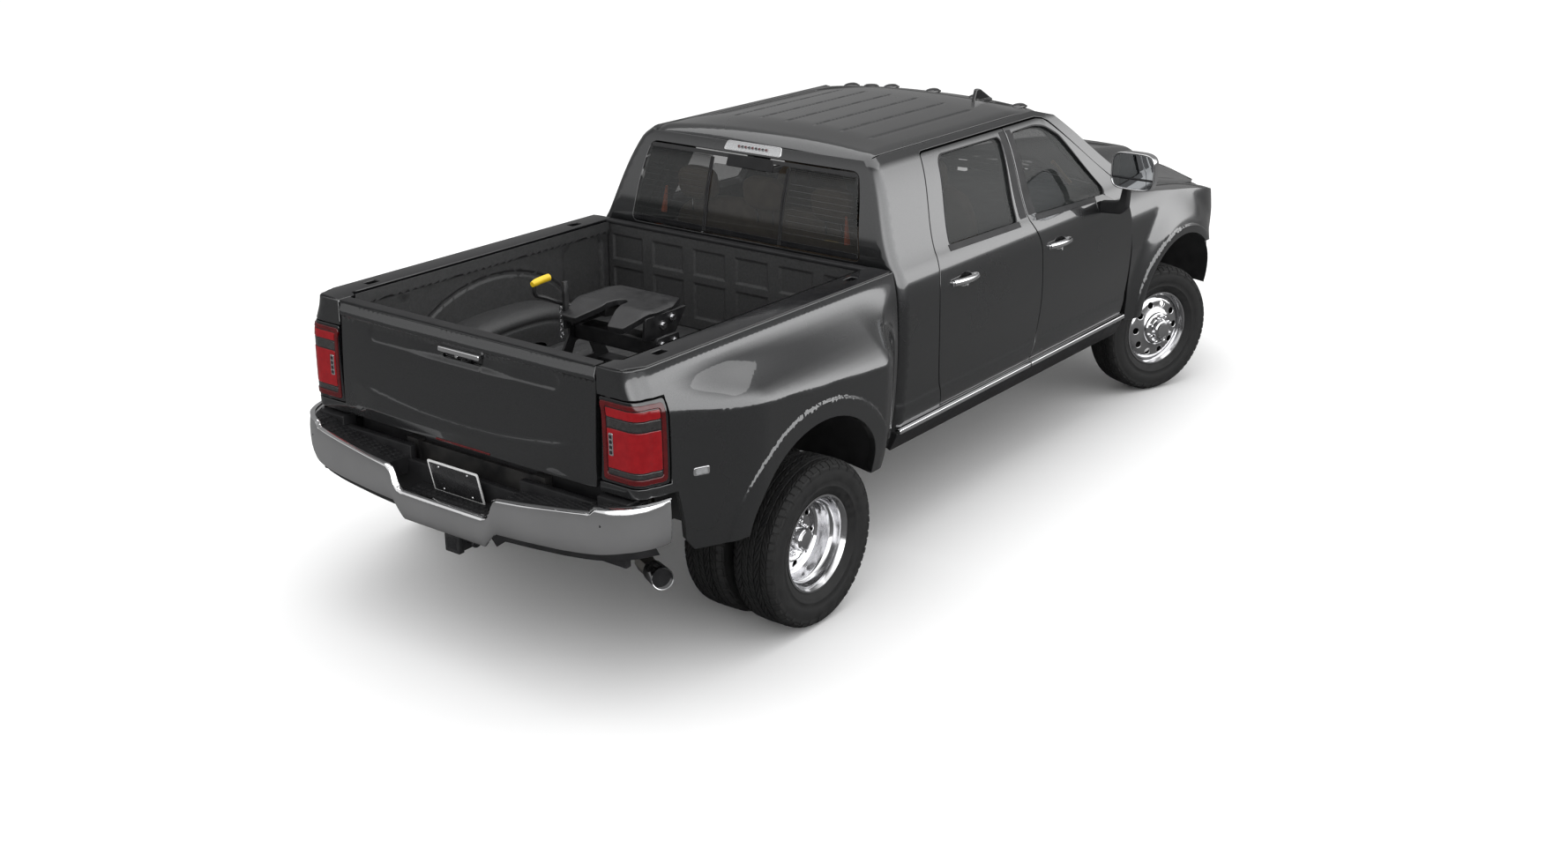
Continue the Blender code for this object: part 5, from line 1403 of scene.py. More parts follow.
def makeHouse(name, s, arch, innerY, outerY):
    # arched tunnel over a wheel, from the arch edge in to the frame side
    line = archLine(*arch, grow=0.004, steps=36)
    verts, faces = [], []
    cols = 8
    for x, z in line:
        for k in range(cols + 1):
            t = k / cols
            y = outerY(x, z) * (1 - t) + innerY * t
            lift = 0.045 * math.sin(min(t * 2.2, 1.0) * math.pi / 2)
            dx, dz = x - arch[0], z - arch[2]
            size = math.hypot(dx, dz)
            verts.append((x + dx / size * lift, s * y, z + max(dz, 0) / size * lift))
    for i in range(len(line) - 1):
        for k in range(cols):
            a = i * (cols + 1) + k
            face = (a, a + 1, a + cols + 2, a + cols + 1)
            faces.append(face if s > 0 else face[::-1])
    house = newObject(name, verts, faces)
    finish(house, inside)
    mount(house, "chassis", "black_plastic")


def makeHood():
    half = truck["hoodHalf"] - 0.006
    rear = [(1.503, -half), (1.510, -0.70), (1.56, -0.52), (1.61, -0.33), (1.640, -0.15), (1.645, 0.0),
            (1.640, 0.15), (1.61, 0.33),
            (1.56, 0.52), (1.510, 0.70), (1.503, half)]
    front = [(2.30, half), (2.60, half), (2.78, half - 0.016), (2.90, half - 0.06), (2.975, 0.62),
             (3.015, 0.45), (3.036, 0.22),
             (3.040, 0.0)]
    loop = rear + front + [(x, -y) for x, y in front[-2::-1]]

    def place(x, y):
        # two shallow channels beside the middle dome, and the fall at the nose
        z = hoodTop(x, y)
        z -= 0.006 * math.exp(-((abs(y) - 0.47) / 0.030) ** 2) * (1 - ease(x, 2.5, 2.8))
        z -= 0.046 * max((x - 2.90) / 0.14, 0.0) ** 2
        z -= 0.012 * max((abs(y) - 0.74) / 0.054, 0.0) ** 2
        z -= 0.046 * ease(x, 2.0, 2.80) * ease(abs(y), 0.45, 0.78)
        return (x, y, z)

    marks = [(x, s * y) for s in (1, -1) for y in (0.26, 0.30, 0.34, 0.38, 0.42, 0.44, 0.47, 0.50)
             for x in np.arange(1.6, 2.95, 0.04)]
    hood = skinPanel("hoodSkin", loop, place, step=0.035, hem=0.004, depth=lambda x,
                     y: 0.024 + 0.030 * ease(x, 2.80, 2.98),
                     back=True, marks=marks)
    finish(hood, paint, inside)
    mount(hood, "hood_lid", "body_paint", "hood")
    # cowl panel below the windshield, with two wipers at rest
    parts = []
    cowl = skinPanel("cowl", [(-0.745, 0.0), (0.745, 0.0), (0.745, 1.0), (-0.745, 1.0)],
                     lambda y, t: (windshieldX(y, 1.395) - 0.016 + (1 - t) * 0.045, y, 1.350 + 0.052 * t),
                     step=0.04, hem=0.002, depth=0.006)
    parts.append(finish(cowl, plastic))
    for y0, y1 in ((-0.62, -0.02), (0.03, 0.66)):
        blade = tube("blade", [(windshieldX(y, 1.424 + 0.016 * k) + 0.012, y, 1.424 + 0.016 * k) for k,
                               y in enumerate(np.linspace(y0, y1, 4))],
                     0.0055, sides=8, step=0.05)
        parts.append(finish(blade, plastic))
    trim = join("cowlPanel", *parts)
    mount(trim, "chassis", "black_plastic")


def noseX(y):
    return 3.175 - readCurve([(0.0, 0.0), (0.30, 0.012), (0.55, 0.060), (0.75, 0.170), (0.88, 0.310),
                              (0.95, 0.480), (0.965, 0.550)], abs(y))


def makeNose():
    # grille: bright surround, dark mesh behind, bright bars
    shape = [(-0.545, 0.880), (0.545, 0.880), (0.575, 1.085), (0.50, 1.132), (0.0, 1.148), (-0.50, 1.132),
             (-0.575, 1.085)]
    shape = roundCorners(shape, 0.03, 4)

    def place(off):
        return lambda y, h: (noseX(y) - 0.050 - (h - 0.875) * 0.12 - off, y, h)

    inner = [(p.x * 0.90, 1.005 + (p.y - 1.005) * 0.74) for p in shape]
    frameRing = skinPanel("ring", shape, place(0.0), [inner], step=0.04, hem=0.007, depth=0.040)
    parts = [finish(frameRing, chrome)]
    mesh = skinPanel("mesh", inner, place(0.034), step=0.08, hem=0.002, depth=0.006)
    parts.append(finish(mesh, plastic))
    for h in (0.945, 0.985, 1.025, 1.065):
        line = [(noseX(y) - 0.066 - (h - 0.875) * 0.12, y, h) for y in np.linspace(-0.50, 0.50, 13)]
        parts.append(finish(tube("bar", line, 0.0085, sides=10, step=0.06), chrome))
    for y in np.linspace(-0.42, 0.42, 9):
        line = [(noseX(y) - 0.070 - (h - 0.875) * 0.12, y, h) for h in (0.915, 1.005, 1.095)]
        parts.append(finish(tube("upright", line, 0.006, sides=8, step=0.08), chrome))
    grille = join("grilleWork", *parts)
    mount(grille, "chassis", "chrome_trim", "grille")

    for word, s in sides:
        shape = [(s * y, h) for y, h in ((0.592, 0.908), (0.852, 0.932), (0.860, 1.122), (0.622, 1.103))]
        shape = roundCorners(shape, 0.022, 4)
        lens = skinPanel("lens", shape, lambda y, h: (noseX(y) - 0.054 - (h - 0.9) * 0.10, y, h), step=0.04,
                         hem=0.006, depth=0.030)
        parts = [finish(lens, finishes["lens"])]
        bowl = skinPanel("bowl", [(p.x, p.y) for p in shape], lambda y,
                         h: (noseX(y) - 0.088 - (h - 0.9) * 0.10, y, h), step=0.05, hem=0.003,
                         depth=0.010)
        parts.append(finish(bowl, finishes["smoke"]))
        for y in (0.665, 0.765):
            at = turnedTo((noseX(y) - 0.085, s * y, 1.015), 90, "Y")
            parts.append(finish(turned("beam", [(0.044, 0.0), (0.042, 0.010), (0.036, 0.006),
                (0.020, -0.002), (0.0, 0.004)], 32, at), chrome))
        lampPiece = join("headlampUnit" + word.capitalize(), *parts)
        mount(lampPiece, "chassis", "lamp_clear", "headlamp_" + word)

    # body-colour header between the grille, the headlamps and the hood
    us = np.linspace(-0.905, 0.905, 49)

    def lowEdge(y):
        return float(np.interp(abs(y), [0.0, 0.50, 0.58, 0.62, 0.86, 0.88, 0.905],
                               [1.146, 1.132, 1.104, 1.108, 1.124, 0.935, 0.880]))

    header = []
    for y in us:
        front, rear = noseX(y) - 0.052 - (lowEdge(y) - 0.9) * 0.11, 2.985 - 0.36 * abs(y) ** 3
        high = readCurve([(0.0, 1.178), (0.45, 1.172), (0.70, 1.165), (0.80, 1.158), (0.905, 1.120)],
                         abs(y))
        for t in (0.0, 0.25, 0.5, 0.75, 1.0):
            bow = math.sin(t * math.pi / 2)
            header.append((front + (rear - front) * t ** 1.6, y, lowEdge(y) + (high - lowEdge(y)) * bow))
    headerFaces = [(5 * i + k, 5 * i + 5 + k, 5 * i + 6 + k, 5 * i + 1 + k) for i in range(len(us) - 1)
                   for k in range(4)]
    headerPanel = finish(newObject("headerPanel", header, headerFaces), paint)
    mount(headerPanel, "chassis", "body_paint")

    # bumper: bright wrapped bar with a dark intake and step
    path = smoothLine([(noseX(y), y, 0) for y in (-0.962, -0.94, -0.88, -0.75, -0.55, -0.30, 0.0, 0.30,
        0.55, 0.75, 0.88, 0.94, 0.962)], 0.01)
    length = [0.0]
    for a, b in zip(path, path[1:]):
        length.append(length[-1] + (b - a).length)
    total = length[-1]

    def at(u):
        d = min(max(u + total / 2, 0.0), total)
        k = min(int(np.searchsorted(length, d)), len(path) - 1)
        k = max(k, 1)
        t = (d - length[k - 1]) / (length[k] - length[k - 1])
        return path[k - 1].lerp(path[k], t)

    def place(u, h):
        p = at(u)
        low = 0.522 + 0.075 * ease(abs(p.y), 0.45, 0.97)
        t = (h - low) / (0.858 - low) * 2 - 1
        tuck = 0.020 * abs(t) ** 4
        size = math.hypot(p.x - 2.0, p.y)
        return (p.x - tuck * (p.x - 2.0) / size, p.y * (1 - tuck / size), h)

    def low(u):
        return 0.522 + 0.075 * ease(abs(at(u).y), 0.45, 0.97)

    us = np.linspace(-total / 2 + 0.002, total / 2 - 0.002, 61)
    loop = [(u, low(u)) for u in us] + [(u, 0.858) for u in us[::-1]]
    slot1 = roundCorners([(-0.40, 0.570), (0.40, 0.570), (0.43, 0.700), (-0.43, 0.700)], 0.02, 4)
    bar = skinPanel("bumperBar", loop, place, [slot1], step=0.035, hem=0.006, depth=0.035, flip=False)
    finish(bar, chrome)
    dark = finish(roundedBox("intake", (3.085, -0.44, 0.56), (3.125, 0.44, 0.71), 0.008), plastic)
    lip = finish(roundedBox("lip", (2.95, -0.60, 0.515), (3.13, 0.60, 0.535), 0.008), plastic)
    bumper = join("frontBumperBar", bar, dark, lip)
    mount(bumper, "chassis", "chrome_trim", "front_bumper")


makeFenders()
makeHood()
makeNose()
print("nose made")


# bed sides, lamps and tailgate

lampLook = {"low": 0.955, "high": 1.330, "front": -2.835, "edgeY": 0.803}


def makeBedSides():
    look = lampLook
    for word, s in sides:
        arch = [(x, max(z, 0.600)) for x, z in archLine(*bodyShape["rearArch"])]
        rearTop = [(bedU(0.795, h), h) for h in (truck["bedRail"] - 0.003, 1.40, look["high"] + 0.004)]
        notch = [(look["front"] + 0.004, look["high"] + 0.004),
                 (look["front"] + 0.004, look["low"] - 0.004)]
        rearLow = [(bedU(0.795, h), h) for h in (look["low"] - 0.004, 0.905)]
        outline = [(truck["bedFront"], 0.595), (truck["bedFront"],
            truck["bedRail"] - 0.003)] + rearTop + notch + rearLow
        outline += [(-2.80, 0.905), (-2.775, 0.80), (-2.745, 0.66), (-2.70, 0.605), (-2.50, 0.598)]
        loop = outline + arch[::-1]
        marks = [p for d in (0.012, 0.040, 0.070, 0.088, 0.092, 0.096, 0.100, 0.104, 0.115)
                 for p in archRing(*bodyShape["rearArch"], d, 64)]
        marks += [(bedBend - bedTurn * t, h) for t in (0.12, 0.3, 0.5, 0.7, 0.88)
                  for h in levels(0.92, 1.45, 0.02)]
        marks += [(x, h) for x in np.arange(-2.9, -1.08, 0.035)
                  for h in (1.07, 1.11, 1.15, 1.19, 1.23, 1.27, 1.31, 1.34, 1.37, 1.40, 1.42, 1.43)]
        skin = skinPanel("bedSideSkin" + word.capitalize(), loop, bedPlace(s), step=0.03, hem=0.004,
                         depth=0.035, flip=(s > 0), marks=marks)
        finish(skin, paint)
        mount(skin, "chassis", "body_paint", "bed_side_" + word)
        makeHouse("rearHouse" + word.capitalize(), s, bodyShape["rearArch"], 0.66, lambda x,
                  z: bedSide(x, z) - 0.012)
        makeRail(s)
        makeLamp(word, s)


def makeRail(s):
    # dark cap along the top of the bed side, with stake pockets
    inner = 0.838
    loop = [(x, bedSide(x, 1.455) - 0.006) for x in np.linspace(-1.064, -2.95, 24)]
    loop += [(-2.975, 0.93), (-2.978, 0.800), (-2.878, 0.800), (-2.862, inner), (-1.064, inner)]
    pockets = [roundCorners([(x - 0.035, 0.872), (x + 0.035, 0.872), (x + 0.035, 0.915),
                             (x - 0.035, 0.915)], 0.006, 2)
               for x in (-1.30, -2.70)]
    cap = skinPanel("railCap", loop, lambda x, y: (x, s * y,
        1.4575 + 0.004 * (1 - ((y - 0.90) / 0.08) ** 2)), pockets, step=0.04,
                    hem=0.005, depth=0.014, flip=(s < 0))
    finish(cap, finishes["dots"])
    mount(cap, "chassis", "bed_liner")


def makeLamp(word, s):
    look = lampLook
    place = bedPlace(s)

    def raised(off):
        def put(u, h):
            p = Vector(place(u, h))
            e = 0.002
            n = (Vector(place(u + e, h)) - Vector(place(u - e, h))).cross(Vector((0, 0, 1))).normalized()
            if n.y * s < 0 and abs(n.y) > abs(n.x):
                n = -n
            if n.x > 0.3:
                n = -n
            return p + n * off
        return put

    def box(u0, u1, h0, h1, r=0.012):
        return roundCorners([(u0, h0), (u1, h0), (u1, h1), (u0, h1)], r, 4)

    mid = 1.14
    uFront = look["front"] - 0.002
    uBack = bedU(look["edgeY"], mid)
    h0, h1 = look["low"], look["high"]
    edge = [(bedU(look["edgeY"], h), h) for h in levels(h0, h1, 0.05)]
    shape = roundCorners([(uFront, h1), (uFront, h0), edge[0], edge[-1]], 0.014, 4)
    parts = []
    bezel = skinPanel("bezel", shape, raised(0.000), step=0.03, hem=0.005, depth=0.03, flip=(s > 0))
    parts.append(finish(bezel, gloss))
    u1, u0 = uFront - 0.012, uBack + 0.020
    ring = box(u0, u1, h0 + 0.014, h1 - 0.014, 0.020)
    innerRing = box(u0 + 0.022, u1 - 0.022, h0 + 0.040, h1 - 0.036, 0.014)
    parts.append(finish(skinPanel("redRing", ring, raised(0.0045), [innerRing], step=0.02, hem=0.004,
                                  depth=0.010, flip=(s > 0)),
                        finishes["darkRed"]))
    bands = [("smoke", h0 + 0.044, h0 + 0.066), ("red", h0 + 0.070, h0 + 0.245),
             ("smoke", h1 - 0.125, h1 - 0.084),
             ("red", h1 - 0.080, h1 - 0.040)]
    for finishName, low, high in bands:
        piece = skinPanel("band", box(u0 + 0.025, u1 - 0.025, low, high, 0.008),
                          raised(0.0030 if finishName == "red" else 0.0015),
                          step=0.02, hem=0.003, depth=0.008, flip=(s > 0))
        parts.append(finish(piece, finishes[finishName]))
    insert = skinPanel("insert", box(u0 + 0.034, u0 + 0.058, h0 + 0.125, h0 + 0.225, 0.006), raised(0.0055),
                       step=0.02, hem=0.002,
                       depth=0.005, flip=(s > 0))
    parts.append(finish(insert, finishes["silver"]))
    for k in range(4):
        spot = skinPanel("spot", box(u0 + 0.039, u0 + 0.053, h0 + 0.132 + k * 0.023, h0 + 0.148 + k * 0.023,
            0.003), raised(0.007),
                         step=0.02, hem=0.001, depth=0.003, flip=(s > 0))
        parts.append(finish(spot, gloss))
    lamp = join("tailLampUnit" + word.capitalize(), *parts)
    mount(lamp, "chassis", "lamp_red", "tail_lamp_" + word)
    # small side marker low on the panel behind the wheel
    base = skinPanel("markerBase", box(-2.735, -2.665, 0.960, 0.998, 0.010), raised(0.004), step=0.02,
                     hem=0.003, depth=0.006, flip=(s > 0))
    lens = skinPanel("markerLens", box(-2.725, -2.675, 0.967, 0.991, 0.007), raised(0.007), step=0.02,
                     hem=0.002, depth=0.004, flip=(s > 0))
    marker = join("sideMarker" + word.capitalize(), finish(base, finishes["silver"]),
                  finish(lens, finishes["lens"]))
    mount(marker, "chassis", "lamp_clear")


gateLook = {"low": 0.917, "high": 1.452, "inner": -2.925}


def makeTailgate():
    look = gateLook
    half = 0.7885
    cup = roundCorners([(-0.125, 1.318), (0.125, 1.318), (0.125, 1.368), (-0.125, 1.368)], 0.016, 4)

    loop = roundCorners([(-half, look["low"]), (half, look["low"]), (half, look["high"]),
                         (-half, look["high"])], 0.010, 3)
    marks = [(y, h) for y in np.arange(-0.78, 0.79, 0.03) for h in (1.380, 1.386, 1.391, 1.397, 1.410,
        1.425, 1.440)]
    for y in np.arange(-0.78, 0.79, 0.024):
        marks += [(y, gateWave(y) + d) for d in (-0.030, -0.016, -0.004, 0.008, 0.020, 0.032, 0.050)]
    for r in (0.026, 0.031, 0.036, 0.040, 0.045):
        marks += [(y, 1.338 + side * r) for y in np.arange(-0.555, 0.556, 0.03) for side in (1, -1)]
        marks += [(side * (0.555 + r * math.cos(a)), 1.338 + r * math.sin(a))
                  for a in np.linspace(-1.5, 1.5, 9)
                  for side in (1, -1)]
    skin = skinPanel("gateSkin", loop, lambda y, h: (gateFace(y, h), y, h), [cup], step=0.032, hem=0.004,
                     depth=lambda y, h: look["inner"] - gateFace(y, h) - 0.002, back=True, flip=True,
                     marks=marks)
    finish(skin, paint, finishes["liner"])
    mount(skin, "gate", "body_paint", "tailgate")
    # handle: bright bar over a dark cup, camera under it
    pan = finish(skinPanel("pan", cup, lambda y, h: (-2.962, y, h), step=0.05, hem=0.004, depth=0.004,
                           flip=True), gloss)
    walls = []
    line = [Vector((-2.962, p.x, p.y)) for p in cup] + [Vector((gateFace(p.x, p.y) - 0.0005, p.x, p.y))
        for p in cup]
    count = len(cup)
    faces = [(i, (i + 1) % count, count + (i + 1) % count, count + i) for i in range(count)]
    walls = finish(newObject("cupWall", line, faces), gloss)
    bar = finish(slab("bar", roundCorners([(-0.128, 1.345), (0.128, 1.345), (0.128, 1.371),
        (-0.128, 1.371)], 0.010, 4), 2.978, 3.004,
                      Matrix(((0, 0, -1, 0), (1, 0, 0, 0), (0, 1, 0, 0), (0, 0, 0, 1))), bevel=0.006,
                      segments=3), chrome)
    camera = turned("camera", [(0.0, 0.004), (0.006, 0.003), (0.009, 0.0), (0.014, -0.002),
                               (0.014, -0.010)], 24,
                    turnedTo((-2.972, -0.035, 1.330), -90, "Y"))
    lock = turned("lock", [(0.0, 0.003), (0.008, 0.003), (0.010, 0.0), (0.010, -0.008)], 24,
                  turnedTo((-2.974, 0.040, 1.330), -90, "Y"))
    handle = join("gateHandle", pan, walls, bar, finish(camera, gloss), finish(lock, chrome))
    mount(handle, "gate", "chrome_trim")
    # dark protector along the top edge, and the ribs and panel inside
    topCap = roundedBox("gateCap", (look["inner"] - 0.059, -0.787, 1.4480),
                        (look["inner"] + 0.003, 0.787, 1.4590), 0.004)
    finish(topCap, plastic)
    mount(topCap, "gate", "bed_liner")
    parts = []
    for k in range(7):
        y = (k - 3) * 0.20
        rib = roundedBox("rib", (look["inner"] - 0.001, y - 0.035, 0.990),
                         (look["inner"] + 0.005, y + 0.035, 1.390), 0.0025)
        parts.append(finish(rib, finishes["liner"]))
    ribs = join("gateRibs", *parts)
    mount(ribs, "gate", "bed_liner")
    # thin reflector line over the plate
    red = finish(roundedBox("reflector", (gateFace(0, 0.93) - 0.004, -0.17, 0.924),
                            (gateFace(0, 0.93) + 0.004, 0.17, 0.933), 0.002),
                 finishes["darkRed"])
    mount(red, "gate", "lamp_red")


makeBedSides()
makeTailgate()
print("bed sides and tailgate made")


# rear bumper, plate and receiver

bumperLook = {"path": [(-3.171, 0.0), (-3.169, 0.30), (-3.160, 0.55), (-3.128, 0.85), (-3.066, 0.98),
                       (-2.985, 1.045), (-2.905, 1.074),
                       (-2.850, 1.080)],
              "top": [(0.0, 0.705), (0.262, 0.705), (0.282, 0.710), (0.298, 0.728), (0.312, 0.770),
                      (0.328, 0.797), (0.350, 0.808),
                      (0.50, 0.822), (0.862, 0.862), (0.885, 0.884), (1.00, 0.889), (1.50, 0.893)],
              "low": [(0.0, 0.557), (0.262, 0.557), (0.330, 0.632), (0.70, 0.652), (1.02, 0.680),
                      (1.50, 0.686)]}


def makeRearBumper():
    half = [Vector((x, y, 0)) for x, y in bumperLook["path"]]
    points = [Vector((p.x, -p.y, 0)) for p in half[:0:-1]] + half
    path = smoothLine(points, 0.01)
    length = [0.0]
    for a, b in zip(path, path[1:]):
        length.append(length[-1] + (b - a).length)
    total = length[-1]

    def at(u):
        d = min(max(u + total / 2, 0.0), total)
        k = max(min(int(np.searchsorted(length, d)), len(path) - 1), 1)
        t = (d - length[k - 1]) / (length[k] - length[k - 1])
        return path[k - 1].lerp(path[k], t)

    def topAt(u):
        return straight(bumperLook["top"], abs(u))

    def lowAt(u):
        return straight(bumperLook["low"], abs(u))

    def place(u, h):
        p = at(u)
        low, top = lowAt(u), topAt(u)
        t = (h - low) / (top - low) * 2 - 1
        tuck = 0.012 * abs(t) ** 3 + 0.010 * max(-t, 0) ** 2
        size = math.hypot(p.x + 2.2, p.y)
        return (p.x - tuck * (p.x + 2.2) / size, p.y * (1 - tuck / size), h)

    us = list(np.linspace(-total / 2 + 0.004, total / 2 - 0.004, 91))
    us += [s * y for s in (1, -1) for y in (0.262, 0.272, 0.282, 0.290, 0.298, 0.305, 0.312, 0.320, 0.328,
        0.338, 0.350, 0.862, 0.885)]
    us.sort()
    loop = [(u, lowAt(u)) for u in us] + [(u, topAt(u)) for u in us[::-1]]
    bar = skinPanel("rearBumperBar", loop, place, step=0.028, hem=0.008, depth=0.030, flip=True)
    finish(bar, chrome)
    # bright rolled flange along the top edge
    rim = []
    for u in us:
        p = at(u)
        size = math.hypot(p.x + 2.2, p.y)
        for t in (0.0, 0.004, 0.010, 0.018, 0.024, 0.026):
            k = 0.006 + t
            z = topAt(u) + 0.0035 * math.sin(min(t / 0.020, 1.0) * math.pi * 0.6) - (0.012 if t > 0.025
                else 0.0)
            rim.append((p.x - k * (p.x + 2.2) / size, p.y * (1 - k / size), z))
    rimFaces = [(6 * i + k, 6 * i + k + 1, 6 * i + k + 7, 6 * i + k + 6) for i in range(len(us) - 1)
                for k in range(5)]
    flange = finish(newObject("flange", rim, rimFaces), chrome)
    bar = join("rearBumperBar", bar, flange)
    mount(bar, "chassis", "chrome_trim", "rear_bumper")

    # treaded pads on top, dipping to a step at the middle
    def padLoop(y0, y1):
        out = []
        for y in np.linspace(y0, y1, 17):
            p = at(y * 1.03)
            out.append((p.x + 0.016, p.y))
        back = [(-2.988 if abs(y) < 0.80 else -2.988 + 0.10 * ease(abs(y), 0.86, 1.0), y)
                for y in np.linspace(y1, y0, 9)]
        return out + back

    parts = []
    for s in (1, -1):
        loop = padLoop(s * 0.352, s * 0.985)

        def height(x, y):
            return (x, y, topAt(y * 1.03) - 0.004 - 0.004 * ease(x, -3.08, -3.0))

        parts.append(finish(skinPanel("pad", loop, height, step=0.04, hem=0.004, depth=0.085), plastic))
        for row in range(4):
            for k in range(17):
                y = s * (0.375 + k * 0.034)
                x = -3.015 - row * 0.026 + (0.012 if k % 2 else 0.0)
                if x < at(y).x + 0.032:
                    continue
                z = height(x, y)[2]
                parts.append(finish(roundedBox("tread", (x - 0.008, y - 0.011, z - 0.002),
                    (x + 0.008, y + 0.011, z + 0.003), 0.002, 1),
                                    plastic))
    step = finish(roundedBox("step", (-3.158, -0.272, 0.668), (-2.985, 0.272, 0.699), 0.006), plastic)
    parts.append(step)
    for k in range(15):
        for row in range(3):
            y = -0.24 + k * 0.034
            x = -3.130 + row * 0.030
            parts.append(finish(roundedBox("tread", (x - 0.009, y - 0.011, 0.697),
                (x + 0.009, y + 0.011, 0.702), 0.002, 1), plastic))
    for low, high in (((-3.020, -0.96, 0.600), (-2.986, 0.96, 0.790)),
                      ((-2.902, -0.79, 0.600), (-2.890, 0.79, 0.930)),
                      ((-3.012, 0.345, 0.70), (-2.975, 0.79, 0.852)),
                      ((-3.012, -0.79, 0.70), (-2.975, -0.345, 0.852)),
                      ((-3.012, 0.80, 0.70), (-2.930, 0.97, 0.893)),
                      ((-3.012, -0.97, 0.70), (-2.930, -0.80, 0.893))):
        parts.append(finish(roundedBox("back", low, high, 0.006), plastic))
    for s in (1, -1):
        line = [(p.x + 0.020, p.y * 0.985) for p in (at(s * y) for y in np.linspace(0.30, 1.14, 16))]
        verts = [(x, y, z) for x, y in line for z in (straight(bumperLook["low"], abs(y)) + 0.020,
            straight(bumperLook["low"], abs(y)) - 0.034)]
        verts = [(x + (0.030 if i % 2 else 0.0), y, z) for i, (x, y, z) in enumerate(verts)]
        faces = [(2 * i, 2 * i + 1, 2 * i + 3, 2 * i + 2) for i in range(len(line) - 1)]
        parts.append(finish(newObject("valance", verts, faces), plastic))
    pads = join("bumperPads", *parts)
    mount(pads, "chassis", "black_plastic")

    # blank plate in its pale border, standing between the gate and the step
    tilt = turnedTo((-3.058, 0, 0.775), -13, "Y")
    face = Matrix(((0, 0, -1, 0), (1, 0, 0, 0), (0, 1, 0, 0), (0, 0, 0, 1)))
    border = roundCorners([(-0.160, -0.082), (0.160, -0.082), (0.160, 0.082), (-0.160, 0.082)], 0.012, 4)
    plain = roundCorners([(-0.150, -0.072), (0.150, -0.072), (0.150, 0.072), (-0.150, 0.072)], 0.010, 4)
    a = finish(slab("border", border, 0.0, 0.006, tilt @ face, bevel=0.002), finishes["pale"])
    b = finish(slab("plain", plain, 0.004, 0.0075, tilt @ face, bevel=0.001), finishes["plate"])
    c = finish(roundedBox("hold", (-3.050, -0.10, 0.71), (-3.010, 0.10, 0.78), 0.006), plastic)
    bolts = []
    for y in (-0.09, 0.09):
        for z in (-0.058, 0.058):
            bolts.append(finish(turned("bolt", [(0.0, 0.004), (0.005, 0.003), (0.007, 0.0)], 12,
                tilt @ turnedTo((-0.0075, y, z), -90, "Y")), finishes["bolt"]))
    plate = join("plate", a, b, c, *bolts)
    mount(plate, "chassis", "black_plastic")


def makeReceiver():
    hitch = finishes["hitch"]
    tubePart = roundedBox("tube", (-3.108, -0.040, 0.455), (-2.925, 0.040, 0.535), 0.006)
    parts = [finish(tubePart, hitch)]
    collar = [(-0.046, -0.046), (0.046, -0.046), (0.046, 0.046), (-0.046, 0.046)]
    face = Matrix.Translation((-3.110, 0, 0.495)) @ Matrix(((0, 0, 1, 0), (1, 0, 0, 0), (0, 1, 0, 0),
        (0, 0, 0, 1)))
    parts.append(finish(slab("collar", roundCorners(collar, 0.008, 3), 0.0, 0.030, face, bevel=0.003),
                        hitch))
    # a near-black square laid on the solid collar's end: painted shade standing in for the hollow of the
    # receiver tube
    hole = [(-0.027, -0.027), (0.027, -0.027), (0.027, 0.027), (-0.027, 0.027)]
    parts.append(finish(slab("bore", roundCorners(hole, 0.003, 2), -0.0008, 0.010, face, bevel=0),
                        finishes["dots"]))
    cross = tube("cross", [(-2.955, -0.44, 0.562), (-2.955, 0.44, 0.562)], 0.030, sides=20, step=0.1,
                 smooth=False)
    parts.append(finish(cross, hitch))
    for s in (1, -1):
        parts.append(finish(roundedBox("hang", (-2.980, s * 0.372, 0.575), (-2.930, s * 0.428, 0.700),
            0.005), hitch))
        ring = [(-3.04 + 0.024 * math.cos(a), s * 0.085, 0.498 + 0.020 * math.sin(a))
                for a in np.linspace(0, 2 * math.pi, 14, endpoint=False)]
        parts.append(finish(tube("chainLoop", ring, 0.006, sides=8, closed=True, smooth=False), hitch))
        parts.append(finish(roundedBox("chainTab", (-3.055, s * 0.036, 0.485), (-3.010, s * 0.090, 0.497),
            0.003), hitch))
    receiver = join("receiver", *parts)
    mount(receiver, "chassis", "hitch_black", "hitch_receiver")


makeRearBumper()
makeReceiver()
print("rear bumper made")


# load bed lining

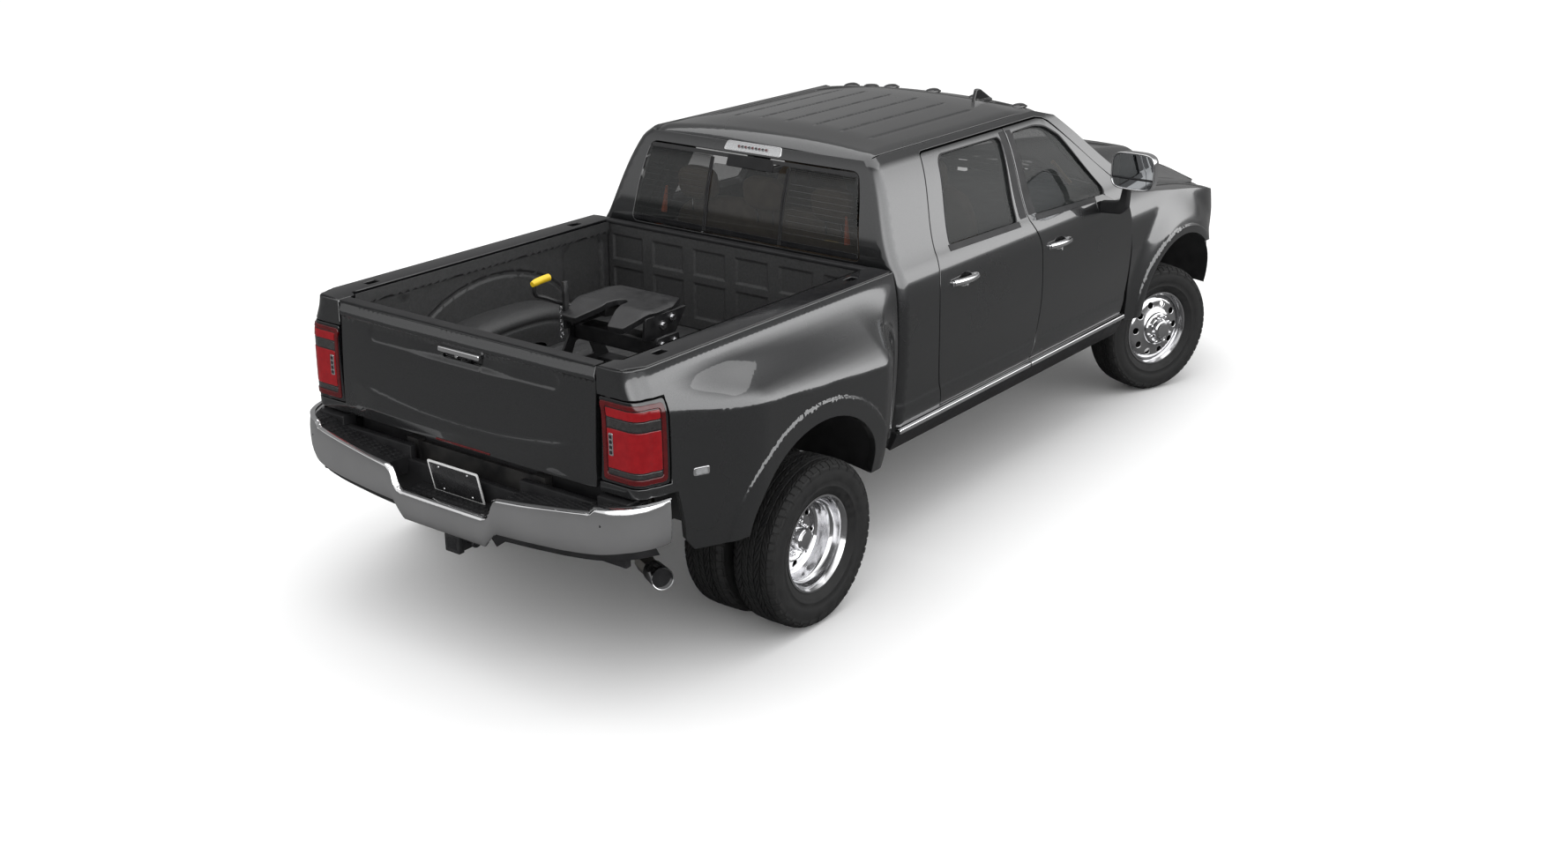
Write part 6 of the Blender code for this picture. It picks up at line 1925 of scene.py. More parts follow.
def makeLiner():
    liner = finishes["liner"]
    z0 = truck["bedFloor"]
    ribWide = 0.128

    def floorPlace(x, y):
        wave = abs((y / ribWide) % 1.0 - 0.5) * 2
        run = ease(x, -2.84, -2.80) * (1 - ease(x, -1.15, -1.11))
        return (x, y, z0 - 0.005 * (1 - ease(wave, 0.30, 0.55)) * run)

    loop = [(-2.918, -0.788), (-2.868, -0.788), (-2.868, -0.840), (-1.064, -0.840), (-1.064, 0.840),
            (-2.868, 0.840), (-2.868, 0.788),
            (-2.918, 0.788)]
    marks = [(x, (k + 0.5 + d) * ribWide) for k in range(-7, 7)
             for d in (-0.30, -0.24, -0.18, -0.12, 0.12, 0.18, 0.24, 0.30)
             for x in np.arange(-2.84, -1.08, 0.06)]
    floor = finish(skinPanel("floor", loop, floorPlace, step=0.06, hem=0.003, depth=0.020, marks=marks),
                   liner)

    # front wall with pressed rectangles
    def press(y, h):
        deep = 0.0
        for c in (-0.70, -0.42, -0.14, 0.14, 0.42, 0.70):
            for low, high in ((1.010, 1.205), (1.245, 1.385)):
                dy = abs(y - c) - 0.105
                dz = abs(h - (low + high) / 2) - (high - low) / 2
                d = max(dy, dz)
                deep = max(deep, 1 - ease(d, -0.014, 0.004))
        return deep

    marks = []
    for c in (-0.70, -0.42, -0.14, 0.14, 0.42, 0.70):
        for low, high in ((1.010, 1.205), (1.245, 1.385)):
            for d in (-0.015, -0.009, -0.004, 0.0, 0.005):
                for t in np.linspace(0, 1, 14):
                    marks += [(c - 0.105 - d + (0.21 + 2 * d) * t, low - d),
                              (c - 0.105 - d + (0.21 + 2 * d) * t, high + d),
                              (c - 0.105 - d, low + (high - low) * t),
                              (c + 0.105 + d, low + (high - low) * t)]
    front = skinPanel("frontWall", [(-0.840, 0.952), (0.840, 0.952), (0.840, 1.452), (-0.840, 1.452)],
                      lambda y, h: (-1.098 + 0.009 * press(y, h) - 0.010 * ease(h, 1.405, 1.425), y, h),
                      step=0.045, hem=0.004,
                      depth=-0.0, flip=True, marks=marks)
    parts = [floor, finish(front, liner)]
    cap = roundedBox("frontCap", (-1.112, -0.842, 1.440), (-1.062, 0.842, 1.459), 0.006)
    parts.append(finish(cap, plastic))

    # side walls: upper ledge, shallow panel, then the wheelhouse with its rounded shoulder
    for s in (1, -1):
        def wall(x, h):
            ledge = 0.020 * ease(h, 1.385, 1.400)
            deep = 0.010 * (1 - ease(max(abs(x + 1.30) - 0.15, abs(h - 1.19) - 0.17), -0.02, 0.005))
            deep += 0.010 * (1 - ease(max(abs(x + 2.66) - 0.13, abs(h - 1.19) - 0.17), -0.02, 0.005))
            bow = archDistance(x, h, -1.977, 0.60, 0.90, 1.33)
            deep += 0.010 * (1 - ease(abs(bow), 0.006, 0.020)) * (1 if h < 1.36 else 0)
            return (x, s * (0.838 + deep - ledge - (0.050 * ease(-x, 2.862, 2.872))), h)

        marks = [(x, z) for g in (-0.022, -0.012, -0.004, 0.004, 0.012, 0.022) for x,
                 z in archLine(-1.977, 0.60, 0.90, 1.33, grow=g, steps=60)]
        marks += [(x, h) for x in np.arange(-2.84, -1.1, 0.05) for h in (1.380, 1.387, 1.394, 1.402)]
        marks += [(x, h) for x in (-1.47, -1.45, -1.43, -1.17, -1.15, -1.13, -2.81, -2.79, -2.77, -2.55,
                                   -2.53, -2.51)
                  for h in np.arange(1.0, 1.38, 0.03)]
        side = skinPanel("sideWall", [(-2.905, 0.950), (-1.100, 0.950), (-1.100, 1.452), (-2.905, 1.452)],
                         wall, step=0.045, hem=0.003,
                         depth=0.0, flip=(s < 0), marks=marks)
        parts.append(finish(side, liner))
        parts.append(finish(makeHump(s), liner))
    # tie-down loops
    for s in (1, -1):
        for x in (-1.16, -2.80):
            loopLine = [(x, s * 0.815, 1.03), (x, s * 0.790, 1.035), (x, s * 0.786, 1.075),
                        (x, s * 0.815, 1.085)]
            parts.append(finish(tube("tieDown", loopLine, 0.006, sides=8, step=0.01), finishes["hitch"]))
    lining = join("bedLining", *parts)
    mount(lining, "chassis", "bed_liner", "bed_box")


def makeHump(s):
    # wheelhouse inside the bed: arched wall bulging from the side, with a rounded shoulder and pressed ring
    rings = []
    profile = []
    for t in np.linspace(0, 1, 7):
        profile.append((0.0, 0.838 - 0.115 * t))
    for t in np.linspace(0, math.pi / 2, 9)[1:]:
        profile.append((-0.075 * (1 - math.cos(t)), 0.723 - 0.073 * math.sin(t)))
    profile += [(-0.095, 0.6495), (-0.105, 0.6545), (-0.125, 0.6560), (-0.135, 0.6510), (-0.150, 0.6495),
                (-0.22, 0.6495), (-0.30, 0.6495)]
    steps = 56
    base, top, half = 0.952, 1.162, 0.482
    verts, faces = [], []
    for i in range(steps + 1):
        a = math.pi * i / steps
        # squarish arch
        c, d = math.cos(a), math.sin(a)
        cx = abs(c) ** 0.72 * (1 if c > 0 else -1)
        dz = abs(d) ** 0.72
        for grow, y in profile:
            verts.append((-1.977 + (half + grow) * cx, s * y,
                          max(base - 0.006, base + (top - base + grow * 0.55 + 0.0) * dz)))
    n = len(profile)
    for i in range(steps):
        for k in range(n - 1):
            a = i * n + k
            face = (a, a + n, a + n + 1, a + 1)
            faces.append(face if s > 0 else face[::-1])
    return newObject("hump", verts, faces)


makeLiner()
print("bed lining made")


# trailer hitch standing in the bed

hitchLook = {"x": -1.93, "top": 1.345}


def makeHitch():
    hitch, bolt = finishes["hitch"], finishes["bolt"]
    x0, top = hitchLook["x"], hitchLook["top"]
    floor = truck["bedFloor"] + 0.001
    parts = []
    for s in (1, -1):
        leg = [(x0 - 0.20, floor), (x0 + 0.20, floor), (x0 + 0.185, floor + 0.045), (x0 + 0.085, 1.145),
               (x0 + 0.080, 1.225),
               (x0 - 0.080, 1.225), (x0 - 0.085, 1.145), (x0 - 0.185, floor + 0.045)]
        window = [(x0 - 0.09, floor + 0.055), (x0 + 0.09, floor + 0.055), (x0 + 0.045, 1.105),
                  (x0 - 0.045, 1.105)]
        panel = skinPanel("leg", roundCorners(leg, 0.015, 3), lambda x, z: (x, s * 0.287, z),
                          [roundCorners(window, 0.02, 4)],
                          step=0.05, hem=0.003, depth=0.014, back=True, flip=(s > 0))
        parts.append(finish(panel, hitch, hitch))
        foot = roundedBox("foot", (x0 - 0.215, s * 0.245, floor), (x0 + 0.215, s * 0.315, floor + 0.014),
                          0.004)
        parts.append(finish(foot, hitch))
        for dx in (-0.19, -0.06, 0.06, 0.19):
            at = Matrix.Translation((x0 + dx, s * 0.303, floor + 0.014))
            parts.append(finish(turned("bolt", [(0.012, 0.0), (0.012, 0.009), (0.009, 0.012), (0.0, 0.012)],
                6, at), bolt))
        for dx, z in ((-0.045, 1.190), (0.045, 1.190), (0.0, 1.135)):
            at = turnedTo((x0 + dx, s * 0.287, z), -90 * s, "X")
            parts.append(finish(turned("bolt", [(0.017, 0.0), (0.017, 0.004), (0.012, 0.004),
                (0.012, 0.013), (0.0, 0.014)], 20, at), bolt))
    parts.append(finish(roundedBox("tube", (x0 - 0.05, -0.275, 1.115), (x0 + 0.05, 0.275, 1.200), 0.010),
                        hitch))
    for dx in (-0.15, 0.15):
        parts.append(finish(roundedBox("rail", (x0 + dx - 0.045, -0.275, floor),
            (x0 + dx + 0.045, 0.275, floor + 0.032), 0.006), hitch))
    base = join("hitchBase", *parts)
    mount(base, "chassis", "hitch_black", "fifth_wheel_base")

    # head: plate open to the rear, its two ears sloping down
    outline = [(x0 + 0.205, -0.190), (x0 + 0.205, 0.190), (x0 + 0.10, 0.240), (x0 - 0.03, 0.245),
               (x0 - 0.225, 0.195),
               (x0 - 0.230, 0.105), (x0 - 0.10, 0.046), (x0 + 0.005, 0.034), (x0 + 0.028, 0.0),
               (x0 + 0.005, -0.034),
               (x0 - 0.10, -0.046), (x0 - 0.230, -0.105), (x0 - 0.225, -0.195), (x0 - 0.03, -0.245),
               (x0 + 0.10, -0.240)]

    def headTop(x, y):
        fall = 0.055 * max((x0 - 0.06 - x) / 0.18, 0.0)
        return (x, y, top - fall - 0.010 * ease(abs(y), 0.215, 0.25))

    marks = [(x0 - 0.06, y) for y in np.arange(-0.24, 0.25, 0.02)] + [(x0 - 0.07, y)
        for y in np.arange(-0.24, 0.25, 0.02)]
    plate = skinPanel("headPlate", roundCorners(outline, 0.014, 4), headTop, step=0.03, hem=0.005,
                      depth=0.030, back=True, marks=marks)
    parts = [finish(plate, hitch, hitch)]
    for s in (1, -1):
        cheek = [(x0 - 0.115, 1.205), (x0 + 0.115, 1.205), (x0 + 0.20, 1.318), (x0 - 0.10, 1.318)]
        panel = skinPanel("cheek", roundCorners(cheek, 0.012, 3), lambda x, z: (x, s * 0.236, z), step=0.06,
                          hem=0.003, depth=0.016,
                          back=True, flip=(s > 0))
        parts.append(finish(panel, hitch, hitch))
        parts.append(finish(slab("jaw", roundCorners([(x0 - 0.05, 0.062), (x0 + 0.07, 0.045),
            (x0 + 0.07, 0.085), (x0 - 0.05, 0.105)], 0.008, 3),
                                 1.262, 1.312, Matrix.Diagonal((1, s, 1, 1)), bevel=0.004),
                            finishes["steel"]))
        for dx, z in ((0.02, 1.262), (0.09, 1.285)):
            at = turnedTo((x0 + dx, s * 0.236, z), -90 * s, "X")
            parts.append(finish(turned("bolt", [(0.021, 0.0), (0.021, 0.005), (0.013, 0.005),
                (0.013, 0.016), (0.0, 0.017)], 20, at), bolt))
    # pull bar: out of the left cheek, bent up and back to the grip
    bar = [(x0 - 0.06, 0.205, 1.290), (x0 - 0.16, 0.220, 1.325), (x0 - 0.255, 0.248, 1.372),
           (x0 - 0.318, 0.257, 1.400),
           (x0 - 0.330, 0.256, 1.430), (x0 - 0.324, 0.253, 1.466)]
    parts.append(finish(tube("pullBar", bar, 0.011, sides=14, step=0.010), hitch))
    post = roundCorners([(x0 - 0.196, 0.190), (x0 - 0.166, 0.190), (x0 - 0.166, 0.208),
                         (x0 - 0.196, 0.208)], 0.004, 2)
    parts.append(finish(slab("post", post, 1.215, 1.448, bevel=0.003), hitch))
    grip = [(x0 - 0.348, 0.250, 1.461), (x0 - 0.310, 0.250, 1.467), (x0 - 0.270, 0.250, 1.470),
            (x0 - 0.236, 0.250, 1.471)]
    parts.append(finish(tube("grip", grip, lambda t: 0.0175 * (1 - 0.25 * max(1 - 3 * t, 0) ** 2), sides=20,
                             step=0.006),
                        finishes["yellow"]))
    for k in range(7):
        ring = [(x0 - 0.150 + 0.009 * math.cos(a), 0.262, 1.290 - 0.022 * k + 0.013 * math.sin(a))
                if k % 2 else
                (x0 - 0.150, 0.262 + 0.009 * math.cos(a), 1.290 - 0.022 * k + 0.013 * math.sin(a))
                for a in np.linspace(0, 2 * math.pi, 12, endpoint=False)]
        parts.append(finish(tube("chain", ring, 0.0025, sides=6, closed=True, smooth=False), bolt))
    head = join("hitchHead", *parts)
    mount(head, "chassis", "hitch_black", "fifth_wheel_head")


makeHitch()
print("hitch made")


# wheels

wheelLook = {"radius": 0.402, "rim": 0.2335, "rimWide": 0.172, "steps": 96, "pitches": 62, "lip": 0.236,
             "kingpin": 0.7405, "rearLip": 1.194, "dual": 0.285}


def outward(s):
    return Matrix.Rotation(math.radians(-90 * s), 4, "X")


def makeTyre(name, at):
    # carcass by turning, tread blocks in rings round it
    look = wheelLook
    R = look["radius"]
    depth = 0.010
    side = [(look["rim"] - 0.004, 0.072), (look["rim"] + 0.004, 0.084), (look["rim"] + 0.012, 0.089),
            (0.262, 0.100), (0.274, 0.1035),
            (0.276, 0.1055), (0.282, 0.1060), (0.284, 0.1045), (0.305, 0.1125), (0.318, 0.1150),
            (0.334, 0.1155), (0.350, 0.1140),
            (0.362, 0.1110), (0.366, 0.1120), (0.371, 0.1110), (0.380, 0.1050), (0.387, 0.0985),
            (R - depth, 0.0900)]
    top = [(R - depth, 0.060), (R - depth + 0.0005, 0.030)]
    profile = side + top
    profile = [(r, -z) for r, z in profile] + [(R - depth + 0.0005, 0.0)] + profile[::-1]
    carcass = turned(name, profile, look["steps"], sharp=60)

    verts, faces = [], []

    def block(a0, a1, y0, y1, skew, low, high, tilt0=0.0, tilt1=0.0):
        base = len(verts)
        inset = 0.0016
        for r, cut in ((low, 0.0), (high - 0.0015, 0.0), (high, inset)):
            for a, y in ((a0, y0), (a1, y0), (a1, y1), (a0, y1)):
                am, ym = (a0 + a1) / 2, (y0 + y1) / 2
                aa = a + (am - a) / max(abs(am - a), 1e-6) * cut / R
                yy = y + (ym - y) / max(abs(ym - y), 1e-6) * cut
                lean = skew * (yy - ym)
                rr = r - (tilt0 if y == y0 else tilt1)
                verts.append(Vector((rr * math.cos(aa + lean), rr * math.sin(aa + lean), yy)))
        for k in (0, 4):
            for i in range(4):
                j = (i + 1) % 4
                faces.append((base + k + i, base + k + j, base + k + 4 + j, base + k + 4 + i))
        faces.append((base + 8, base + 9, base + 10, base + 11))

    n = look["pitches"]
    pitch = 2 * math.pi / n
    low = R - depth - 0.002
    for i in range(n):
        a = i * pitch
        block(a + 0.10 * pitch, a + 0.92 * pitch, -0.0125, 0.0125, 5.0, low, R)
        for s in (1, -1):
            b = a + (0.5 * pitch if s > 0 else 0.25 * pitch)
            y0, y1 = sorted((s * 0.0185, s * 0.0475))
            block(b + 0.08 * pitch, b + 0.90 * pitch, y0, y1, -6.0 * s, low, R - 0.0003)
            y0, y1 = sorted((s * 0.0535, s * 0.0800))
            block(b - 0.30 * pitch, b + 0.48 * pitch, y0, y1, 5.0 * s, low, R - 0.0022)
            y0, y1 = (s * 0.0850, s * 0.1075)
            lowY, highY = min(y0, y1), max(y0, y1)
            outer, inner = 0.0125, 0.0
            block(b + 0.05 * pitch, b + (0.80 if i % 2 else 0.88) * pitch, lowY, highY, 0.0, low - 0.010,
                  R - 0.0045,
                  tilt0=(outer if s < 0 else inner), tilt1=(outer if s > 0 else inner))
            # ribs that carry on down the shoulder
            y0, y1 = sorted((s * 0.1020, s * 0.1135))
            if i % 2:
                block(b + 0.18 * pitch, b + 0.72 * pitch, y0, y1, 0.0, 0.362, 0.3835,
                      tilt0=(0.006 if s < 0 else 0.0), tilt1=(0.006 if s > 0 else 0.0))
    blocks = newObject(name + "Blocks", verts, faces)
    blocks.data.set_sharp_from_angle(angle=math.radians(30))
    rubber = finishes["rubber"]
    tyre = join(name, finish(carcass, rubber), finish(blocks, rubber))
    tyre.data.transform(at)
    return tyre


def holedDisc(name, face, profile, outerR, holes, holeR, ringR, centreR, step=0.016, thick=0.010):
    # wheel disc pressed to a profile of (radius, along), with round holes in a ring
    def circle(cx, cy, r, count):
        return [(cx + r * math.cos(2 * math.pi * i / count), cy + r * math.sin(2 * math.pi * i / count))
                for i in range(count)]

    def place(x, y):
        return (x, y, face + readCurve(profile, math.hypot(x, y)))

    cut = [circle(ringR * math.cos(2 * math.pi * k / holes), ringR * math.sin(2 * math.pi * k / holes),
                  holeR, 20) for k in range(holes)]
    cut.append(circle(0, 0, centreR, 32))
    marks = []
    for k in range(holes):
        a = 2 * math.pi * k / holes
        marks += circle(ringR * math.cos(a), ringR * math.sin(a), holeR + 0.010, 18)
    return skinPanel(name, circle(0, 0, outerR, 72), place, cut, step=step, hem=0.003, depth=thick,
                     back=True, marks=marks)


def lugRing(count, radius, z0, height, size, metal):
    parts = []
    for k in range(count):
        a = 2 * math.pi * (k + 0.5) / count
        at = Matrix.Translation((radius * math.cos(a), radius * math.sin(a), z0))
        shape = [(size * 1.25, -0.004), (size * 1.25, 0.003), (size, 0.004), (size, height * 0.72),
                 (size * 0.86, height * 0.90),
                 (size * 0.50, height), (0.0, height)]
        parts.append(finish(turned("lug", shape, 14, at, sharp=40), metal))
    return parts


def makeFrontRim(name, at):
    # bulged disc with ten hand holes, raised hub with a ring of covers and a plain cap
    look = wheelLook
    metal = finishes["polished"]
    lip = look["rimWide"] / 2
    barrel = turned("barrel", [(look["rim"] + 0.001, -lip), (look["rim"] + 0.002, -lip + 0.008),
                               (0.222, -lip + 0.016), (0.205, -0.02),
                               (0.212, lip - 0.040), (0.2235, lip - 0.022),
                               (look["rim"] - 0.004, lip - 0.008), (look["rim"] + 0.001, lip - 0.003),
                               (look["rim"] + 0.001, lip), (look["rim"] - 0.008, lip + 0.001),
                               (0.217, lip - 0.012), (0.211, lip - 0.022),
                               (0.206, lip - 0.040), (0.200, 0.0), (0.196, -0.030)], 96, sharp=30)
    parts = [finish(barrel, metal)]
    profile = [(0.0, 0.022), (0.085, 0.022), (0.098, 0.020), (0.118, 0.010), (0.150, 0.003),
               (0.180, -0.002), (0.205, -0.020)]
    disc = holedDisc("disc", 0.066, profile, 0.2055, 10, 0.0205, 0.158, 0.060)
    parts.append(finish(disc, metal, finishes["steel"]))
    hub = turned("hub", [(0.104, 0.083), (0.102, 0.096), (0.094, 0.104), (0.070, 0.106), (0.064, 0.108),
                         (0.060, 0.118), (0.057, 0.136),
                         (0.050, 0.142), (0.046, 0.1425), (0.044, 0.1465), (0.030, 0.149), (0.0, 0.150)],
                 64, sharp=28)
    parts.append(finish(hub, metal))
    parts += lugRing(8, 0.082, 0.104, 0.026, 0.0105, metal)
    ring = turned("ring", [(0.0565, 0.132), (0.0585, 0.134), (0.0565, 0.136)], 64)
    parts.append(finish(ring, finishes["plastic"]))
    rim = join(name, *parts)
    rim.data.transform(at)
    return rim


def makeRearRims(name, s):
    # outer wheel: deep stepped dish with hand holes low in it; inner wheel turned the other way
    look = wheelLook
    metal = finishes["polished"]
    lip = look["rimWide"] / 2
    outerAt = Matrix.Translation((truck["rearAxle"], s * (look["rearLip"] - lip),
                                  truck["wheelHeight"])) @ outward(s)
    barrelLine = [(look["rim"] + 0.001, -lip), (look["rim"] + 0.002, -lip + 0.008), (0.222, -lip + 0.016),
                  (0.205, -0.03), (0.212, lip - 0.040),
                  (0.2235, lip - 0.022), (look["rim"] - 0.004, lip - 0.008),
                  (look["rim"] + 0.001, lip - 0.003), (look["rim"] + 0.001, lip),
                  (look["rim"] - 0.008, lip + 0.001), (0.218, lip - 0.010), (0.212, lip - 0.018),
                  (0.209, lip - 0.030), (0.2055, 0.030),
                  (0.1995, 0.018), (0.1935, 0.012), (0.1900, 0.000), (0.1865, -0.030), (0.1800, -0.048),
                  (0.1700, -0.058)]
    barrel = turned("barrel", barrelLine, 96, sharp=24)
    parts = [finish(barrel, metal)]
    profile = [(0.0, -0.014), (0.080, -0.014), (0.092, -0.012), (0.105, -0.002), (0.125, 0.004),
               (0.150, 0.000), (0.173, -0.010)]
    disc = holedDisc("disc", -0.050, profile, 0.1735, 8, 0.0185, 0.136, 0.052)
    parts.append(finish(disc, metal, finishes["steel"]))
    hub = turned("hub", [(0.096, -0.064), (0.094, -0.052), (0.086, -0.046), (0.066, -0.045),
                         (0.060, -0.040), (0.056, -0.012), (0.054, 0.010),
                         (0.049, 0.016), (0.044, 0.0165), (0.042, 0.019), (0.028, 0.021), (0.0, 0.0215)],
                 64, sharp=28)
    parts.append(finish(hub, metal))
    parts += lugRing(8, 0.077, -0.047, 0.024, 0.0100, metal)
    outer = join("outerRim", *parts)
    outer.data.transform(outerAt)
    innerAt = Matrix.Translation((truck["rearAxle"], s * (look["rearLip"] - lip - look["dual"]),
                                  truck["wheelHeight"])) @ outward(-s)
    inner = turned("innerBarrel", barrelLine[:-3] + [(0.10, -0.062), (0.085, -0.066)], 64, innerAt,
                   sharp=24)
    finish(inner, finishes["steel"])
    return join(name, outer, inner)


for word, s in sides:
    turn = Matrix.Rotation(truck["steerRest"], 4, "Z")
    reach = wheelLook["lip"] - wheelLook["rimWide"] / 2
    pivot = Vector((truck["frontAxle"], s * wheelLook["kingpin"], truck["wheelHeight"]))
    frontAt = Matrix.Translation(pivot + turn @ Vector((0, s * reach, 0))) @ turn @ outward(s)
    wheelBody, rearBody = "front_wheel_" + word, "rear_wheels_" + word
    mount(makeFrontRim("frontRim" + word.capitalize(), frontAt), wheelBody, "wheel_metal",
          "front_rim_" + word)
    mount(makeTyre("frontTyre" + word.capitalize(), frontAt), wheelBody, "tyre_rubber",
          "front_tyre_" + word)
    mount(makeRearRims("rearRims" + word.capitalize(), s), rearBody, "wheel_metal", "rear_rims_" + word)
    for spot, off in (("Outer", 0.0), ("Inner", wheelLook["dual"])):
        y = wheelLook["rearLip"] - wheelLook["rimWide"] / 2 - off
        rearAt = Matrix.Translation((truck["rearAxle"], s * y, truck["wheelHeight"])) @ outward(s)
        mount(makeTyre("rearTyre" + spot + word.capitalize(), rearAt), rearBody, "tyre_rubber",
              "rear_tyre_%s_%s" % (spot.lower(), word))
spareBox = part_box("spare_wheel")
spareMid = [(a + b) / 2 for a, b in zip(*spareBox)]
spare = makeTyre("spareTyre", Matrix.Translation(spareMid))
spareDisc = turned("spareDisc", [(0.0, -0.02), (0.10, -0.02), (0.16, 0.0), (0.205, 0.02), (0.232, 0.080)],
                   48, Matrix.Translation(spareMid))
finish(spareDisc, finishes["steel"])
spare = join("spareTyre", spare, spareDisc)
mount(spare, "chassis", "tyre_rubber", "spare_wheel")
print("wheels made")


# seats, dash and steering wheel

seatLook = {"base": 0.700, "front": 0.840, "rear": -0.070, "half": 0.262, "frontY": 0.42}


def cushion(name, low, high, matrix, crown=0.020, seams=(), power=3.2):
    # stuffed pad: a crowned closed form that pulls in at its seams
    low, high = Vector(low), Vector(high)
    mid, size = (low + high) / 2, (high - low) / 2
    bm = bmesh.new()
    bmesh.ops.create_cube(bm, size=2.0)
    bmesh.ops.subdivide_edges(bm, edges=bm.edges[:], cuts=17, use_grid_fill=True)
    for v in bm.verts:
        p = v.co.copy()
        n = (abs(p.x) ** power + abs(p.y) ** power + abs(p.z) ** power) ** (1 / power)
        p = p / n
        q = Vector((p.x * size.x, p.y * size.y, p.z * size.z))
        swell = crown * (1 - (abs(p.x)) ** 2) * (1 - abs(p.y) ** 2) * (1 if p.z > 0 else 0.2)
        q.z += swell * (1 if p.z > 0 else -1)
        if p.z > 0.2:
            for axis, place, deep in seams:
                d = q[axis] - place
                q.z -= deep * math.exp(-(d / 0.007) ** 2)
        v.co = q + mid
    return fromBmesh(name, bm, matrix, sharp=80)


def makeSeat(name, front, y, half, body, node, seams, rests):
    leather = finishes["leather"]
    dark = finishes["darkLeather"]
    z = seatLook["base"]
    parts = []
    flat = turnedTo((front - 0.20, y, z + 0.25), -5, "Y")
    parts.append(finish(cushion("seatPad", (-0.27, -half, -0.06), (0.24, half, 0.075), flat, 0.016, seams),
                        leather))
    lean = turnedTo((front - 0.595, y, z + 0.565), 77, "Y")
    backPad = cushion("backPad", (-0.34, -half + 0.01, -0.060), (0.26, half - 0.01, 0.060), lean, 0.014,
                      seams)
    parts.append(finish(backPad, leather))
    base = roundedBox("base", (front - 0.50, y - half + 0.02, z + 0.001),
                      (front - 0.03, y + half - 0.02, z + 0.19), 0.02)
    parts.append(finish(base, dark))
    for dy in rests:
        restAt = turnedTo((front - 0.735, y + dy, z + 0.955), 82, "Y")
        parts.append(finish(cushion("headRest", (-0.095, -0.125, -0.045), (0.085, 0.125, 0.045), restAt,
                                    0.010, ()), leather))
        for e in (-0.05, 0.05):
            parts.append(finish(tube("stalk", [(front - 0.722, y + dy + e, z + 0.80),
                (front - 0.735, y + dy + e, z + 0.93)], 0.006, sides=8, step=0.1), chrome))
    seat = join(name, *parts)
    mount(seat, body, "seat_leather", node)


seatSeams = [(1, -0.155, 0.010), (1, 0.155, 0.010)] + [(0, x, 0.004)
    for x in (-0.16, -0.08, 0.0, 0.08, 0.16)]
benchSeams = [(1, y, 0.010) for y in (-0.54, -0.20, 0.20, 0.54)] + [(0, x, 0.004)
    for x in (-0.14, -0.05, 0.05, 0.14)]
for word, s in sides:
    makeSeat("frontSeat" + word.capitalize(), seatLook["front"], s * seatLook["frontY"], seatLook["half"],
             "chassis",
             "front_seat_" + word, seatSeams, (0.0,))
makeSeat("rearBench", seatLook["rear"], 0.0, 0.690, "chassis", "rear_bench", benchSeams, (-0.44, 0.0, 0.44))


def makeDash():
    low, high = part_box("dashboard")
    dark, tan = finishes["darkLeather"], finishes["tan"]
    x0, x1 = low[0], high[0]
    outline = [(x1 - 0.005, 1.335), (x1 - 0.02, 1.362), ((x0 + x1) / 2 + 0.05, 1.374), (x0 + 0.05, 1.360),
               (x0 + 0.012, 1.335), (x0 + 0.010, 1.285),
               (x0 + 0.035, 1.240), (x0 + 0.05, 1.150), (x0 + 0.10, 1.02), (x0 + 0.16, low[2] + 0.02),
               (x1 - 0.005, low[2] + 0.02)]
    sideways = Matrix(((1, 0, 0, 0), (0, 0, -1, 0), (0, 1, 0, 0), (0, 0, 0, 1)))
    body = slab("dash", roundCorners(outline, 0.02, 4), low[1] + 0.004, high[1] - 0.004, sideways,
                bevel=0.010, segments=3)
    parts = [finish(body, dark)]
    strip = roundedBox("strip", (x0 + 0.004, low[1] + 0.02, 1.262), (x0 + 0.026, high[1] - 0.02, 1.292),
                       0.006)
    parts.append(finish(strip, tan))
    screen = roundedBox("screen", (x0 - 0.004, -0.125, 1.095), (x0 + 0.045, 0.125, 1.262), 0.010)
    parts.append(finish(screen, gloss))
    hoodlet = roundedBox("dials", (x0 - 0.010, 0.24, 1.290), (x0 + 0.10, 0.56, 1.372), 0.020)
    parts.append(finish(hoodlet, dark))
    for y in (0.33, 0.47):
        at = turnedTo((x0 - 0.010, y, 1.328), -90, "Y")
        parts.append(finish(turned("dial", [(0.036, 0.0), (0.036, 0.004), (0.032, 0.004), (0.030, 0.001),
            (0.0, 0.001)], 32, at), chrome))
    for y in (-0.66, -0.22, 0.22, 0.66):
        parts.append(finish(roundedBox("vent", (x0 + 0.004, y - 0.055, 1.180),
            (x0 + 0.045, y + 0.055, 1.250), 0.008), gloss))
    dash = join("dashPanel", *parts)
    mount(dash, "chassis", "interior_plastic", "dashboard")

    centre = Vector((0.965, 0.40, 1.300))
    lean = turnedTo(centre, -62, "Y")
    ring = [(0.183 * math.cos(a), 0.183 * math.sin(a), 0) for a in np.linspace(0, 2 * math.pi, 40,
        endpoint=False)]
    rim = tube("rim", ring, 0.0145, sides=14, closed=True, smooth=False)
    hub = roundedBox("hub", (-0.060, -0.070, -0.022), (0.050, 0.070, 0.018), 0.018)
    spoke1 = roundedBox("spoke", (-0.020, -0.178, -0.008), (0.020, 0.178, 0.008), 0.007)
    spoke2 = roundedBox("spoke", (-0.178, -0.018, -0.008), (0.0, 0.018, 0.008), 0.007)
    parts = [finish(p, finishes["darkLeather"]) for p in (rim, hub, spoke1, spoke2)]
    for p in parts:
        p.data.transform(lean)
    column = tube("column", [centre + Vector((0.015, 0, -0.01)), (1.120, 0.40, 1.215)], 0.026, sides=14,
                  step=0.1)
    parts.append(finish(column, plastic))
    wheel = join("steeringRim", *parts)
    mount(wheel, "chassis", "interior_plastic", "steering_wheel")


makeDash()

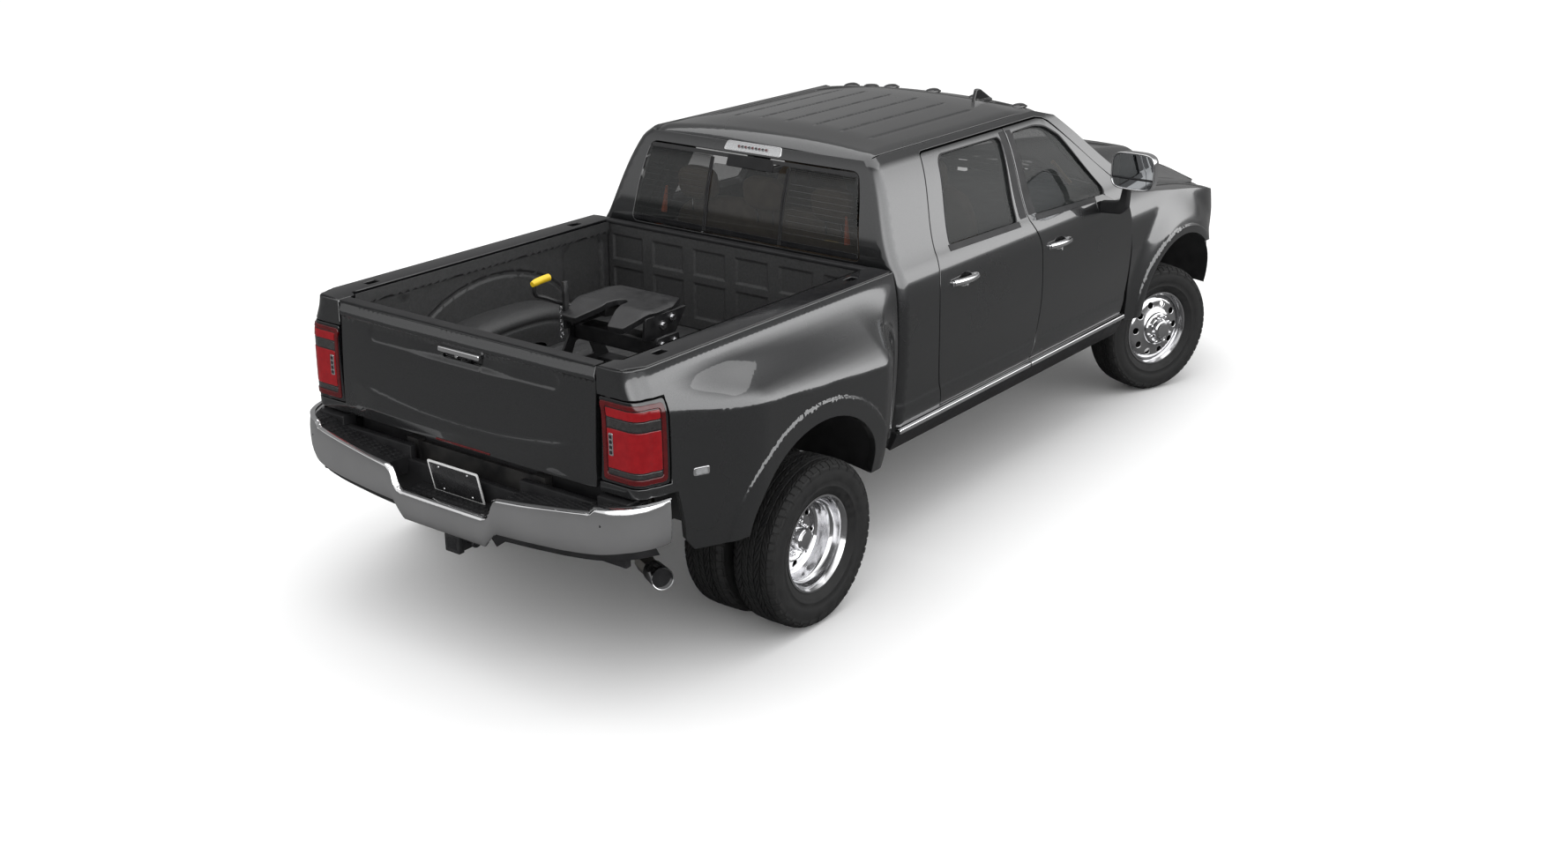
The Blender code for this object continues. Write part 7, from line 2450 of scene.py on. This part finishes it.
# grab handles, centre console and headlining details seen through the glass
parts = []
for s in (1, -1):
    line = [(0.95, s * 0.735, 1.62), (0.99, s * 0.725, 1.60), (1.10, s * 0.745, 1.50),
            (1.13, s * 0.760, 1.47)]
    parts.append(finish(tube("grab", line, 0.012, sides=10, step=0.02), finishes["tan"]))
parts.append(finish(roundedBox("console", (0.20, -0.135, 0.702), (0.92, 0.135, 1.030), 0.03),
                    finishes["darkLeather"]))
parts.append(finish(roundedBox("consoleLid", (0.22, -0.125, 1.030), (0.62, 0.125, 1.075), 0.02),
                    finishes["tan"]))
parts.append(finish(roundedBox("viewMirror", (1.065, -0.12, 1.745), (1.085, 0.12, 1.805), 0.009), gloss))
cabFittings = join("cabFittings", *parts)
mount(cabFittings, "chassis", "interior_plastic")
print("interior made")


# carried-over frame pieces get their finishes

tipAt = Vector((-2.660, -0.740, 0.440))
tipEnd = Vector((-2.800, -0.960, 0.480))
tipTurn = (tipEnd - tipAt).to_track_quat("Z", "Y").to_matrix().to_4x4()
sleeve = turned("sleeve", [(0.0440, -0.120), (0.0475, -0.115), (0.0500, -0.020), (0.0505, 0.022),
                           (0.0490, 0.025), (0.0465, 0.023),
                           (0.0460, -0.010)], 48, Matrix.Translation(tipEnd) @ tipTurn)
# a near-black disc closing the tip just inside its mouth: painted shade for the pipe's hollow inside
bore = turned("bore", [(0.0465, 0.004), (0.020, 0.003), (0.0, 0.003)], 48,
              Matrix.Translation(tipEnd) @ tipTurn)
tip = join("exhaustTip", finish(sleeve, finishes["polished"]), finish(bore, finishes["dots"]))
mount(tip, "chassis", "exhaust_steel")

carried = {"frame": "steel", "front_axle": "steel", "rear_axle": "steel", "driveline": "steel",
           "engine": "steel",
           "knuckle_left": "steel", "knuckle_right": "steel", "exhaust": "exhaust", "fuel_tank": "plastic",
           "engine_bay": "inside",
           "cab_floor": "inside"}
for node, finishName in carried.items():
    finish(frame["nodes"][node], finishes[finishName])


# floor, light and camera

stageLook = {"floor": 120.0, "tone": 0.92, "reflected": 0.14}


def floorMaterial():
    mat = bpy.data.materials.new("studioFloor")
    mat.use_nodes = True
    tree = mat.node_tree
    shader = tree.nodes["Principled BSDF"]
    out = tree.nodes["Material Output"]
    shader.inputs["Base Color"].default_value = (stageLook["tone"],) * 3 + (1,)
    shader.inputs["Roughness"].default_value = 0.9
    shader.inputs["Specular IOR Level"].default_value = 0.0
    dark = addNode(tree, "ShaderNodeBsdfDiffuse")
    dark.inputs["Color"].default_value = (stageLook["reflected"],) * 3 + (1,)
    path = addNode(tree, "ShaderNodeLightPath")
    mix = addNode(tree, "ShaderNodeMixShader")
    tree.links.new(path.outputs["Is Glossy Ray"], mix.inputs["Fac"])
    tree.links.new(shader.outputs[0], mix.inputs[1])
    tree.links.new(dark.outputs[0], mix.inputs[2])
    tree.links.new(mix.outputs[0], out.inputs["Surface"])
    return mat


bpy.ops.mesh.primitive_plane_add(size=stageLook["floor"], location=(0, 0, 0))
floor = bpy.context.object
floor.name = "floor"
floor.data.materials.append(floorMaterial())


worldLook = {"right": 3.0, "behind": 0.6, "zenith": 0.40, "base": 0.26, "dome": 1.18}


def studioWorld():
    # even white dome for light; in reflections a bright wall at the right, dim elsewhere
    world = bpy.data.worlds.new("studio")
    bpy.context.scene.world = world
    world.use_nodes = True
    tree = world.node_tree
    link = tree.links.new
    background = tree.nodes["Background"]
    coords = addNode(tree, "ShaderNodeTexCoord")
    axes = addNode(tree, "ShaderNodeSeparateXYZ")
    link(coords.outputs["Generated"], axes.inputs[0])

    def rise(source, low, high, start, end):
        part = addNode(tree, "ShaderNodeMapRange", interpolation_type="SMOOTHSTEP")
        for socket, value in (("From Min", low), ("From Max", high), ("To Min", start), ("To Max", end)):
            part.inputs[socket].default_value = value
        link(source, part.inputs["Value"])
        return part.outputs["Result"]

    def combine(kind, first, second):
        part = addNode(tree, "ShaderNodeMath", operation=kind)
        for k, source in enumerate((first, second)):
            if isinstance(source, (int, float)):
                part.inputs[k].default_value = source
            else:
                link(source, part.inputs[k])
        return part.outputs[0]

    look = worldLook
    right = rise(axes.outputs["Y"], -0.12, -0.62, 0.0, look["right"])
    behind = rise(axes.outputs["X"], -0.25, -0.85, 0.0, look["behind"])
    walls = combine("ADD", right, behind)
    cap = rise(axes.outputs["Z"], 0.62, 0.92, 1.0, look["zenith"])
    walls = combine("MULTIPLY", walls, cap)
    glossy = combine("ADD", walls, look["base"])
    lower = rise(axes.outputs["Z"], 0.00, 0.05, 0.15, 1.0)
    glossy = combine("MULTIPLY", glossy, lower)
    diffuse = rise(axes.outputs["Z"], -0.05, 0.02, 0.6, look["dome"])
    path = addNode(tree, "ShaderNodeLightPath")
    pick = addNode(tree, "ShaderNodeMix", data_type="FLOAT")
    link(path.outputs["Is Glossy Ray"], pick.inputs[0])
    link(diffuse, pick.inputs[2])
    link(glossy, pick.inputs[3])
    link(pick.outputs[0], background.inputs["Strength"])
    background.inputs["Color"].default_value = (1, 1, 1, 1)


studioWorld()


def addArea(name, at, aim, size, power):
    data = bpy.data.lights.new(name, "AREA")
    data.shape = "RECTANGLE"
    data.size, data.size_y = size
    data.energy = power
    lamp = bpy.data.objects.new(name, data)
    lamp.location = at
    lamp.rotation_euler = (Vector(aim) - Vector(at)).to_track_quat("-Z", "Y").to_euler()
    bpy.context.scene.collection.objects.link(lamp)


addArea("overhead", (0.5, 0.5, 7.0), (0, 0, 0), (9.0, 6.0), 260)
bpy.context.scene.view_settings.view_transform = "Standard"

cameraLook = {"at": (-8.1052, -5.584, 3.7814), "azimuth": -53.2292, "elevation": 20.3102, "lens": 41.27}
cameraData = bpy.data.cameras.new("camera")
cameraData.lens = cameraLook["lens"]
cameraData.sensor_width = 36.0
camera = bpy.data.objects.new("camera", cameraData)
a, e = math.radians(cameraLook["azimuth"]), math.radians(cameraLook["elevation"])
backward = Vector((math.sin(a) * math.cos(e), -math.cos(a) * math.cos(e), math.sin(e)))
camera.location = cameraLook["at"]
camera.rotation_euler = backward.to_track_quat("Z", "Y").to_euler()
bpy.context.scene.collection.objects.link(camera)
bpy.context.scene.camera = camera
print("stage made")
